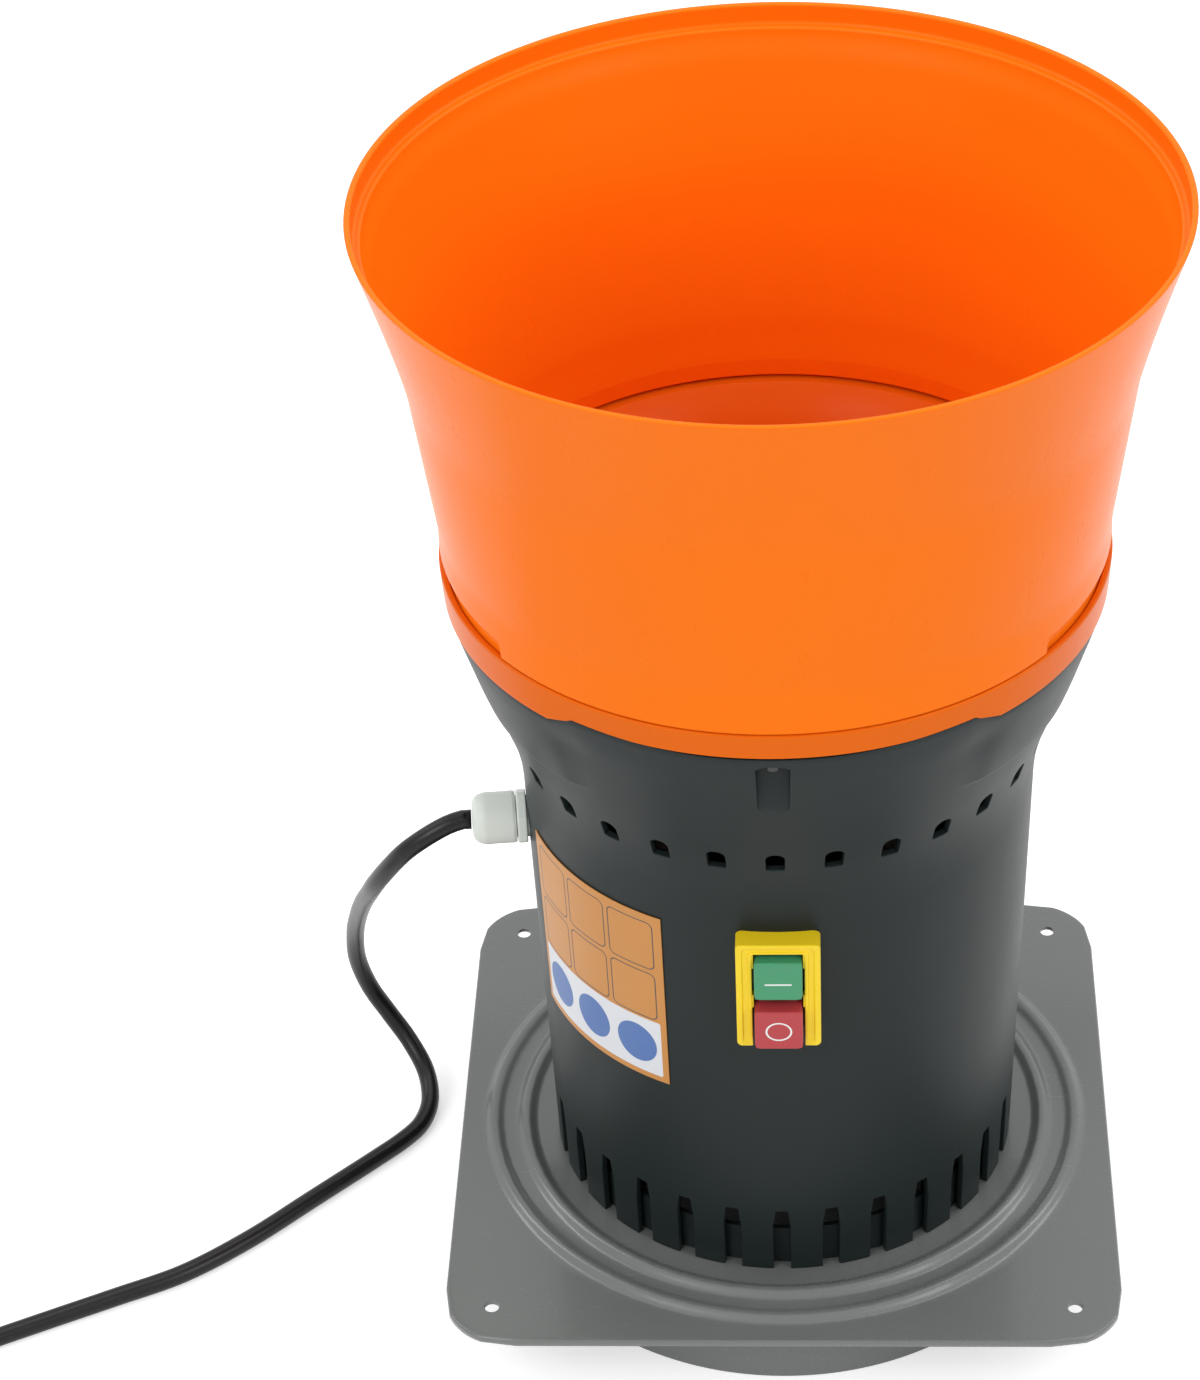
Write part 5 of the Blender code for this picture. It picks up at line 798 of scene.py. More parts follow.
@dataclass
class Studio:
    """Camera, pale floor and soft lamps."""

    eye: Triple = (0.02318, -1.52141, 1.44030)
    down: float = 0.635759
    yaw: float = -0.0696922
    roll: float = -0.0486501
    lens: float = 105.155
    sensor: float = 36.0
    floor_half: float = 6.0
    floor_colour: float = 0.80
    floor_lift: float = 0.50
    sky: float = 0.62
    lamps: tuple[tuple, ...] = (
        ("front_left_lamp", (-1.4, -1.8, 1.9), 0.3, (1.2, 1.2), 23.5),
        ("front_right_lamp", (1.7, -1.3, 1.7), 0.3, (1.0, 1.3), 15.0),
        ("left_strip", (-1.6, 0.55, 1.75), 0.15, (0.5, 1.3), 7.5),
        ("right_strip", (1.6, 0.55, 1.75), 0.15, (0.5, 1.3), 7.5),
        ("top_lamp", (0.1, 0.5, 2.6), 0.3, (1.6, 1.4), 14.0))

    def camera(self) -> None:
        """Set the camera: it looks along (sin y cos t, cos y cos t, -sin t), rolled about that line."""
        look = np.array([math.sin(self.yaw) * math.cos(self.down),
                         math.cos(self.yaw) * math.cos(self.down), -math.sin(self.down)])
        right = np.array([math.cos(self.yaw), -math.sin(self.yaw), 0.0])
        up = np.cross(right, look)
        cosine, sine = math.cos(self.roll), math.sin(self.roll)
        across, upward = cosine * right + sine * up, -sine * right + cosine * up
        place = Matrix(np.column_stack([across, upward, -look, self.eye]).tolist() + [[0, 0, 0, 1]])
        data = bpy.data.cameras.new("studio_camera")
        data.lens, data.sensor_width = self.lens, self.sensor
        data.clip_start, data.clip_end = 0.05, 60.0
        camera = linked("studio_camera", data)
        camera.matrix_world = place
        bpy.context.scene.camera = camera

    def _seen(self, bench: Bench) -> Signal:
        """1 for rays that show the background: from the camera, in gloss and through clear things."""
        path = bench.add("ShaderNodeLightPath")
        return (Signal(bench, path.outputs["Is Camera Ray"])
                + Signal(bench, path.outputs["Is Glossy Ray"])
                + Signal(bench, path.outputs["Is Transmission Ray"])).at_most(1.0)

    def floor(self) -> None:
        """Lay a pale floor that clips to white where no shadow falls on it."""
        half = self.floor_half
        grid = np.array([[(-half, -half, 0), (half, -half, 0)], [(-half, half, 0), (half, half, 0)]], float)
        mesh = Skin().grid(grid).mesh("floor")
        bench = Bench(bpy.data.materials.new("pale_floor"))
        fleck = bench.noise(bench.place(), 3.0, 3.0)
        colour = bench.tone((self.floor_colour,) * 3, fleck, 0.01)
        bench.finish(colour, 0.9, specular=0.1)
        glow = bench.blend(self._seen(bench), (0.0, 0.0, 0.0), (self.floor_lift,) * 3)
        bench.feed(bench.shader, {"Emission Strength": 1.0, "Emission Color": glow})
        mesh.materials.append(bench.owner)
        linked("floor", mesh)

    def sky_light(self) -> None:
        """Soft light from all round, seen as white."""
        world = bpy.data.worlds.new("studio_world")
        bpy.context.scene.world = world
        bench = Bench(world)
        strength = self._seen(bench) * (1.0 - self.sky) + self.sky
        bench.feed(bench.shader, {"Color": (1.0, 1.0, 1.0, 1.0), "Strength": strength})

    @staticmethod
    def lamp(name: str, place: Sequence[float], aim: float, size: Pair,
             power: float) -> None:
        """Hang a soft rectangular lamp that faces a height on the mill's axis.

        Args:
            name: Name of the lamp.
            place: Where it hangs.
            aim: The height it faces.
            size: Its width and height.
            power: Its power in watts.
        """
        data = bpy.data.lights.new(name, "AREA")
        data.shape = "RECTANGLE"
        data.size, data.size_y = size
        data.energy = power
        away = unit(np.array(place, float) - [0.0, 0.0, aim])
        side = unit(np.cross([0.0, 0.0, 1.0], away))
        axes = np.column_stack([side, np.cross(away, side), away, place])
        linked(name, data).matrix_world = Matrix(axes.tolist() + [[0, 0, 0, 1]])

    def build(self) -> None:
        """Set up everything that isn't the mill."""
        self.camera()
        self.floor()
        self.sky_light()
        for lamp in self.lamps:
            self.lamp(*lamp)
        bpy.context.scene.view_settings.view_transform = "Standard"


@dataclass
class MainsCord:
    """Rubber cord from the gland, along the floor and into its coil."""

    radius: float = 4.7 * MM
    lift: float = 0.1 * MM
    gland_rise: float = 201.0 * MM
    gland_angle: float = math.radians(-84)
    mouth: float = 147.3 * MM
    coil_centre: Pair = (-470.0 * MM, -95.0 * MM)
    coil_radius: float = 57.0 * MM
    coil_pitch: float = 10.0 * MM
    layer: float = 10.0 * MM
    coil_start: float = math.radians(-64.5)
    coil_end: float = math.radians(-180)
    whole_turns: int = 3
    turn_points: int = 24
    plug_lead: float = 30.0 * MM
    plug_height: float = 18.9 * MM
    facets: int = 20
    spacing: float = 4.0 * MM
    drop: tuple[Triple, ...] = (
        (-0.1590, -0.0180, 0.2480), (-0.1690, -0.0200, 0.2425), (-0.1790, -0.0200, 0.2340),
        (-0.1880, -0.0145, 0.2200), (-0.1965, -0.0040, 0.2020), (-0.2030, 0.0130, 0.1815),
        (-0.2095, 0.0345, 0.1580), (-0.2160, 0.0570, 0.1310), (-0.2215, 0.0765, 0.1030),
        (-0.2235, 0.0880, 0.0760), (-0.2190, 0.0923, 0.0529), (-0.2095, 0.0905, 0.0352),
        (-0.1992, 0.0835, 0.0223), (-0.1903, 0.0705, 0.0127), (-0.1870, 0.0540, 0.0070))
    run: tuple[Pair, ...] = (
        (-0.1903, 0.0385), (-0.1986, 0.0256), (-0.2130, 0.0103), (-0.2426, -0.0194), (-0.2717, -0.0484),
        (-0.3023, -0.0729), (-0.3355, -0.0902), (-0.3687, -0.1070), (-0.4050, -0.1256))

    def mouth_point(self, past: float = 0.0) -> Array:
        """A point on the gland's axis, past its mouth."""
        return around(self.mouth + past, self.gland_angle, PLATE_TOP + self.gland_rise)

    def route(self) -> Array:
        """Knots from the gland's mouth down to the floor and along it."""
        run = [(x, y, self.radius + self.lift) for x, y in self.run]
        return np.array([self.mouth_point(), self.mouth_point(self.radius), *self.drop, *run])

    def coil(self) -> Array:
        """Coil that spirals in, climbs a layer while it reverses, and spirals out.

        At turn t of n the radius is R - p (n/2 - |t - n/2|), and the height climbs one
        layer in the half turn round the middle.
        """
        turns = self.whole_turns + (self.coil_start - self.coil_end) / math.tau
        turn = np.linspace(0.0, turns, round(turns * self.turn_points) + 1)
        radius = self.coil_radius - self.coil_pitch * (turns / 2 - np.abs(turn - turns / 2))
        climb = np.clip((turn - turns / 2) * 2 + 0.5, 0.0, 1.0)
        angle = self.coil_start - math.tau * turn
        points = np.stack([self.coil_centre[0] + radius * np.cos(angle),
                           self.coil_centre[1] + radius * np.sin(angle),
                           self.radius + self.lift + self.layer * climb], -1)
        start = np.array([-math.sin(self.coil_start), math.cos(self.coil_start), 0.0])
        end = np.array([math.sin(self.coil_end), -math.cos(self.coil_end), 0.0])
        lead, climb = points[-1], np.array([0.0, 0.0, self.plug_height - points[-1, 2]])
        straight = 2 * self.radius
        bend = end * (self.plug_lead - straight)
        ahead = [lead + bend * 0.5 + climb * 0.5, lead + bend + climb, lead + end * self.plug_lead + climb]
        return np.concatenate([[points[0] + start * straight], points, ahead])

    def centreline(self) -> Array:
        """The whole cord's centreline, spread evenly."""
        coil = self.coil()
        before = coil[0] + unit(coil[0] - coil[1]) * 2 * self.radius
        return smooth_route([*self.route(), before, *coil], self.spacing)

    def tube(self, line: Array) -> Skin:
        """Carry a circle along the line; each ring lies across it, with its first point level."""
        along = unit(np.gradient(line, axis=0))
        side = unit(np.cross(along, [0.0, 0.0, 1.0]))
        over = np.cross(side, along)
        angle = full_turn(self.facets)[None, :, None]
        ring = line[:, None] + self.radius * (np.cos(angle) * side[:, None] + np.sin(angle) * over[:, None])
        reach = reach_along(line)
        prints = np.stack(np.broadcast_arrays(reach[:, None], angle[..., 0] * self.radius), -1)
        skin = Skin().grid(ring, flip=True, prints=prints)
        for end, turn in ((0, False), (-1, True)):
            cap = np.stack([ring[end], np.broadcast_to(line[end], ring[end].shape)])
            skin.grid(cap, flip=turn, prints=np.broadcast_to(prints[end], (2, *prints[end].shape)))
        return skin

    def build(self) -> None:
        line = self.centreline()
        cord = put(self.tube(line), "mains_cord", CORD_RUBBER, Body.MILL,
                   ("power_cord", "cord_coil"))
        plug = Plug(tuple(line[-1])).build()
        tuple(self.mouth_point())


@dataclass
class Plug:
    """Round two-pin plug that lies at the coil's side, its axis along +Y."""

    start: Triple
    radius: float = 18.5 * MM
    length: float = 44.0 * MM
    neck_radius: float = 8.0 * MM
    neck_length: float = 16.0 * MM
    gap: float = 0.3 * MM
    pin_radius: float = 2.4 * MM
    pin_length: float = 19.0 * MM
    pin_spacing: float = 19.0 * MM
    rib_depth: float = 0.9 * MM
    rib_pitch: float = 3.4 * MM
    press: float = 0.13
    press_reach: float = 11.0 * MM

    def _stand(self) -> Matrix:
        """Carries +Z at the origin to +Y at the cord's end."""
        return Matrix.Translation(self.start) @ Matrix.Rotation(-math.pi / 2, 4, "X")

    def body(self) -> Skin:
        """Turned body whose grip is pressed in at both sides, with a ribbed neck.

        The radius of a round profile is lessened at two opposite sides along the grip, and
        by a row of cosine grooves along the neck.
        """
        neck = self.gap + self.neck_length
        top = neck + self.length
        line = rounded([(0.0, top), (self.radius - 1.0 * MM, top), (self.radius, top - 12.0 * MM),
                        (self.radius, neck + 15.0 * MM), (self.neck_radius + 2.0 * MM, neck),
                        (self.neck_radius * 0.86, self.gap), (0.0, self.gap)],
                       [0, 2.0 * MM, 6.0 * MM, 6.0 * MM, 3.0 * MM, 1.2 * MM, 0], 5)[::-1]
        fine = np.linspace(self.gap, top, 120)
        cut = np.interp(fine, line[1:-1, 1], line[1:-1, 0])
        ribs = smooth_step((neck - 0.5 * MM - fine) / (2 * MM)) * smooth_step((fine - 2.5 * MM) / (1.5 * MM))
        cut = cut - ribs * self.rib_depth * (0.5 + 0.5 * np.cos(fine / self.rib_pitch * math.tau))
        profile = np.concatenate([[(0.0, self.gap)], np.stack([cut, fine], -1), [(0.0, top)]])
        angle = full_turn(64)
        grid = turned(profile, angle)
        middle = (neck + top) / 2 + 2.0 * MM
        along = np.exp(-((profile[:, 1] - middle) / self.press_reach) ** 4)[:, None]
        press = 1.0 - self.press * along * np.abs(np.sin(angle))[None] ** 3
        grid[..., :2] *= press[..., None]
        return Skin().grid(grid).placed(self._stand())

    def pin(self, side: int) -> Skin:
        """Round pin with a domed tip."""
        top = self.gap + self.neck_length + self.length
        line = rounded([(0.0, top + self.pin_length), (self.pin_radius, top + self.pin_length),
                        (self.pin_radius, top - 2.0 * MM), (0.0, top - 2.0 * MM)],
                       [0, 1.8 * MM, 0, 0], 5)[::-1]
        skin = Skin().grid(turned(line, full_turn(24)))
        return skin.placed(self._stand() @ Matrix.Translation((side * self.pin_spacing / 2, 0.0, 0.0)))

    def build(self) -> list[bpy.types.Object]:
        """Make the body and its pins."""
        body = put(self.body(), "mains_plug", BLACK, Body.MILL, ("plug_body",), sharp=50)
        pins = [put(self.pin(side), f"mains_pin_{number}", BRIGHT_STEEL, Body.MILL,
                    (f"plug_pin_{number}",), sharp=50) for number, side in ((1, 1), (2, -1))]
        return [body, *pins]


@dataclass
class Ring:
    """Sizes that the housing, the funnel ring and the extension share."""

    seam: float = 340.0 * MM
    side_seam: float = 335.2 * MM
    front_lift: float = 1.8 * MM
    level: float = math.radians(6.5)
    jog_start: float = math.radians(35)
    jog_end: float = math.radians(40.5)
    seam_radius: float = 152.2 * MM
    skirt_inner: float = 149.0 * MM
    lip: float = 353.5 * MM
    lip_radius: float = 153.4 * MM

    def fold(self, angle: Array) -> Array:
        """Angle from the nearer of the front and the back."""
        return np.arccos(np.clip(np.abs(np.cos(angle)), 0.0, 1.0))

    def side_share(self, angle: Array) -> Array:
        """0 at the front and back, 1 at the sides, with a straight change between."""
        return np.clip((self.fold(angle) - self.jog_start) / (self.jog_end - self.jog_start), 0.0, 1.0)

    def seam_rise(self, angle: Array) -> Array:
        """Height of the seam between the dark housing and the orange ring.

        It is level at the front and back, lifts a little towards the jogs, and drops there.
        """
        lift = self.front_lift * smooth_step((self.fold(angle) - self.level) / (self.jog_start - self.level))
        high = self.seam + lift
        return high - (high - self.side_seam) * self.side_share(angle)

    def columns(self, extra: Sequence[float] = ()) -> Array:
        """Angles every 2 degrees, with those of the jogs and any others, over a closed turn."""
        jogs = np.degrees([self.jog_start, self.jog_end])
        own = np.concatenate([jogs, 180 - jogs, 180 + jogs, 360 - jogs, list(extra)])
        even = np.arange(0.0, 360.0, 2.0)
        far = np.abs(even[:, None] - own[None]).min(1) > 0.55
        columns = np.radians(np.sort(np.concatenate([even[far], own])))
        return np.append(columns, columns[0] + math.tau)


SEAM = Ring()


@dataclass(frozen=True)
class Block:
    """A patch of the wall, laid flat round a place in it."""

    middle: float
    rise: float
    scale: float

    def flat(self, points: Array) -> Array:
        """Angles and heights as distances from the place."""
        return (points - (self.middle, self.rise)) * [self.scale, 1.0]

    def back(self, flat: Array) -> tuple[Array, Array]:
        """Angles, and heights, of distances from the place."""
        return self.middle + flat[..., 0] / self.scale, self.rise + flat[..., 1]


@dataclass
class Housing:
    """Dark body: tapered wall, cone, ring of vents and slots, and two screw pockets."""

    base_radius: float = 114.2 * MM
    taper: float = 0.0298
    shoulder: float = 248.4 * MM
    blend: float = 21.0 * MM
    slope: float = 0.35
    cone_end: float = 326.0 * MM
    wall: float = 3.0 * MM
    foot: float = 0.3 * MM
    vent_half: Pair = (4.3 * MM, 5.6 * MM)
    vent_rise: float = 263.3 * MM
    slot_half: float = 4.2 * MM
    slot_top: float = 39.0 * MM
    edge: float = 0.45 * MM
    crown_edge: float = 0.4 * MM
    pocket_floor: float = 141.0 * MM
    pocket_half: Pair = (7.0 * MM, 17.25 * MM)
    pocket_rise: float = 317.75 * MM
    ledge_radius: float = 142.6 * MM
    ledge_low: float = 335.0 * MM
    shutter_half: Pair = (27.9 * MM, 1.7 * MM)
    shutter_rise: float = 233.7 * MM
    window_half: Pair = (17.8 * MM, 26.6 * MM)
    window_place: Pair = (0.5 * MM, 186.7 * MM)
    hole_round: float = 0.5 * MM
    vent_round: Pair = (0.35 * MM, 3.9 * MM)
    slot_round: Pair = (0.3 * MM, 1.0 * MM)
    pocket_round: float = 1.5 * MM
    pocket_back: float = 2.0 * MM
    bands: tuple[Row, ...] = ((52, 70, 100, 130, 156), (156, 170, 187, 204, 218),
                                            (218, 224, 229), (229, 238.5), (238.5, 243, 247, 251))
    cell: float = 12.0
    crease: float = 289.7 * MM
    crease_width: float = 1.8 * MM
    collar_lift: float = 1.5 * MM
    collar_fold: float = math.radians(38)
    collar_fade: Pair = (294.0 * MM, 38.0 * MM)
    dent: float = 1.3 * MM
    dent_place: Pair = (math.radians(38.5), 321.5 * MM)
    dent_reach: Pair = (math.radians(5), 8.0 * MM)
    foot_rows: Row = (10, 20, 30, 40, 52)
    vent_rows: Row = (251, 256, 261, 266, 271, 276)
    cone_rows: Row = (276, 281, 286, 289.5, 290.8, 291.8, 292.8, 294, 298, 303, 309, 315,
                                    321, 327, 332, 336.5, 340)

    def radius(self, rise: Array) -> Array:
        """Outer radius at a height.

        The wall grows by its taper. Within a blend of the shoulder it gains
        (slope - taper) blend s^2, s being the share of the way through the blend. Past it
        the cone is straight, and the last stretch leads to the seam.
        """
        wall = self.base_radius + self.taper * rise
        share = np.clip((rise - self.shoulder + self.blend) / (2 * self.blend), 0.0, 1.0)
        bent = wall + (self.slope - self.taper) * self.blend * share ** 2
        corner = self.base_radius + self.taper * self.shoulder
        cone = corner + self.slope * (rise - self.shoulder)
        radius = np.where(rise >= self.shoulder + self.blend, cone, bent)
        end = corner + self.slope * (self.cone_end - self.shoulder)
        last = end + (SEAM.seam_radius - end) * (rise - self.cone_end) / (SEAM.seam - self.cone_end)
        return np.where(rise > self.cone_end, last, radius)

    def relief(self, angle: Array, rise: Array) -> Array:
        """How far the skin stands off the plain radius.

        A collar round each side stands proud above a crease, fading in past the
        jog and out towards the seam, and a soft dent lies under each jog.
        """
        fold = SEAM.fold(angle)
        collar = (smooth_step((fold - self.collar_fold) / math.radians(5))
                  * smooth_step((rise - self.crease) / self.crease_width))
        start, length = self.collar_fade
        ease = 1.0 - 0.85 * smooth_step((rise - start) / length)
        dent = np.exp(-((fold - self.dent_place[0]) / self.dent_reach[0]) ** 2
                      - ((rise - self.dent_place[1]) / self.dent_reach[1]) ** 2)
        return self.collar_lift * collar * ease - self.dent * dent

    def place(self, angle: Array, rise: Array, depth: Array) -> Array:
        """A point under the skin: the radius loses d / sqrt(1 + k^2) and the height gains k times that."""
        step = 0.5 * MM
        slope = (self.radius(rise + step) - self.radius(rise - step)) / (2 * step)
        inward = depth / np.sqrt(1 + slope ** 2)
        radius = self.radius(rise) + self.relief(angle, rise) - inward
        return around(radius, angle, PLATE_TOP + rise + inward * slope)

    def rings(self, border: Array, half: Pair, low_round: float,
              high_round: float) -> tuple[Array, Array]:
        """Lines from a block's border to the rounded edge of the opening in it.

        Args:
            border: The block's border round the opening's centre, in metres.
            half: Half of the opening's width and height.
            low_round: Radius of its lower corners.
            high_round: Radius of its upper corners.

        Returns:
            Places of the lines, and their depths. The opening's wall starts at the last one.
        """
        line, out = star_outline(border, lambda p: slab_distance(p, half, low_round, high_round))
        inward, down = rolled(self.edge, 5)
        offsets, depths = np.append(1.5 * self.edge, inward), np.append(0.0, down)
        near = line[None] + out[None] * offsets[:, None, None]
        share = np.array([0.0, 0.35, 0.7])[:, None, None]
        far = border[None] * (1 - share) + near[:1] * share
        return np.concatenate([far, near]), np.concatenate([np.zeros(3), depths])

    def opening(self, skin: Skin, centre: Pair, columns: Array, rows: Array,
                half: Pair, low_round: float, high_round: float) -> None:
        """Fill a block of the wall round a hole right through it.

        Args:
            skin: The housing's skin.
            centre: Angle and height of the hole's centre.
            columns: The block's angles.
            rows: The block's heights.
            half: Half of the hole's width and height.
            low_round: Radius of its lower corners.
            high_round: Radius of its upper corners.
        """
        block = Block(*centre, float(self.radius(np.array(centre[1]))))
        flat = block.flat(self.border(columns, rows))
        lines, depths = self.rings(flat, half, low_round, high_round)
        lines = np.concatenate([lines, lines[::-1]])
        depths = np.concatenate([depths, np.full(len(depths), self.wall)])
        skin.grid(self.place(*block.back(lines), depths[:, None]))

    @staticmethod
    def border(columns: Array, rows: Array) -> Array:
        """Border of a block, anticlockwise from its lower left corner and closed."""
        low = np.stack([columns, np.full(len(columns), rows[0])], -1)
        right = np.stack([np.full(len(rows), columns[-1]), rows], -1)
        high = np.stack([columns[::-1], np.full(len(columns), rows[-1])], -1)
        left = np.stack([np.full(len(rows), columns[0]), rows[::-1]], -1)
        return np.concatenate([low[:-1], right[:-1], high[:-1], left])

    def slot(self, skin: Skin, middle: float, columns: Array, rows: Array) -> None:
        """Fill a block round a slot that is open at the foot."""
        block = Block(middle, rows[0], float(self.radius(np.array(0.0))))
        flat = block.flat(self.border(columns, rows)[len(columns) - 1:])
        lines, depths = self.rings(flat, (self.slot_half, self.slot_top - rows[0]), *self.slot_round)
        lines[:, 0, 1] = lines[:, -1, 1] = 0.0
        angle, rise = block.back(lines)
        outer = self.place(angle, rise, depths[:, None])
        inner = self.place(angle, rise, np.full_like(depths, self.wall)[:, None])
        skin.grid(np.concatenate([outer, inner[::-1]]))
        skin.grid(np.stack([outer[:, 0], inner[:, 0]]))
        skin.grid(np.stack([outer[:, -1], inner[:, -1]]), flip=True)

    def pocket(self, skin: Skin, middle: float, columns: Array, outer_rows: Array,
               inner_rows: Array) -> None:
        """Press a screw pocket into the cone: a plain upright floor behind a round-footed outline.

        Args:
            skin: The housing's skin.
            middle: Angle of the pocket's middle.
            columns: The block's angles.
            outer_rows: The block's heights on the outside.
            inner_rows: The block's heights on the inside.
        """
        block = Block(middle, self.pocket_rise, self.pocket_floor)
        low_round = self.pocket_half[0] - 0.1 * MM
        flat = block.flat(self.border(columns, outer_rows))
        lines, depths = self.rings(flat, self.pocket_half, low_round, self.pocket_round)
        angle, rise = block.back(lines)
        outer = self.place(angle, rise, depths[:, None])
        reach = np.hypot(outer[..., 0], outer[..., 1])
        held = np.maximum(reach, np.minimum(self.radius(rise), self.pocket_floor))
        outer[..., :2] *= (held / reach)[..., None]
        foot = self.pocket_half[1] - self.pocket_half[0]
        spine = np.stack([np.zeros(lines.shape[1]), np.clip(lines[-1, :, 1], -foot, foot + 4 * MM)], -1)
        share = np.array([0.0, 0.5, 1.0])[:, None, None]
        angle, rise = block.back(lines[-1][None] * (1 - share) + spine[None] * share)
        back = around(np.minimum(self.pocket_floor, self.radius(rise)), angle, PLATE_TOP + rise)
        skin.grid(np.concatenate([outer, back]))
        flat = block.flat(self.border(columns, inner_rows))
        line, out = star_outline(
            flat, lambda p: slab_distance(p, self.pocket_half, low_round, self.pocket_round))
        near = line + out * self.pocket_back
        near[:, 1] = np.minimum(near[:, 1], self.ledge_low - 0.5 * MM - self.pocket_rise)
        inner, wall = (self.place(*block.back(points), np.full(len(points), self.wall))
                       for points in (flat, near))
        deep = self.pocket_floor - self.pocket_back
        reach = np.hypot(wall[:, 0], wall[:, 1])
        sunk = wall.copy()
        sunk[:, :2] *= (np.minimum(deep, reach) / reach)[:, None]
        end = around(deep, middle, PLATE_TOP + self.pocket_rise + spine[:, 1])
        skin.grid(np.stack([inner, wall, sunk, end]), flip=True)

    def shell(self) -> Skin:
        """The whole body, from its foot to its ledge."""
        skin = Skin()
        columns = SEAM.columns()
        foot_rows = np.array([self.foot, *np.array(self.foot_rows) * MM])
        vent_rows = np.array(self.vent_rows) * MM
        low, top = self.cone_rows[0], self.cone_rows[-1]
        high, low = (np.array(self.cone_rows) - low) / (top - low), low * MM
        inner_rows = low + (self.ledge_low - low) * high
        for middle in np.radians(np.arange(0.0, 360.0, self.cell)):
            own = self.cell_columns(columns, middle)
            self.slot(skin, middle, own, foot_rows)
            self.opening(skin, (middle, self.vent_rise), own, vent_rows, self.vent_half, *self.vent_round)
            if abs(math.sin(middle)) < 0.01:
                outer_rows = low + (SEAM.seam - self.crown_edge - low) * high
                self.pocket(skin, middle, own, outer_rows, inner_rows)
                continue
            rise = low + (SEAM.seam_rise(own) - self.crown_edge - low)[None] * high[:, None]
            skin.grid(self.place(own[None], rise, np.zeros_like(rise)))
            skin.grid(self.place(own[None], inner_rows[:, None], np.full((1, 1), self.wall)), flip=True)
        across, rise = self.window_place
        window = (across / float(self.radius(np.array(rise))), rise)
        shutter = (math.pi, self.shutter_rise)
        holes = ((), (window, 12, self.window_half), (), (shutter, 18, self.shutter_half), ())
        for rows, hole in zip(self.bands, holes):
            self.band(skin, columns, rows, *hole)
        self.crown(skin, columns)
        return skin

    def cell_columns(self, columns: Array, middle: float) -> Array:
        """The angles of the cell round a middle, with its ends."""
        both = np.concatenate([columns - math.tau, columns, columns + math.tau])
        reach = math.radians(self.cell / 2)
        inside = both[np.abs(both - middle) < reach - 1e-4]
        return np.unique(np.round(np.concatenate([[middle - reach], inside, [middle + reach]]), 9))

    def band(self, skin: Skin, columns: Array, rows: Sequence[float],
             hole: Pair | None = None, reach: float = 0.0,
             half: Pair | None = None) -> None:
        """Both sides of the wall over a stretch of its height, with a hole in it if one is given.

        Args:
            skin: The housing's skin.
            columns: The angles of a whole turn.
            rows: Heights in millimetres.
            hole: Angle and height of the hole's centre.
            reach: Degrees from it to the sides of the block that holds the hole.
            half: Half of the hole's width and height.
        """
        rows = np.asarray(rows) * MM
        if hole is not None:
            every = np.unique(np.round(np.concatenate([columns - math.tau, columns, columns + math.tau]), 9))
            middle = math.pi * round(hole[0] / math.pi)
            block = every[np.abs(every - middle) < math.radians(reach + 0.1)]
            columns = every[(every > block[-1] - 1e-6) & (every < block[0] + math.tau + 1e-6)]
            self.opening(skin, hole, block, rows, half, self.hole_round, self.hole_round)
        for depth, flip in ((0.0, False), (self.wall, True)):
            skin.grid(self.place(columns[None], rows[:, None], np.full((1, 1), depth)), flip=flip)

    def crown(self, skin: Skin, columns: Array) -> None:
        """Top edge: rounded over, in across the step under the ring's skirt, and down round the ledge."""
        seam, edge = SEAM.seam_rise(columns), self.crown_edge
        inward, down = rolled(edge, 5)
        start = self.radius(seam - edge) + self.relief(columns, seam - edge)
        over = start[None] - down[:, None]
        across = SEAM.skirt_inner + np.where(seam > SEAM.seam, 0.3 * MM, -0.3 * MM)
        levels = self.ledge_radius, self.ledge_low, SEAM.seam
        ledge, low, top = (np.full_like(seam, level) for level in levels)
        inner = self.place(columns, low, np.full_like(seam, self.wall))
        radius = np.concatenate([over, [across, across, ledge, ledge, np.hypot(inner[:, 0], inner[:, 1])]])
        rise = np.concatenate([seam[None] - inward[:, None], [seam, top, top, low, inner[:, 2] - PLATE_TOP]])
        skin.grid(around(radius, columns[None], PLATE_TOP + rise))

    def build(self) -> None:
        """Make the housing."""
        put(self.shell(), "housing_shell", CHARCOAL, Body.MILL, ("housing",), sharp=48)


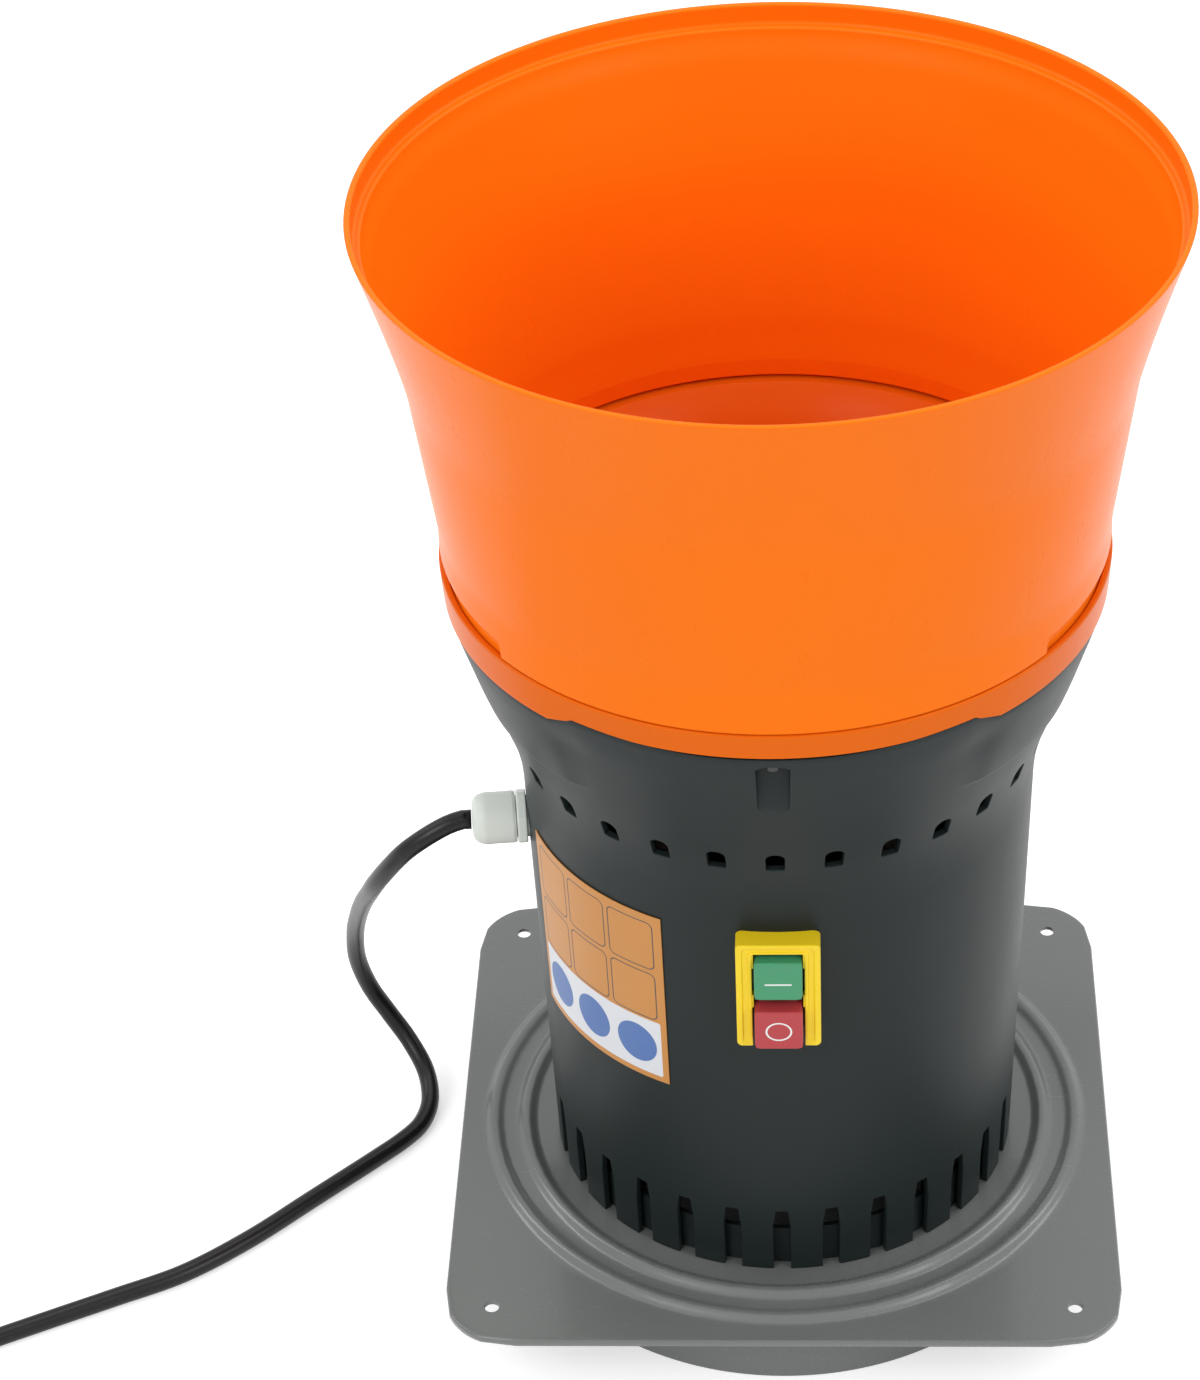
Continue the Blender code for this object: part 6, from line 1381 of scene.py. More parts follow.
@dataclass
class Hopper:
    """Orange extension with its lid seat, and the funnel ring under it."""

    spigot_radius: float = 149.9 * MM
    spigot_wall: float = 3.0 * MM
    spigot_low: float = 347.0 * MM
    skirt_radius: float = 152.7 * MM
    skirt_low: float = 353.9 * MM
    skirt_top: float = 375.0 * MM
    notch_top: float = 362.0 * MM
    notch_start: float = 51.5
    flare_start: float = 452.0 * MM
    rim: float = 529.3 * MM
    slope: float = 0.129
    reach: float = 11.0 * MM
    power: float = 1.3
    wall: float = 3.0 * MM
    seat_depth: float = 10.0 * MM
    seat_ledge: float = 3.6 * MM
    rim_wall: float = 3.2 * MM
    ring_floor: float = 345.7 * MM
    lip_wall: float = 3.1 * MM
    mouth: float = 143.0 * MM
    throat: float = 128.0 * MM
    throat_rise: float = 330.7 * MM
    outlet_rise: float = 242.0 * MM
    spigot_foot: float = 234.9 * MM
    outlet_y: float = 83.5 * MM
    outlet_half: Pair = (24.0 * MM, 17.5 * MM)
    outlet_wall: float = 2.5 * MM

    def radius(self, rise: Array) -> Array:
        """Outer radius of the extension: straight slope, then a flare of reach times s^power."""
        line = self.skirt_radius + self.slope * np.maximum(rise - self.skirt_top, 0.0)
        share = np.clip((rise - self.flare_start) / (self.rim - self.flare_start), 0.0, 1.0)
        return line + self.reach * share ** self.power

    def wall_profile(self, skirt_low: float) -> Array:
        """Outline of the wall, up its outside and down its inside, for one height of the skirt's edge."""
        high = np.linspace(self.skirt_top, self.rim - 2.0 * MM, 26)
        outer = np.stack([self.radius(high), high], -1)
        edge = rounded([(self.spigot_radius, self.spigot_low + 2.0 * MM), (self.spigot_radius, skirt_low),
                        (self.skirt_radius, skirt_low), (self.skirt_radius, self.skirt_top - 4.0 * MM)],
                       [0, 0.3 * MM, 0.9 * MM, 0], 4)
        rim_radius = float(self.radius(np.array(self.rim)))
        seat = self.rim - self.seat_depth
        inner_rim = rim_radius - self.rim_wall
        rim = rounded([(float(outer[-1, 0]), float(outer[-1, 1])), (rim_radius, self.rim),
                       (inner_rim, self.rim), (inner_rim, seat), (inner_rim - self.seat_ledge, seat),
                       (inner_rim - self.seat_ledge - 0.7 * MM, seat - 5.0 * MM)],
                      [0, 1.3 * MM, 1.2 * MM, 1.6 * MM, 1.4 * MM, 0], 5)
        down = np.linspace(seat - 9.0 * MM, self.skirt_top, 22)
        thicker = 0.6 * MM * smooth_step((down - 490.0 * MM) / (20.0 * MM))
        inner = np.stack([self.radius(down) - self.wall - thicker, down], -1)
        spigot_inner = self.spigot_radius - self.spigot_wall
        foot = rounded([(self.skirt_radius - self.wall, self.skirt_top - 3.0 * MM),
                        (spigot_inner + 1.0 * MM, self.notch_top), (spigot_inner, self.notch_top - 6.0 * MM),
                        (spigot_inner, self.spigot_low), (self.spigot_radius, self.spigot_low),
                        (self.spigot_radius, self.spigot_low + 2.0 * MM)],
                       [0, 6.0 * MM, 6.0 * MM, 0.9 * MM, 0.9 * MM, 0], 4)
        return np.concatenate([edge, outer, rim[1:], inner, foot])

    def extension(self) -> Skin:
        """Wall carried round the axis; at the sides its skirt ends higher, in a notch."""
        starts = [self.notch_start - 0.25, self.notch_start + 0.25]
        marks = np.array([starts[0], starts[1], 180 - starts[1], 180 - starts[0]])
        marks = np.concatenate([marks, 360 - marks])
        columns = SEAM.columns(marks)
        side = np.degrees(SEAM.fold(columns)) > self.notch_start
        plain, notched = self.wall_profile(self.skirt_low), self.wall_profile(self.notch_top)
        profile = np.where(side[None, :, None], notched[:, None], plain[:, None])
        return Skin().grid(around(profile[..., 0], columns[None], PLATE_TOP + profile[..., 1]))

    def outlet(self, angle: Array, grow: float, rise: float) -> Array:
        """Ring round the outlet, a near rectangle at the same angles as the hopper's."""
        flat = superellipse(angle - math.pi / 2, self.outlet_half[0] + grow, self.outlet_half[1] + grow, 5.0)
        return np.stack([flat[:, 0], self.outlet_y + flat[:, 1], np.full(len(angle), PLATE_TOP + rise)], -1)

    def funnel(self) -> Skin:
        """Ring round the housing's top, side skirts and the funnel down to the outlet.

        Rings of points at the same angles are joined: circles down to the throat, then a
        ring that goes evenly from the throat's circle to the outlet's rectangle.
        """
        columns = SEAM.columns()
        share = SEAM.side_share(columns)
        seam = SEAM.seam + SEAM_GAP
        low = seam - (SEAM.seam - SEAM.side_seam) * share
        line = rounded([(SEAM.skirt_inner, 4.0 * MM), (SEAM.skirt_inner, 0.0), (SEAM.seam_radius, 0.0),
                        (SEAM.seam_radius + 0.5 * MM, 5.5 * MM)], [0, 0.2 * MM, 0.3 * MM, 0], 4)[1:]
        foot = np.stack([np.broadcast_to(line[:, None, 0], (len(line), len(columns))),
                         low[None] + line[:, None, 1]], -1)
        lip = rounded([(SEAM.lip_radius - 0.25 * MM, SEAM.lip - 4.0 * MM), (SEAM.lip_radius, SEAM.lip),
                       (SEAM.lip_radius - self.lip_wall, SEAM.lip),
                       (SEAM.lip_radius - self.lip_wall, self.ring_floor), (self.mouth, self.ring_floor),
                       (self.throat, self.throat_rise)],
                      [0, 0.9 * MM, 0.9 * MM, 0.8 * MM, 1.5 * MM, 0], 4)
        lip = np.broadcast_to(lip[:-1, None], (len(lip) - 1, len(columns), 2))
        around_rows = np.concatenate([foot, lip])
        top = around(around_rows[..., 0], columns[None], PLATE_TOP + around_rows[..., 1])
        circle = around(self.throat, columns, PLATE_TOP + self.throat_rise)
        hole = self.outlet(columns, 0.0, self.outlet_rise)
        blend = np.linspace(0.0, 1.0, 17)[:, None, None]
        cone = circle[None] * (1 - blend) + hole[None] * blend
        mouth = np.stack([self.outlet(columns, 0.0, self.spigot_foot),
                          self.outlet(columns, self.outlet_wall, self.spigot_foot),
                          self.outlet(columns, self.outlet_wall, self.outlet_rise)])
        grow = self.wall * 1.35
        outer = around(self.throat + grow, columns, PLATE_TOP + self.throat_rise)
        back = mouth[-1][None] * (1 - blend) + outer[None] * blend
        below = self.mouth - (self.mouth - self.throat) / (self.ring_floor - self.throat_rise) * (
            self.ring_floor - seam) + grow
        under = np.stack([around(below, columns, PLATE_TOP + seam),
                          around(SEAM.skirt_inner, columns, PLATE_TOP + seam), top[0]])
        return Skin().grid(np.concatenate([top, cone, mouth, back, under]))

    def build(self) -> None:
        """Make both orange pieces."""
        put(self.extension(), "hopper_wall", ORANGE, Body.HOPPER, ("hopper_extension",),
            sharp=50)
        # The funnel ring takes the darker orange copy, which is painted shade.
        put(self.funnel(), "funnel_ring", SHADED_RING_ORANGE, Body.MILL, ("hopper_funnel",),
            sharp=50)


@dataclass
class Plate:
    """Square pressed plate with two round ribs and its corner holes, and the drum under it."""

    half: float = 163.0 * MM
    corner: float = 31.5 * MM
    thickness: float = 2.0 * MM
    hem: float = 3.6 * MM
    edge: float = 1.3 * MM
    hub: float = 30.0 * MM
    inner_rib: float = 130.5 * MM
    outer_rib: float = 147.0 * MM
    rib_half: float = 6.2 * MM
    rib_height: float = 3.0 * MM
    ribs_end: float = 155.7 * MM
    hole_place: float = 140.0 * MM
    hole_radius: float = 3.5 * MM
    drum_radius: float = 138.8 * MM
    drum_wall: float = 2.0 * MM
    drum_flange: float = 8.0 * MM
    drum_top: float = 46.7 * MM
    hub_rings: Row = (70, 105, 118)
    ray_angles: Row = (7, 12, 17, 22, 28, 34, 40, 45, 50, 56, 62, 68, 73, 78, 83)
    hole_rays: int = 9
    hole_rows: tuple[int, int] = (4, 12)
    hole_edge: float = 0.35 * MM
    field_start: Row = (0.0, 0.12, 0.28, 0.44)
    field_end: Row = (0.92, 1.0)

    def rib(self, radius: Array) -> Array:
        """Height of the ribs: h (1 + cos(pi d / w)) / 2 within w of a crest, its crown flattened."""
        total = np.zeros_like(radius)
        for crest in (self.inner_rib, self.outer_rib):
            share = np.clip(np.abs(radius - crest) / self.rib_half, 0.0, 1.0)
            total = total + self.rib_height * np.minimum((0.5 + 0.5 * np.cos(math.pi * share)) * 1.06, 1.0)
        return total

    def outline(self, angle: Array, inset: float) -> Array:
        """Rounded square at given angles, found by halving along each ray."""
        rays = np.stack([np.cos(angle), np.sin(angle)], -1) * 2.0 * self.half
        half, radius = self.half - inset, max(self.corner - inset, 1.0 * MM)
        return star_outline(rays, lambda p: slab_distance(p, (half, half), radius, radius))[0]

    def angles(self) -> Array:
        """Angles over a whole turn, close together where a corner hole is."""
        near = np.linspace(-3.0, 3.0, self.hole_rays)
        quarter = 45.0 + np.concatenate([near, self.ray_angles])
        return np.radians(np.append(np.concatenate([quarter + 90 * i for i in range(4)]), 42.0 + 360))

    def sheet(self) -> Skin:
        """Top, rolled edge and underside of the plate."""
        skin = Skin()
        angle = self.angles()
        polar = np.stack([np.cos(angle), np.sin(angle)], -1)
        flat, start = self.outline(angle, self.edge), polar * self.ribs_end
        shares = np.concatenate([self.field_start, np.linspace(0.53, 0.83, 9), self.field_end])
        shares = shares[:, None, None]
        field = start[None] * (1 - shares) + flat[None] * shares
        ribs = [np.linspace(crest - self.rib_half, crest + self.rib_half, 17)
                for crest in (self.inner_rib, self.outer_rib)]
        crossing = np.concatenate([[self.hub], np.array(self.hub_rings) * MM, *ribs, [self.ribs_end]])
        middle = polar[None] * crossing[:, None, None]
        for drop, flip in ((0.0, True), (self.thickness, False)):
            skin.grid(at_level(middle, PLATE_TOP - drop + self.rib(crossing)[:, None]), flip=flip)
            self.field(skin, at_level(field, PLATE_TOP - drop), flip)
        for i in range(4):
            self.hole(skin, field, self.quarter * i)
        self.rim(skin, angle)
        hub = np.stack([polar * self.hub] * 2)
        skin.grid(at_level(hub, np.array([[PLATE_TOP], [PLATE_TOP - self.thickness]])))
        return skin

    @property
    def quarter(self) -> int:
        """Number of rays in a quarter turn."""
        return self.hole_rays + len(self.ray_angles)

    def field(self, skin: Skin, points: Array, flip: bool) -> None:
        """Flat field outside the ribs, left open where a hole's block is."""
        low, high = self.hole_rows
        skin.grid(points[:low + 1], flip=flip)
        skin.grid(points[high:], flip=flip)
        for i in range(4):
            first = self.quarter * i + self.hole_rays - 1
            skin.grid(points[low:high + 1, first:self.quarter * (i + 1) + 1], flip=flip)

    def hole(self, skin: Skin, field: Array, first: int) -> None:
        """Block of the field round a corner hole: circles blended into the block's border."""
        low, high = self.hole_rows
        block = field[low:high + 1, first:first + self.hole_rays]
        border = np.concatenate([block[0, :-1], block[:-1, -1], block[-1, :0:-1], block[::-1, 0]])
        centre = np.sign(block.mean((0, 1))) * self.hole_place
        spoke = unit(border - centre)
        inward, down = rolled(self.hole_edge, 4)
        radii = self.hole_radius + np.append(self.hole_edge * 1.8, inward)
        circles = centre + spoke[None] * radii[:, None, None]
        share = np.array([0.0, 0.5])[:, None, None]
        far = border[None] * (1 - share) + circles[:1] * share
        flat = np.concatenate([far, circles, circles[-1:], far[::-1]])
        drop = np.concatenate([np.zeros(3), down, np.full(3, self.thickness)])
        skin.grid(at_level(flat, PLATE_TOP - drop[:, None]), flip=True)

    def rim(self, skin: Skin, angle: Array) -> None:
        """Edge rolled down round the plate: an arc, the hem's wall and its inside."""
        inward, down = rolled(self.edge, 6)
        inset = np.append(inward, [0.0, 0.3 * MM, 1.9 * MM, 2.2 * MM, 2.2 * MM, self.edge + 1.6 * MM])
        near = self.hem - 0.3 * MM
        drop = np.append(down, [near, self.hem, self.hem, near, self.thickness, self.thickness])
        rings = np.stack([self.outline(angle, float(value)) for value in inset])
        skin.grid(at_level(rings, PLATE_TOP - drop[:, None]), flip=True)
        last = np.stack([rings[-1], self.outline(angle, self.edge)])
        skin.grid(at_level(last, PLATE_TOP - self.thickness), flip=True)

    def drum(self) -> Skin:
        """Round skirt that the mill stands on, with a flange under the plate and a curled foot."""
        outer, inner, top = self.drum_radius, self.drum_radius - self.drum_wall, self.drum_top
        line = rounded([(inner, 0.0), (outer, 0.0), (outer, top), (inner - self.drum_flange, top),
                        (inner - self.drum_flange, top - self.drum_wall), (inner, top - self.drum_wall)],
                       [0.8 * MM, 0.9 * MM, 1.4 * MM, 0.3 * MM, 0.3 * MM, 1.0 * MM], 4, loop=True)
        return Skin().grid(turned(line, full_turn(160)))

    def build(self) -> None:
        """Make the plate and the drum."""
        put(self.sheet(), "barrel_plate", GREY_PAINT, Body.MILL, ("base_plate",), sharp=50)
        put(self.drum(), "barrel_skirt", GREY_PAINT, Body.MILL, ("chamber_drum",), sharp=50)


@dataclass
class Switch:
    """Yellow surround with two push buttons, drawn facing -Y."""

    middle: float = 0.5 * MM
    half: float = 19.25 * MM
    low: float = 207.8 * MM
    high: float = 267.3 * MM
    front: float = 130.5 * MM
    window_half: float = 12.0 * MM
    window_high: float = 262.0 * MM
    corner: float = 2.4 * MM
    back: float = 119.7 * MM
    face: float = 4.0 * MM
    groove: Triple = (0.36, 0.80, 0.9 * MM)
    groove_slope: float = 0.07
    groove_share: Pair = (0.3, 0.86)
    groove_foot: Pair = (1.2 * MM, 2.0 * MM)
    button_half: float = 11.0 * MM
    button_back: float = 122.0 * MM
    edge: float = 0.8 * MM
    foot_round: float = 2.0 * MM
    inner_corner: float = 1.3 * MM
    face_edge: Pair = (3.0 * MM, 0.1 * MM)
    dish: float = 0.3 * MM
    start_span: Pair = (236.9 * MM, 258.9 * MM)
    start_front: float = 133.0 * MM
    stop_span: Pair = (209.7 * MM, 231.8 * MM)
    stop_front: float = 135.5 * MM
    tab_section: tuple[Pair, ...] = ((11.25, 0.0), (12.25, 0.0), (12.25, 3.6), (11.25, 3.6))
    tab_spans: tuple[Pair, ...] = ((204.5, 213.6), (181.5, 188.6))
    bar_half: Pair = (6.2 * MM, 0.42 * MM)
    bar_place: Pair = (246.0 * MM, 132.72 * MM)
    ring_half: Pair = (6.1 * MM, 5.4 * MM)
    ring_place: Pair = (220.0 * MM, 135.22 * MM)
    ring_hollow: float = 0.86

    def arch(self, share: Array) -> Array:
        """Upright arch, from the right foot over the top to the left foot.

        Args:
            share: 0 at the surround's outer edge and 1 at its window, one for each line.

        Returns:
            Lines by points of (x, z).
        """
        share = np.atleast_1d(share)[:, None]
        half = self.half + (self.window_half - self.half) * share
        top = self.high + (self.window_high - self.high) * share
        radius = self.corner + (self.inner_corner - self.corner) * share
        turn = np.linspace(0.0, math.pi / 2, 7)[None]
        right = np.stack(np.broadcast_arrays(half - radius + radius * np.cos(turn),
                                             top - radius + radius * np.sin(turn)), -1)
        left = right[:, ::-1] * [-1.0, 1.0]
        climb = np.concatenate([np.linspace(0.0, 1.0, 6) ** 2 * self.foot_round, [3.0 * MM, 4.5 * MM]])
        straight = (top - radius - self.low) * np.linspace(0.15, 0.96, 7)
        climb = np.concatenate([climb[None] + 0 * half, straight], 1)
        cut = 1.0 - np.sqrt(np.clip(1.0 - (1.0 - climb / self.foot_round) ** 2, 0.0, 1.0))
        cut = np.where(climb < self.foot_round, cut, 0.0) * self.foot_round
        cut = cut * np.clip(1 - 2.2 * share, 0.0, 1.0)
        leg = np.stack([half - cut, self.low + climb], -1)
        line = np.concatenate([leg, right, left, leg[:, ::-1] * [-1.0, 1.0]], 1)
        return line + [self.middle, 0.0]

    def surround(self) -> Skin:
        """Section carried along the arch: side wall, rounded border, groove, inner edge and window wall."""
        g0, g1, deep = self.groove
        slope, (first, last), (foot, fade) = self.groove_slope, self.groove_share, self.groove_foot
        scale = self.half - self.window_half
        line = rounded([(0.0, self.front - self.back), (0.0, 0.0), (g0 * scale, 0.0),
                        ((g0 + slope) * scale, deep), ((g1 - slope) * scale, deep), (g1 * scale, 0.0),
                        (scale, 0.0), (scale, self.face)],
                       [0, 0.7 * MM, 0.4 * MM, 0.5 * MM, 0.5 * MM, 0.4 * MM, 0.4 * MM, 0], 4)
        arch = self.arch(line[:, 0] / scale)
        sunk = ((line[:, 0] > first * scale) & (line[:, 0] < last * scale))[:, None]
        closed = smooth_step((arch[..., 1] - self.low - foot) / fade)
        sink = line[:, 1:] * np.where(sunk, closed, 1.0)
        points = facing(arch, self.front - sink)
        hidden = points[[-1, 0]].copy()
        hidden[0, :, 1] = -(self.front - self.face)
        skin = Skin().grid(points).grid(hidden)
        for end, flip in ((0, False), (-1, True)):
            skin.fan(points[:, end], points[0, end], flip)
        return skin

    def cap(self, low: float, high: float, front: float) -> Skin:
        """Button: rounded rectangles from its back to its dished face.

        The face sinks just inside its edge and is flat from there on.

        Args:
            low: Height of its lower side.
            high: Height of its upper side.
            front: Distance of its face from the axis.

        Returns:
            The button's skin.
        """
        border, drop = self.face_edge
        rows = rounded([(0.0, front - self.button_back), (0.0, 0.0), self.face_edge], [0, self.edge, 0], 5)
        share = np.linspace(0.0, 1.0, 9)[1:]
        half = np.array([self.button_half, (high - low) / 2])
        inset = np.append(rows[:, 0], border + (half[1] - border) * share)
        drop = np.append(rows[:, 1], drop + self.dish * smooth_step(share * 4.5))
        turn = full_turn(48)
        rays = np.stack([np.cos(turn), np.sin(turn)], -1) * 0.05
        unit = star_outline(rays, lambda p: slab_distance(p, half, 1.6 * MM, 1.6 * MM))[0]
        size = 1.0 - inset[:, None] / half[None]
        flat = unit[None] * size[:, None]
        points = facing(flat + [self.middle, (low + high) / 2], (front - drop)[:, None])
        return Skin().grid(points).fan(points[0], points[0].mean(0), flip=True)

    def tabs(self) -> Skin:
        """Four upright guides at the window's sides, above each button's face."""
        skin = Skin()
        for side in (-1.0, 1.0):
            for low, high in self.tab_spans:
                line = rounded(self.tab_section, 0.3, 2, loop=True) * MM
                rise = PLATE_TOP + np.array([low, low, high, high]) * MM
                size = np.array([0.0, 1.0, 1.0, 0.0])[:, None, None]
                centre = line[:-1].mean(0)
                ring = centre + (line[None] - centre) * size
                x = self.middle + side * ring[..., 0]
                points = np.stack([x, -(self.front - 0.5 * MM - ring[..., 1]),
                                   np.broadcast_to(rise[:, None], x.shape)], -1)
                skin.grid(points, flip=side < 0)
        return skin

    def inlay(self, half: Pair, centre: float, front: float, hollow: float) -> Skin:
        """Flat mark with a rounded edge; a ring if it is hollow.

        Args:
            half: Half of its width and height.
            centre: Height of its middle.
            front: Distance of its face from the axis.
            hollow: Share of its size that is open, or 0.

        Returns:
            The mark's skin.
        """
        power = 2.0 if hollow else 8.0
        sizes = [1.0, 1.0, 0.975, hollow + 0.025, hollow, hollow] if hollow else [1.0, 1.0, 0.94, 0.0]
        drops = [0.5, 0.04, 0.0, 0.0, 0.04, 0.5] if hollow else [0.5, 0.04, 0.0, 0.0]
        rings = superellipse(full_turn(48), *half, power)[None] * np.array(sizes)[:, None, None]
        points = facing(rings + [self.middle, centre], (front - np.array(drops) * MM)[:, None])
        skin = Skin().grid(points)
        last = points[-1] if hollow else np.broadcast_to(points[0].mean(0), points[0].shape)
        return skin.grid(np.stack([last, points[0]]))

    def build(self) -> None:
        """Make the surround, the buttons and their marks."""
        put(self.surround(), "switch_surround", YELLOW, Body.MILL, ("switch_frame",),
            sharp=45)
        put(self.tabs(), "switch_guides", YELLOW, Body.MILL, (), sharp=40)
        put(self.cap(*self.start_span, self.start_front), "start_cap", GREEN, Body.START,
            ("start_button",), sharp=60)
        put(self.cap(*self.stop_span, self.stop_front), "stop_cap", RED, Body.STOP,
            ("stop_button",), sharp=60)
        bar = self.inlay(self.bar_half, *self.bar_place, 0.0)
        put(bar, "start_mark", WHITE_MARK, Body.START, (), sharp=50)
        ring = self.inlay(self.ring_half, *self.ring_place, self.ring_hollow)
        put(ring, "stop_mark", WHITE_MARK, Body.STOP, (), sharp=50)


@dataclass
class Gland:
    """Pale nylon gland, turned round its own axis."""

    rise: float = 201.0 * MM
    angle: float = math.radians(-84)
    flange: Pair = (120.8 * MM, 125.6 * MM)
    flange_radius: float = 14.0 * MM
    thread_radius: float = 10.0 * MM
    inner_end: float = 106.0 * MM
    nut: Pair = (125.9 * MM, 147.0 * MM)
    nut_radius: float = 13.0 * MM
    bore: float = 5.0 * MM

    def stand(self) -> Matrix:
        """Carries +Z at the mill's axis to the gland's outward direction."""
        return (Matrix.Translation((0.0, 0.0, PLATE_TOP + self.rise)) @ Matrix.Rotation(self.angle, 4, "Z")
                @ Matrix.Rotation(math.pi / 2, 4, "X"))

    @staticmethod
    def hexagon(angle: Array) -> Array:
        """Share of a radius at an angle, for a hexagon with softened corners.

        A hexagon with its corners on the circle has cos(30) / cos(a - nearest flat's a).
        """
        from_flat = np.mod(angle, math.pi / 3) - math.pi / 6
        return np.minimum(math.cos(math.pi / 6) / np.cos(from_flat), 0.975)

    def turn(self, line: Array, amount: Array) -> Skin:
        """Turn a profile of (radius, height), each row partly made hexagonal."""
        angle = full_turn(96)
        share = 1.0 - amount[:, None] * (1.0 - self.hexagon(angle)[None])
        return Skin().grid(around(line[:, None, 0] * share, angle[None], line[:, None, 1]))

    def body(self) -> Skin:
        """Thread with a hexagonal flange."""
        low, high = self.flange
        line = rounded([(self.bore, self.inner_end), (self.thread_radius, self.inner_end),
                        (self.thread_radius, low), (self.flange_radius, low), (self.flange_radius, high),
                        (self.thread_radius, high), (self.thread_radius, high + 7.0 * MM),
                        (self.bore, high + 7.0 * MM)],
                       [0, 0.6 * MM, 0.3 * MM, 0.8 * MM, 1.0 * MM, 0.3 * MM, 0.6 * MM, 0], 4)
        line = np.append(line, line[:1], 0)
        amount = smooth_step((line[:, 0] - self.thread_radius - 0.3 * MM) / (1.5 * MM))
        return self.turn(line, amount).placed(self.stand())

    def dome(self) -> Skin:
        """Domed nut: faint flats on its barrel and a wide rounding at the mouth."""
        low, high = self.nut
        line = rounded([(self.thread_radius + 0.3 * MM, low), (self.nut_radius - 0.5 * MM, low),
                        (self.nut_radius, low + 1.5 * MM), (self.nut_radius - 0.1 * MM, low + 9.0 * MM),
                        (self.nut_radius - 0.5 * MM, high - 5.5 * MM),
                        (self.nut_radius - 1.9 * MM, high - 1.8 * MM),
                        (self.nut_radius - 5.0 * MM, high - 0.1 * MM), (self.bore, high),
                        (self.bore, high - 2.0 * MM), (self.thread_radius + 0.3 * MM, high - 8.0 * MM)],
                       [0, 0.4 * MM, 0.6 * MM, 9.0 * MM, 9.0 * MM, 6.0 * MM, 6.0 * MM, 0.5 * MM, 0, 0], 6)
        line = np.append(line, line[:1], 0)
        barrel = smooth_step((high - 7.0 * MM - line[:, 1]) / (5.0 * MM))
        outside = smooth_step((line[:, 0] - self.thread_radius - 1.0 * MM) / (1.0 * MM))
        return self.turn(line, barrel * outside * 0.28).placed(self.stand())

    def build(self) -> None:
        """Make both pieces."""
        put(self.body(), "gland_flange", NYLON, Body.MILL, ("gland_body",), sharp=45)
        put(self.dome(), "gland_dome", NYLON, Body.MILL, ("gland_nut",), sharp=45)


@dataclass
class SideSticker:
    """Thin film that follows the housing's left side."""

    start: float = math.radians(-69.5)
    end: float = math.radians(-26.0)
    low: float = 113.0 * MM
    height: float = 103.0 * MM
    thickness: float = 0.4 * MM
    gap: float = 0.3 * MM

    def film(self, housing: Housing) -> Skin:
        """Sheet over the housing's skin, its four edges closed."""
        across, up = np.linspace(0.0, 1.0, 49)[None], np.linspace(0.0, 1.0, 25)[:, None]
        angle = self.start + (self.end - self.start) * across
        rise = self.low + self.height * up
        prints = np.stack(np.broadcast_arrays(across * PLAIN_FILM.width, up * PLAIN_FILM.height), -1)
        front = housing.radius(rise) + self.gap + self.thickness
        outer = around(front, angle, PLATE_TOP + rise)
        inner = around(front - self.thickness, angle, PLATE_TOP + rise)
        skin = Skin().grid(outer, prints=prints).grid(inner, flip=True, prints=prints)
        for first, second, side in ((inner, outer, np.s_[0]), (outer, inner, np.s_[-1]),
                                    (outer, inner, np.s_[:, 0]), (inner, outer, np.s_[:, -1])):
            skin.grid(np.stack([first[side], second[side]]), prints=np.stack([prints[side]] * 2))
        return skin

    def build(self, housing: Housing) -> None:
        """Make the film."""
        put(self.film(housing), "side_film", PLAIN_FILM, Body.MILL, ("side_sticker",),
            sharp=50)


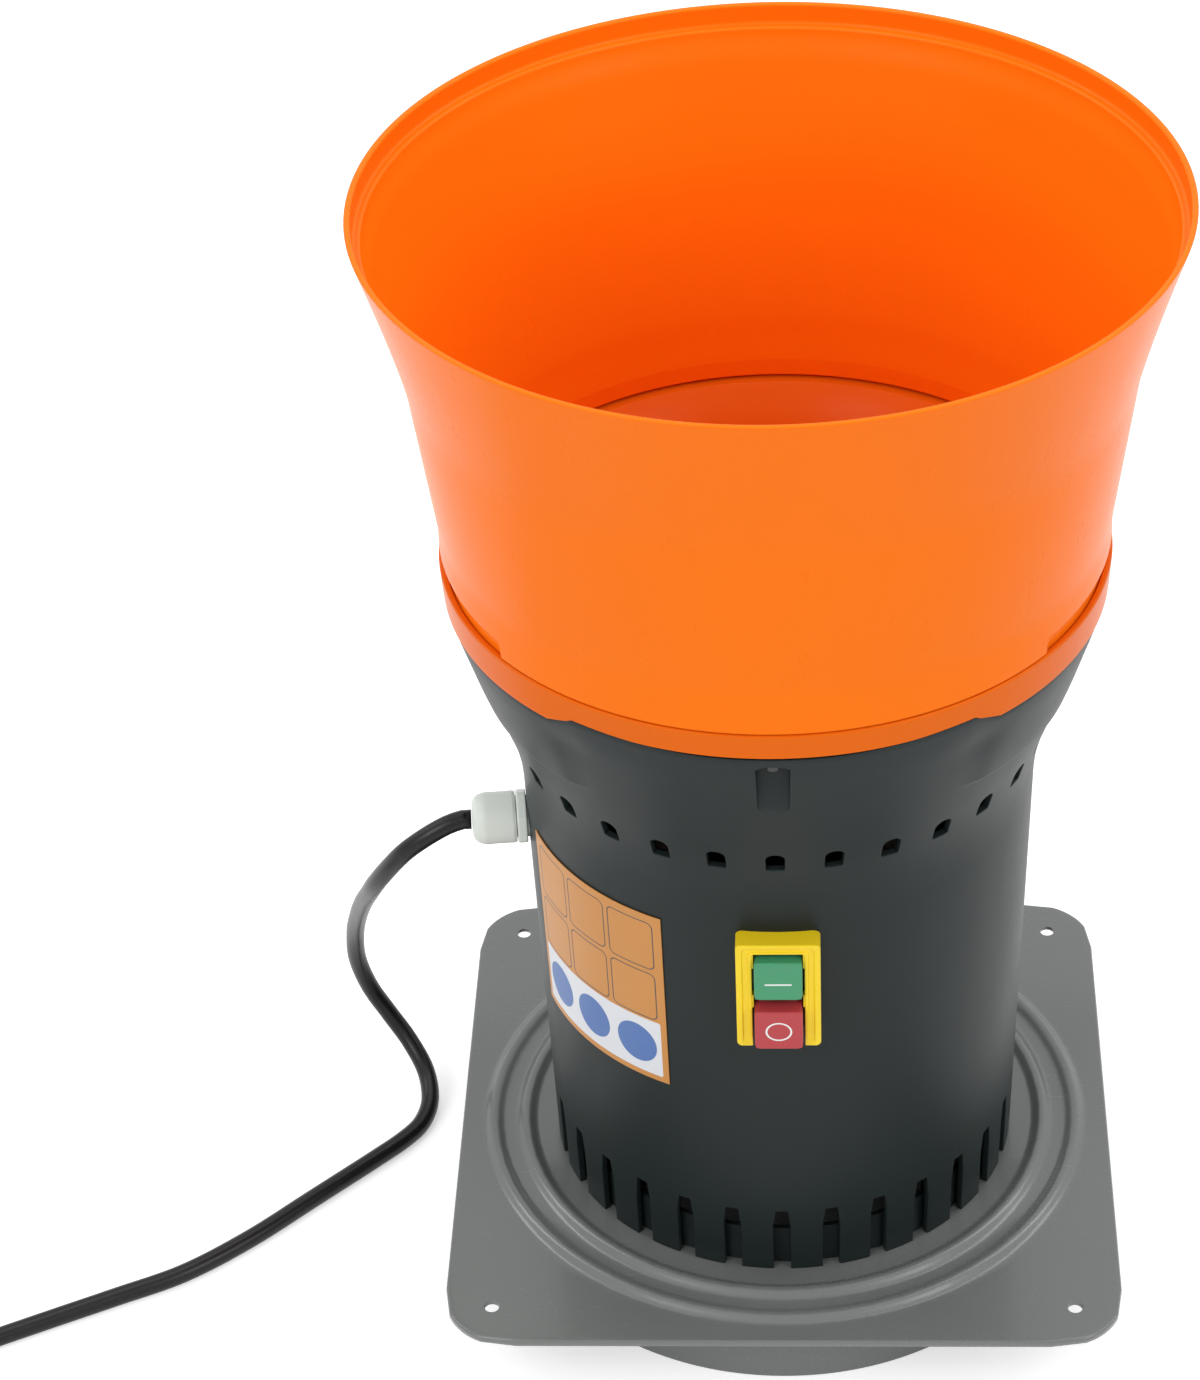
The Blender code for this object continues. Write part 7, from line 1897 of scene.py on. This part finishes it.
@dataclass
class ShutterKnob:
    """Bar grip on the shutter, ridged at its rear for the fingers."""

    middle: Triple = (0.0, 139.5 * MM, 282.7 * MM)
    half: Triple = (29.5 * MM, 5.5 * MM, 8.0 * MM)
    end_round: float = 3.5 * MM
    ridge: float = 5.0 * MM
    ridge_depth: float = 0.8 * MM
    ridged: float = 21.0 * MM

    def grip(self) -> Skin:
        """Near rectangles along X, drawn in at the ends by r (1 - sqrt(1 - s^2)), with cosine ridges."""
        reach, deep, tall = self.half
        along = reach * np.sin(np.linspace(-math.pi / 2, math.pi / 2, 141))[:, None]
        share = np.clip((np.abs(along) - reach + self.end_round) / self.end_round, 0.0, 1.0)
        inset = self.end_round * (1 - np.sqrt(1 - share ** 2))
        unit = superellipse(full_turn(56), 1.0, 1.0, 5.0)
        wave = (0.5 - 0.5 * np.cos(along / self.ridge * math.tau)) * smooth_step(
            (self.ridged - np.abs(along)) / (2.0 * MM))
        groove = self.ridge_depth * wave * smooth_step((unit[None, :, 0] - 0.55) / 0.4)
        y = (deep - inset) * unit[None, :, 0] - groove
        z = (tall - inset) * unit[None, :, 1]
        points = np.stack([np.broadcast_to(along, y.shape), y, z], -1)
        skin = Skin().grid(points)
        for end, flip in ((0, True), (-1, False)):
            skin.fan(points[end], points[end].mean(0), flip)
        return skin.placed(Matrix.Translation(self.middle))

    def build(self) -> None:
        """Make the grip."""
        put(self.grip(), "shutter_grip", BLACK, Body.SHUTTER, ("shutter_knob",), sharp=50)


class Carried:
    """Nodes that keep their own shape and get a finish."""

    finishes = {
        "orange_plastic": ORANGE, "charcoal_plastic": CHARCOAL, "grey_paint": GREY_PAINT,
        "bright_steel": BRIGHT_STEEL, "motor_iron": MOTOR_IRON, "cast_aluminium": CAST_ALUMINIUM,
        "wound_copper": COPPER, "yellow_plastic": YELLOW, "green_plastic": GREEN, "red_plastic": RED,
        "black_plastic": BLACK, "pale_grey_nylon": NYLON, "black_rubber": SEAL_RUBBER,
        "sticker_film": PLAIN_FILM,
    }
    own = {
        "ring_screw_1": DARK_STEEL, "ring_screw_2": DARK_STEEL, "run_capacitor": DRAWN_CAN,
        "shutter_plate": FLAT_STEEL, "grinding_blade": FLAT_STEEL, "sieve_plate": FLAT_STEEL,
        "feed_chute": FLAT_STEEL,
    }

    def build(self) -> None:
        """Dress every node that still shows."""
        for name, node in sorted(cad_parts.items()):
            if node.hide_render:
                continue
            for place in node.material_slots:
                finish = self.own.get(name) or self.finishes[place.material.name.split(".")[0]]
                place.material = finish.material()
            LOG.info("%s keeps its shape", name)


def main() -> None:
    """Build the studio, the cord and the mill's pieces."""
    logging.basicConfig(level=logging.INFO, format="%(name)s %(message)s")
    Studio().build()
    MainsCord().build()
    housing = Housing()
    for part in (housing, Hopper(), Plate(), Switch(), Gland()):
        part.build()
    SideSticker().build(housing)
    ShutterKnob().build()
    Carried().build()


if __name__ == "__main__":
    main()
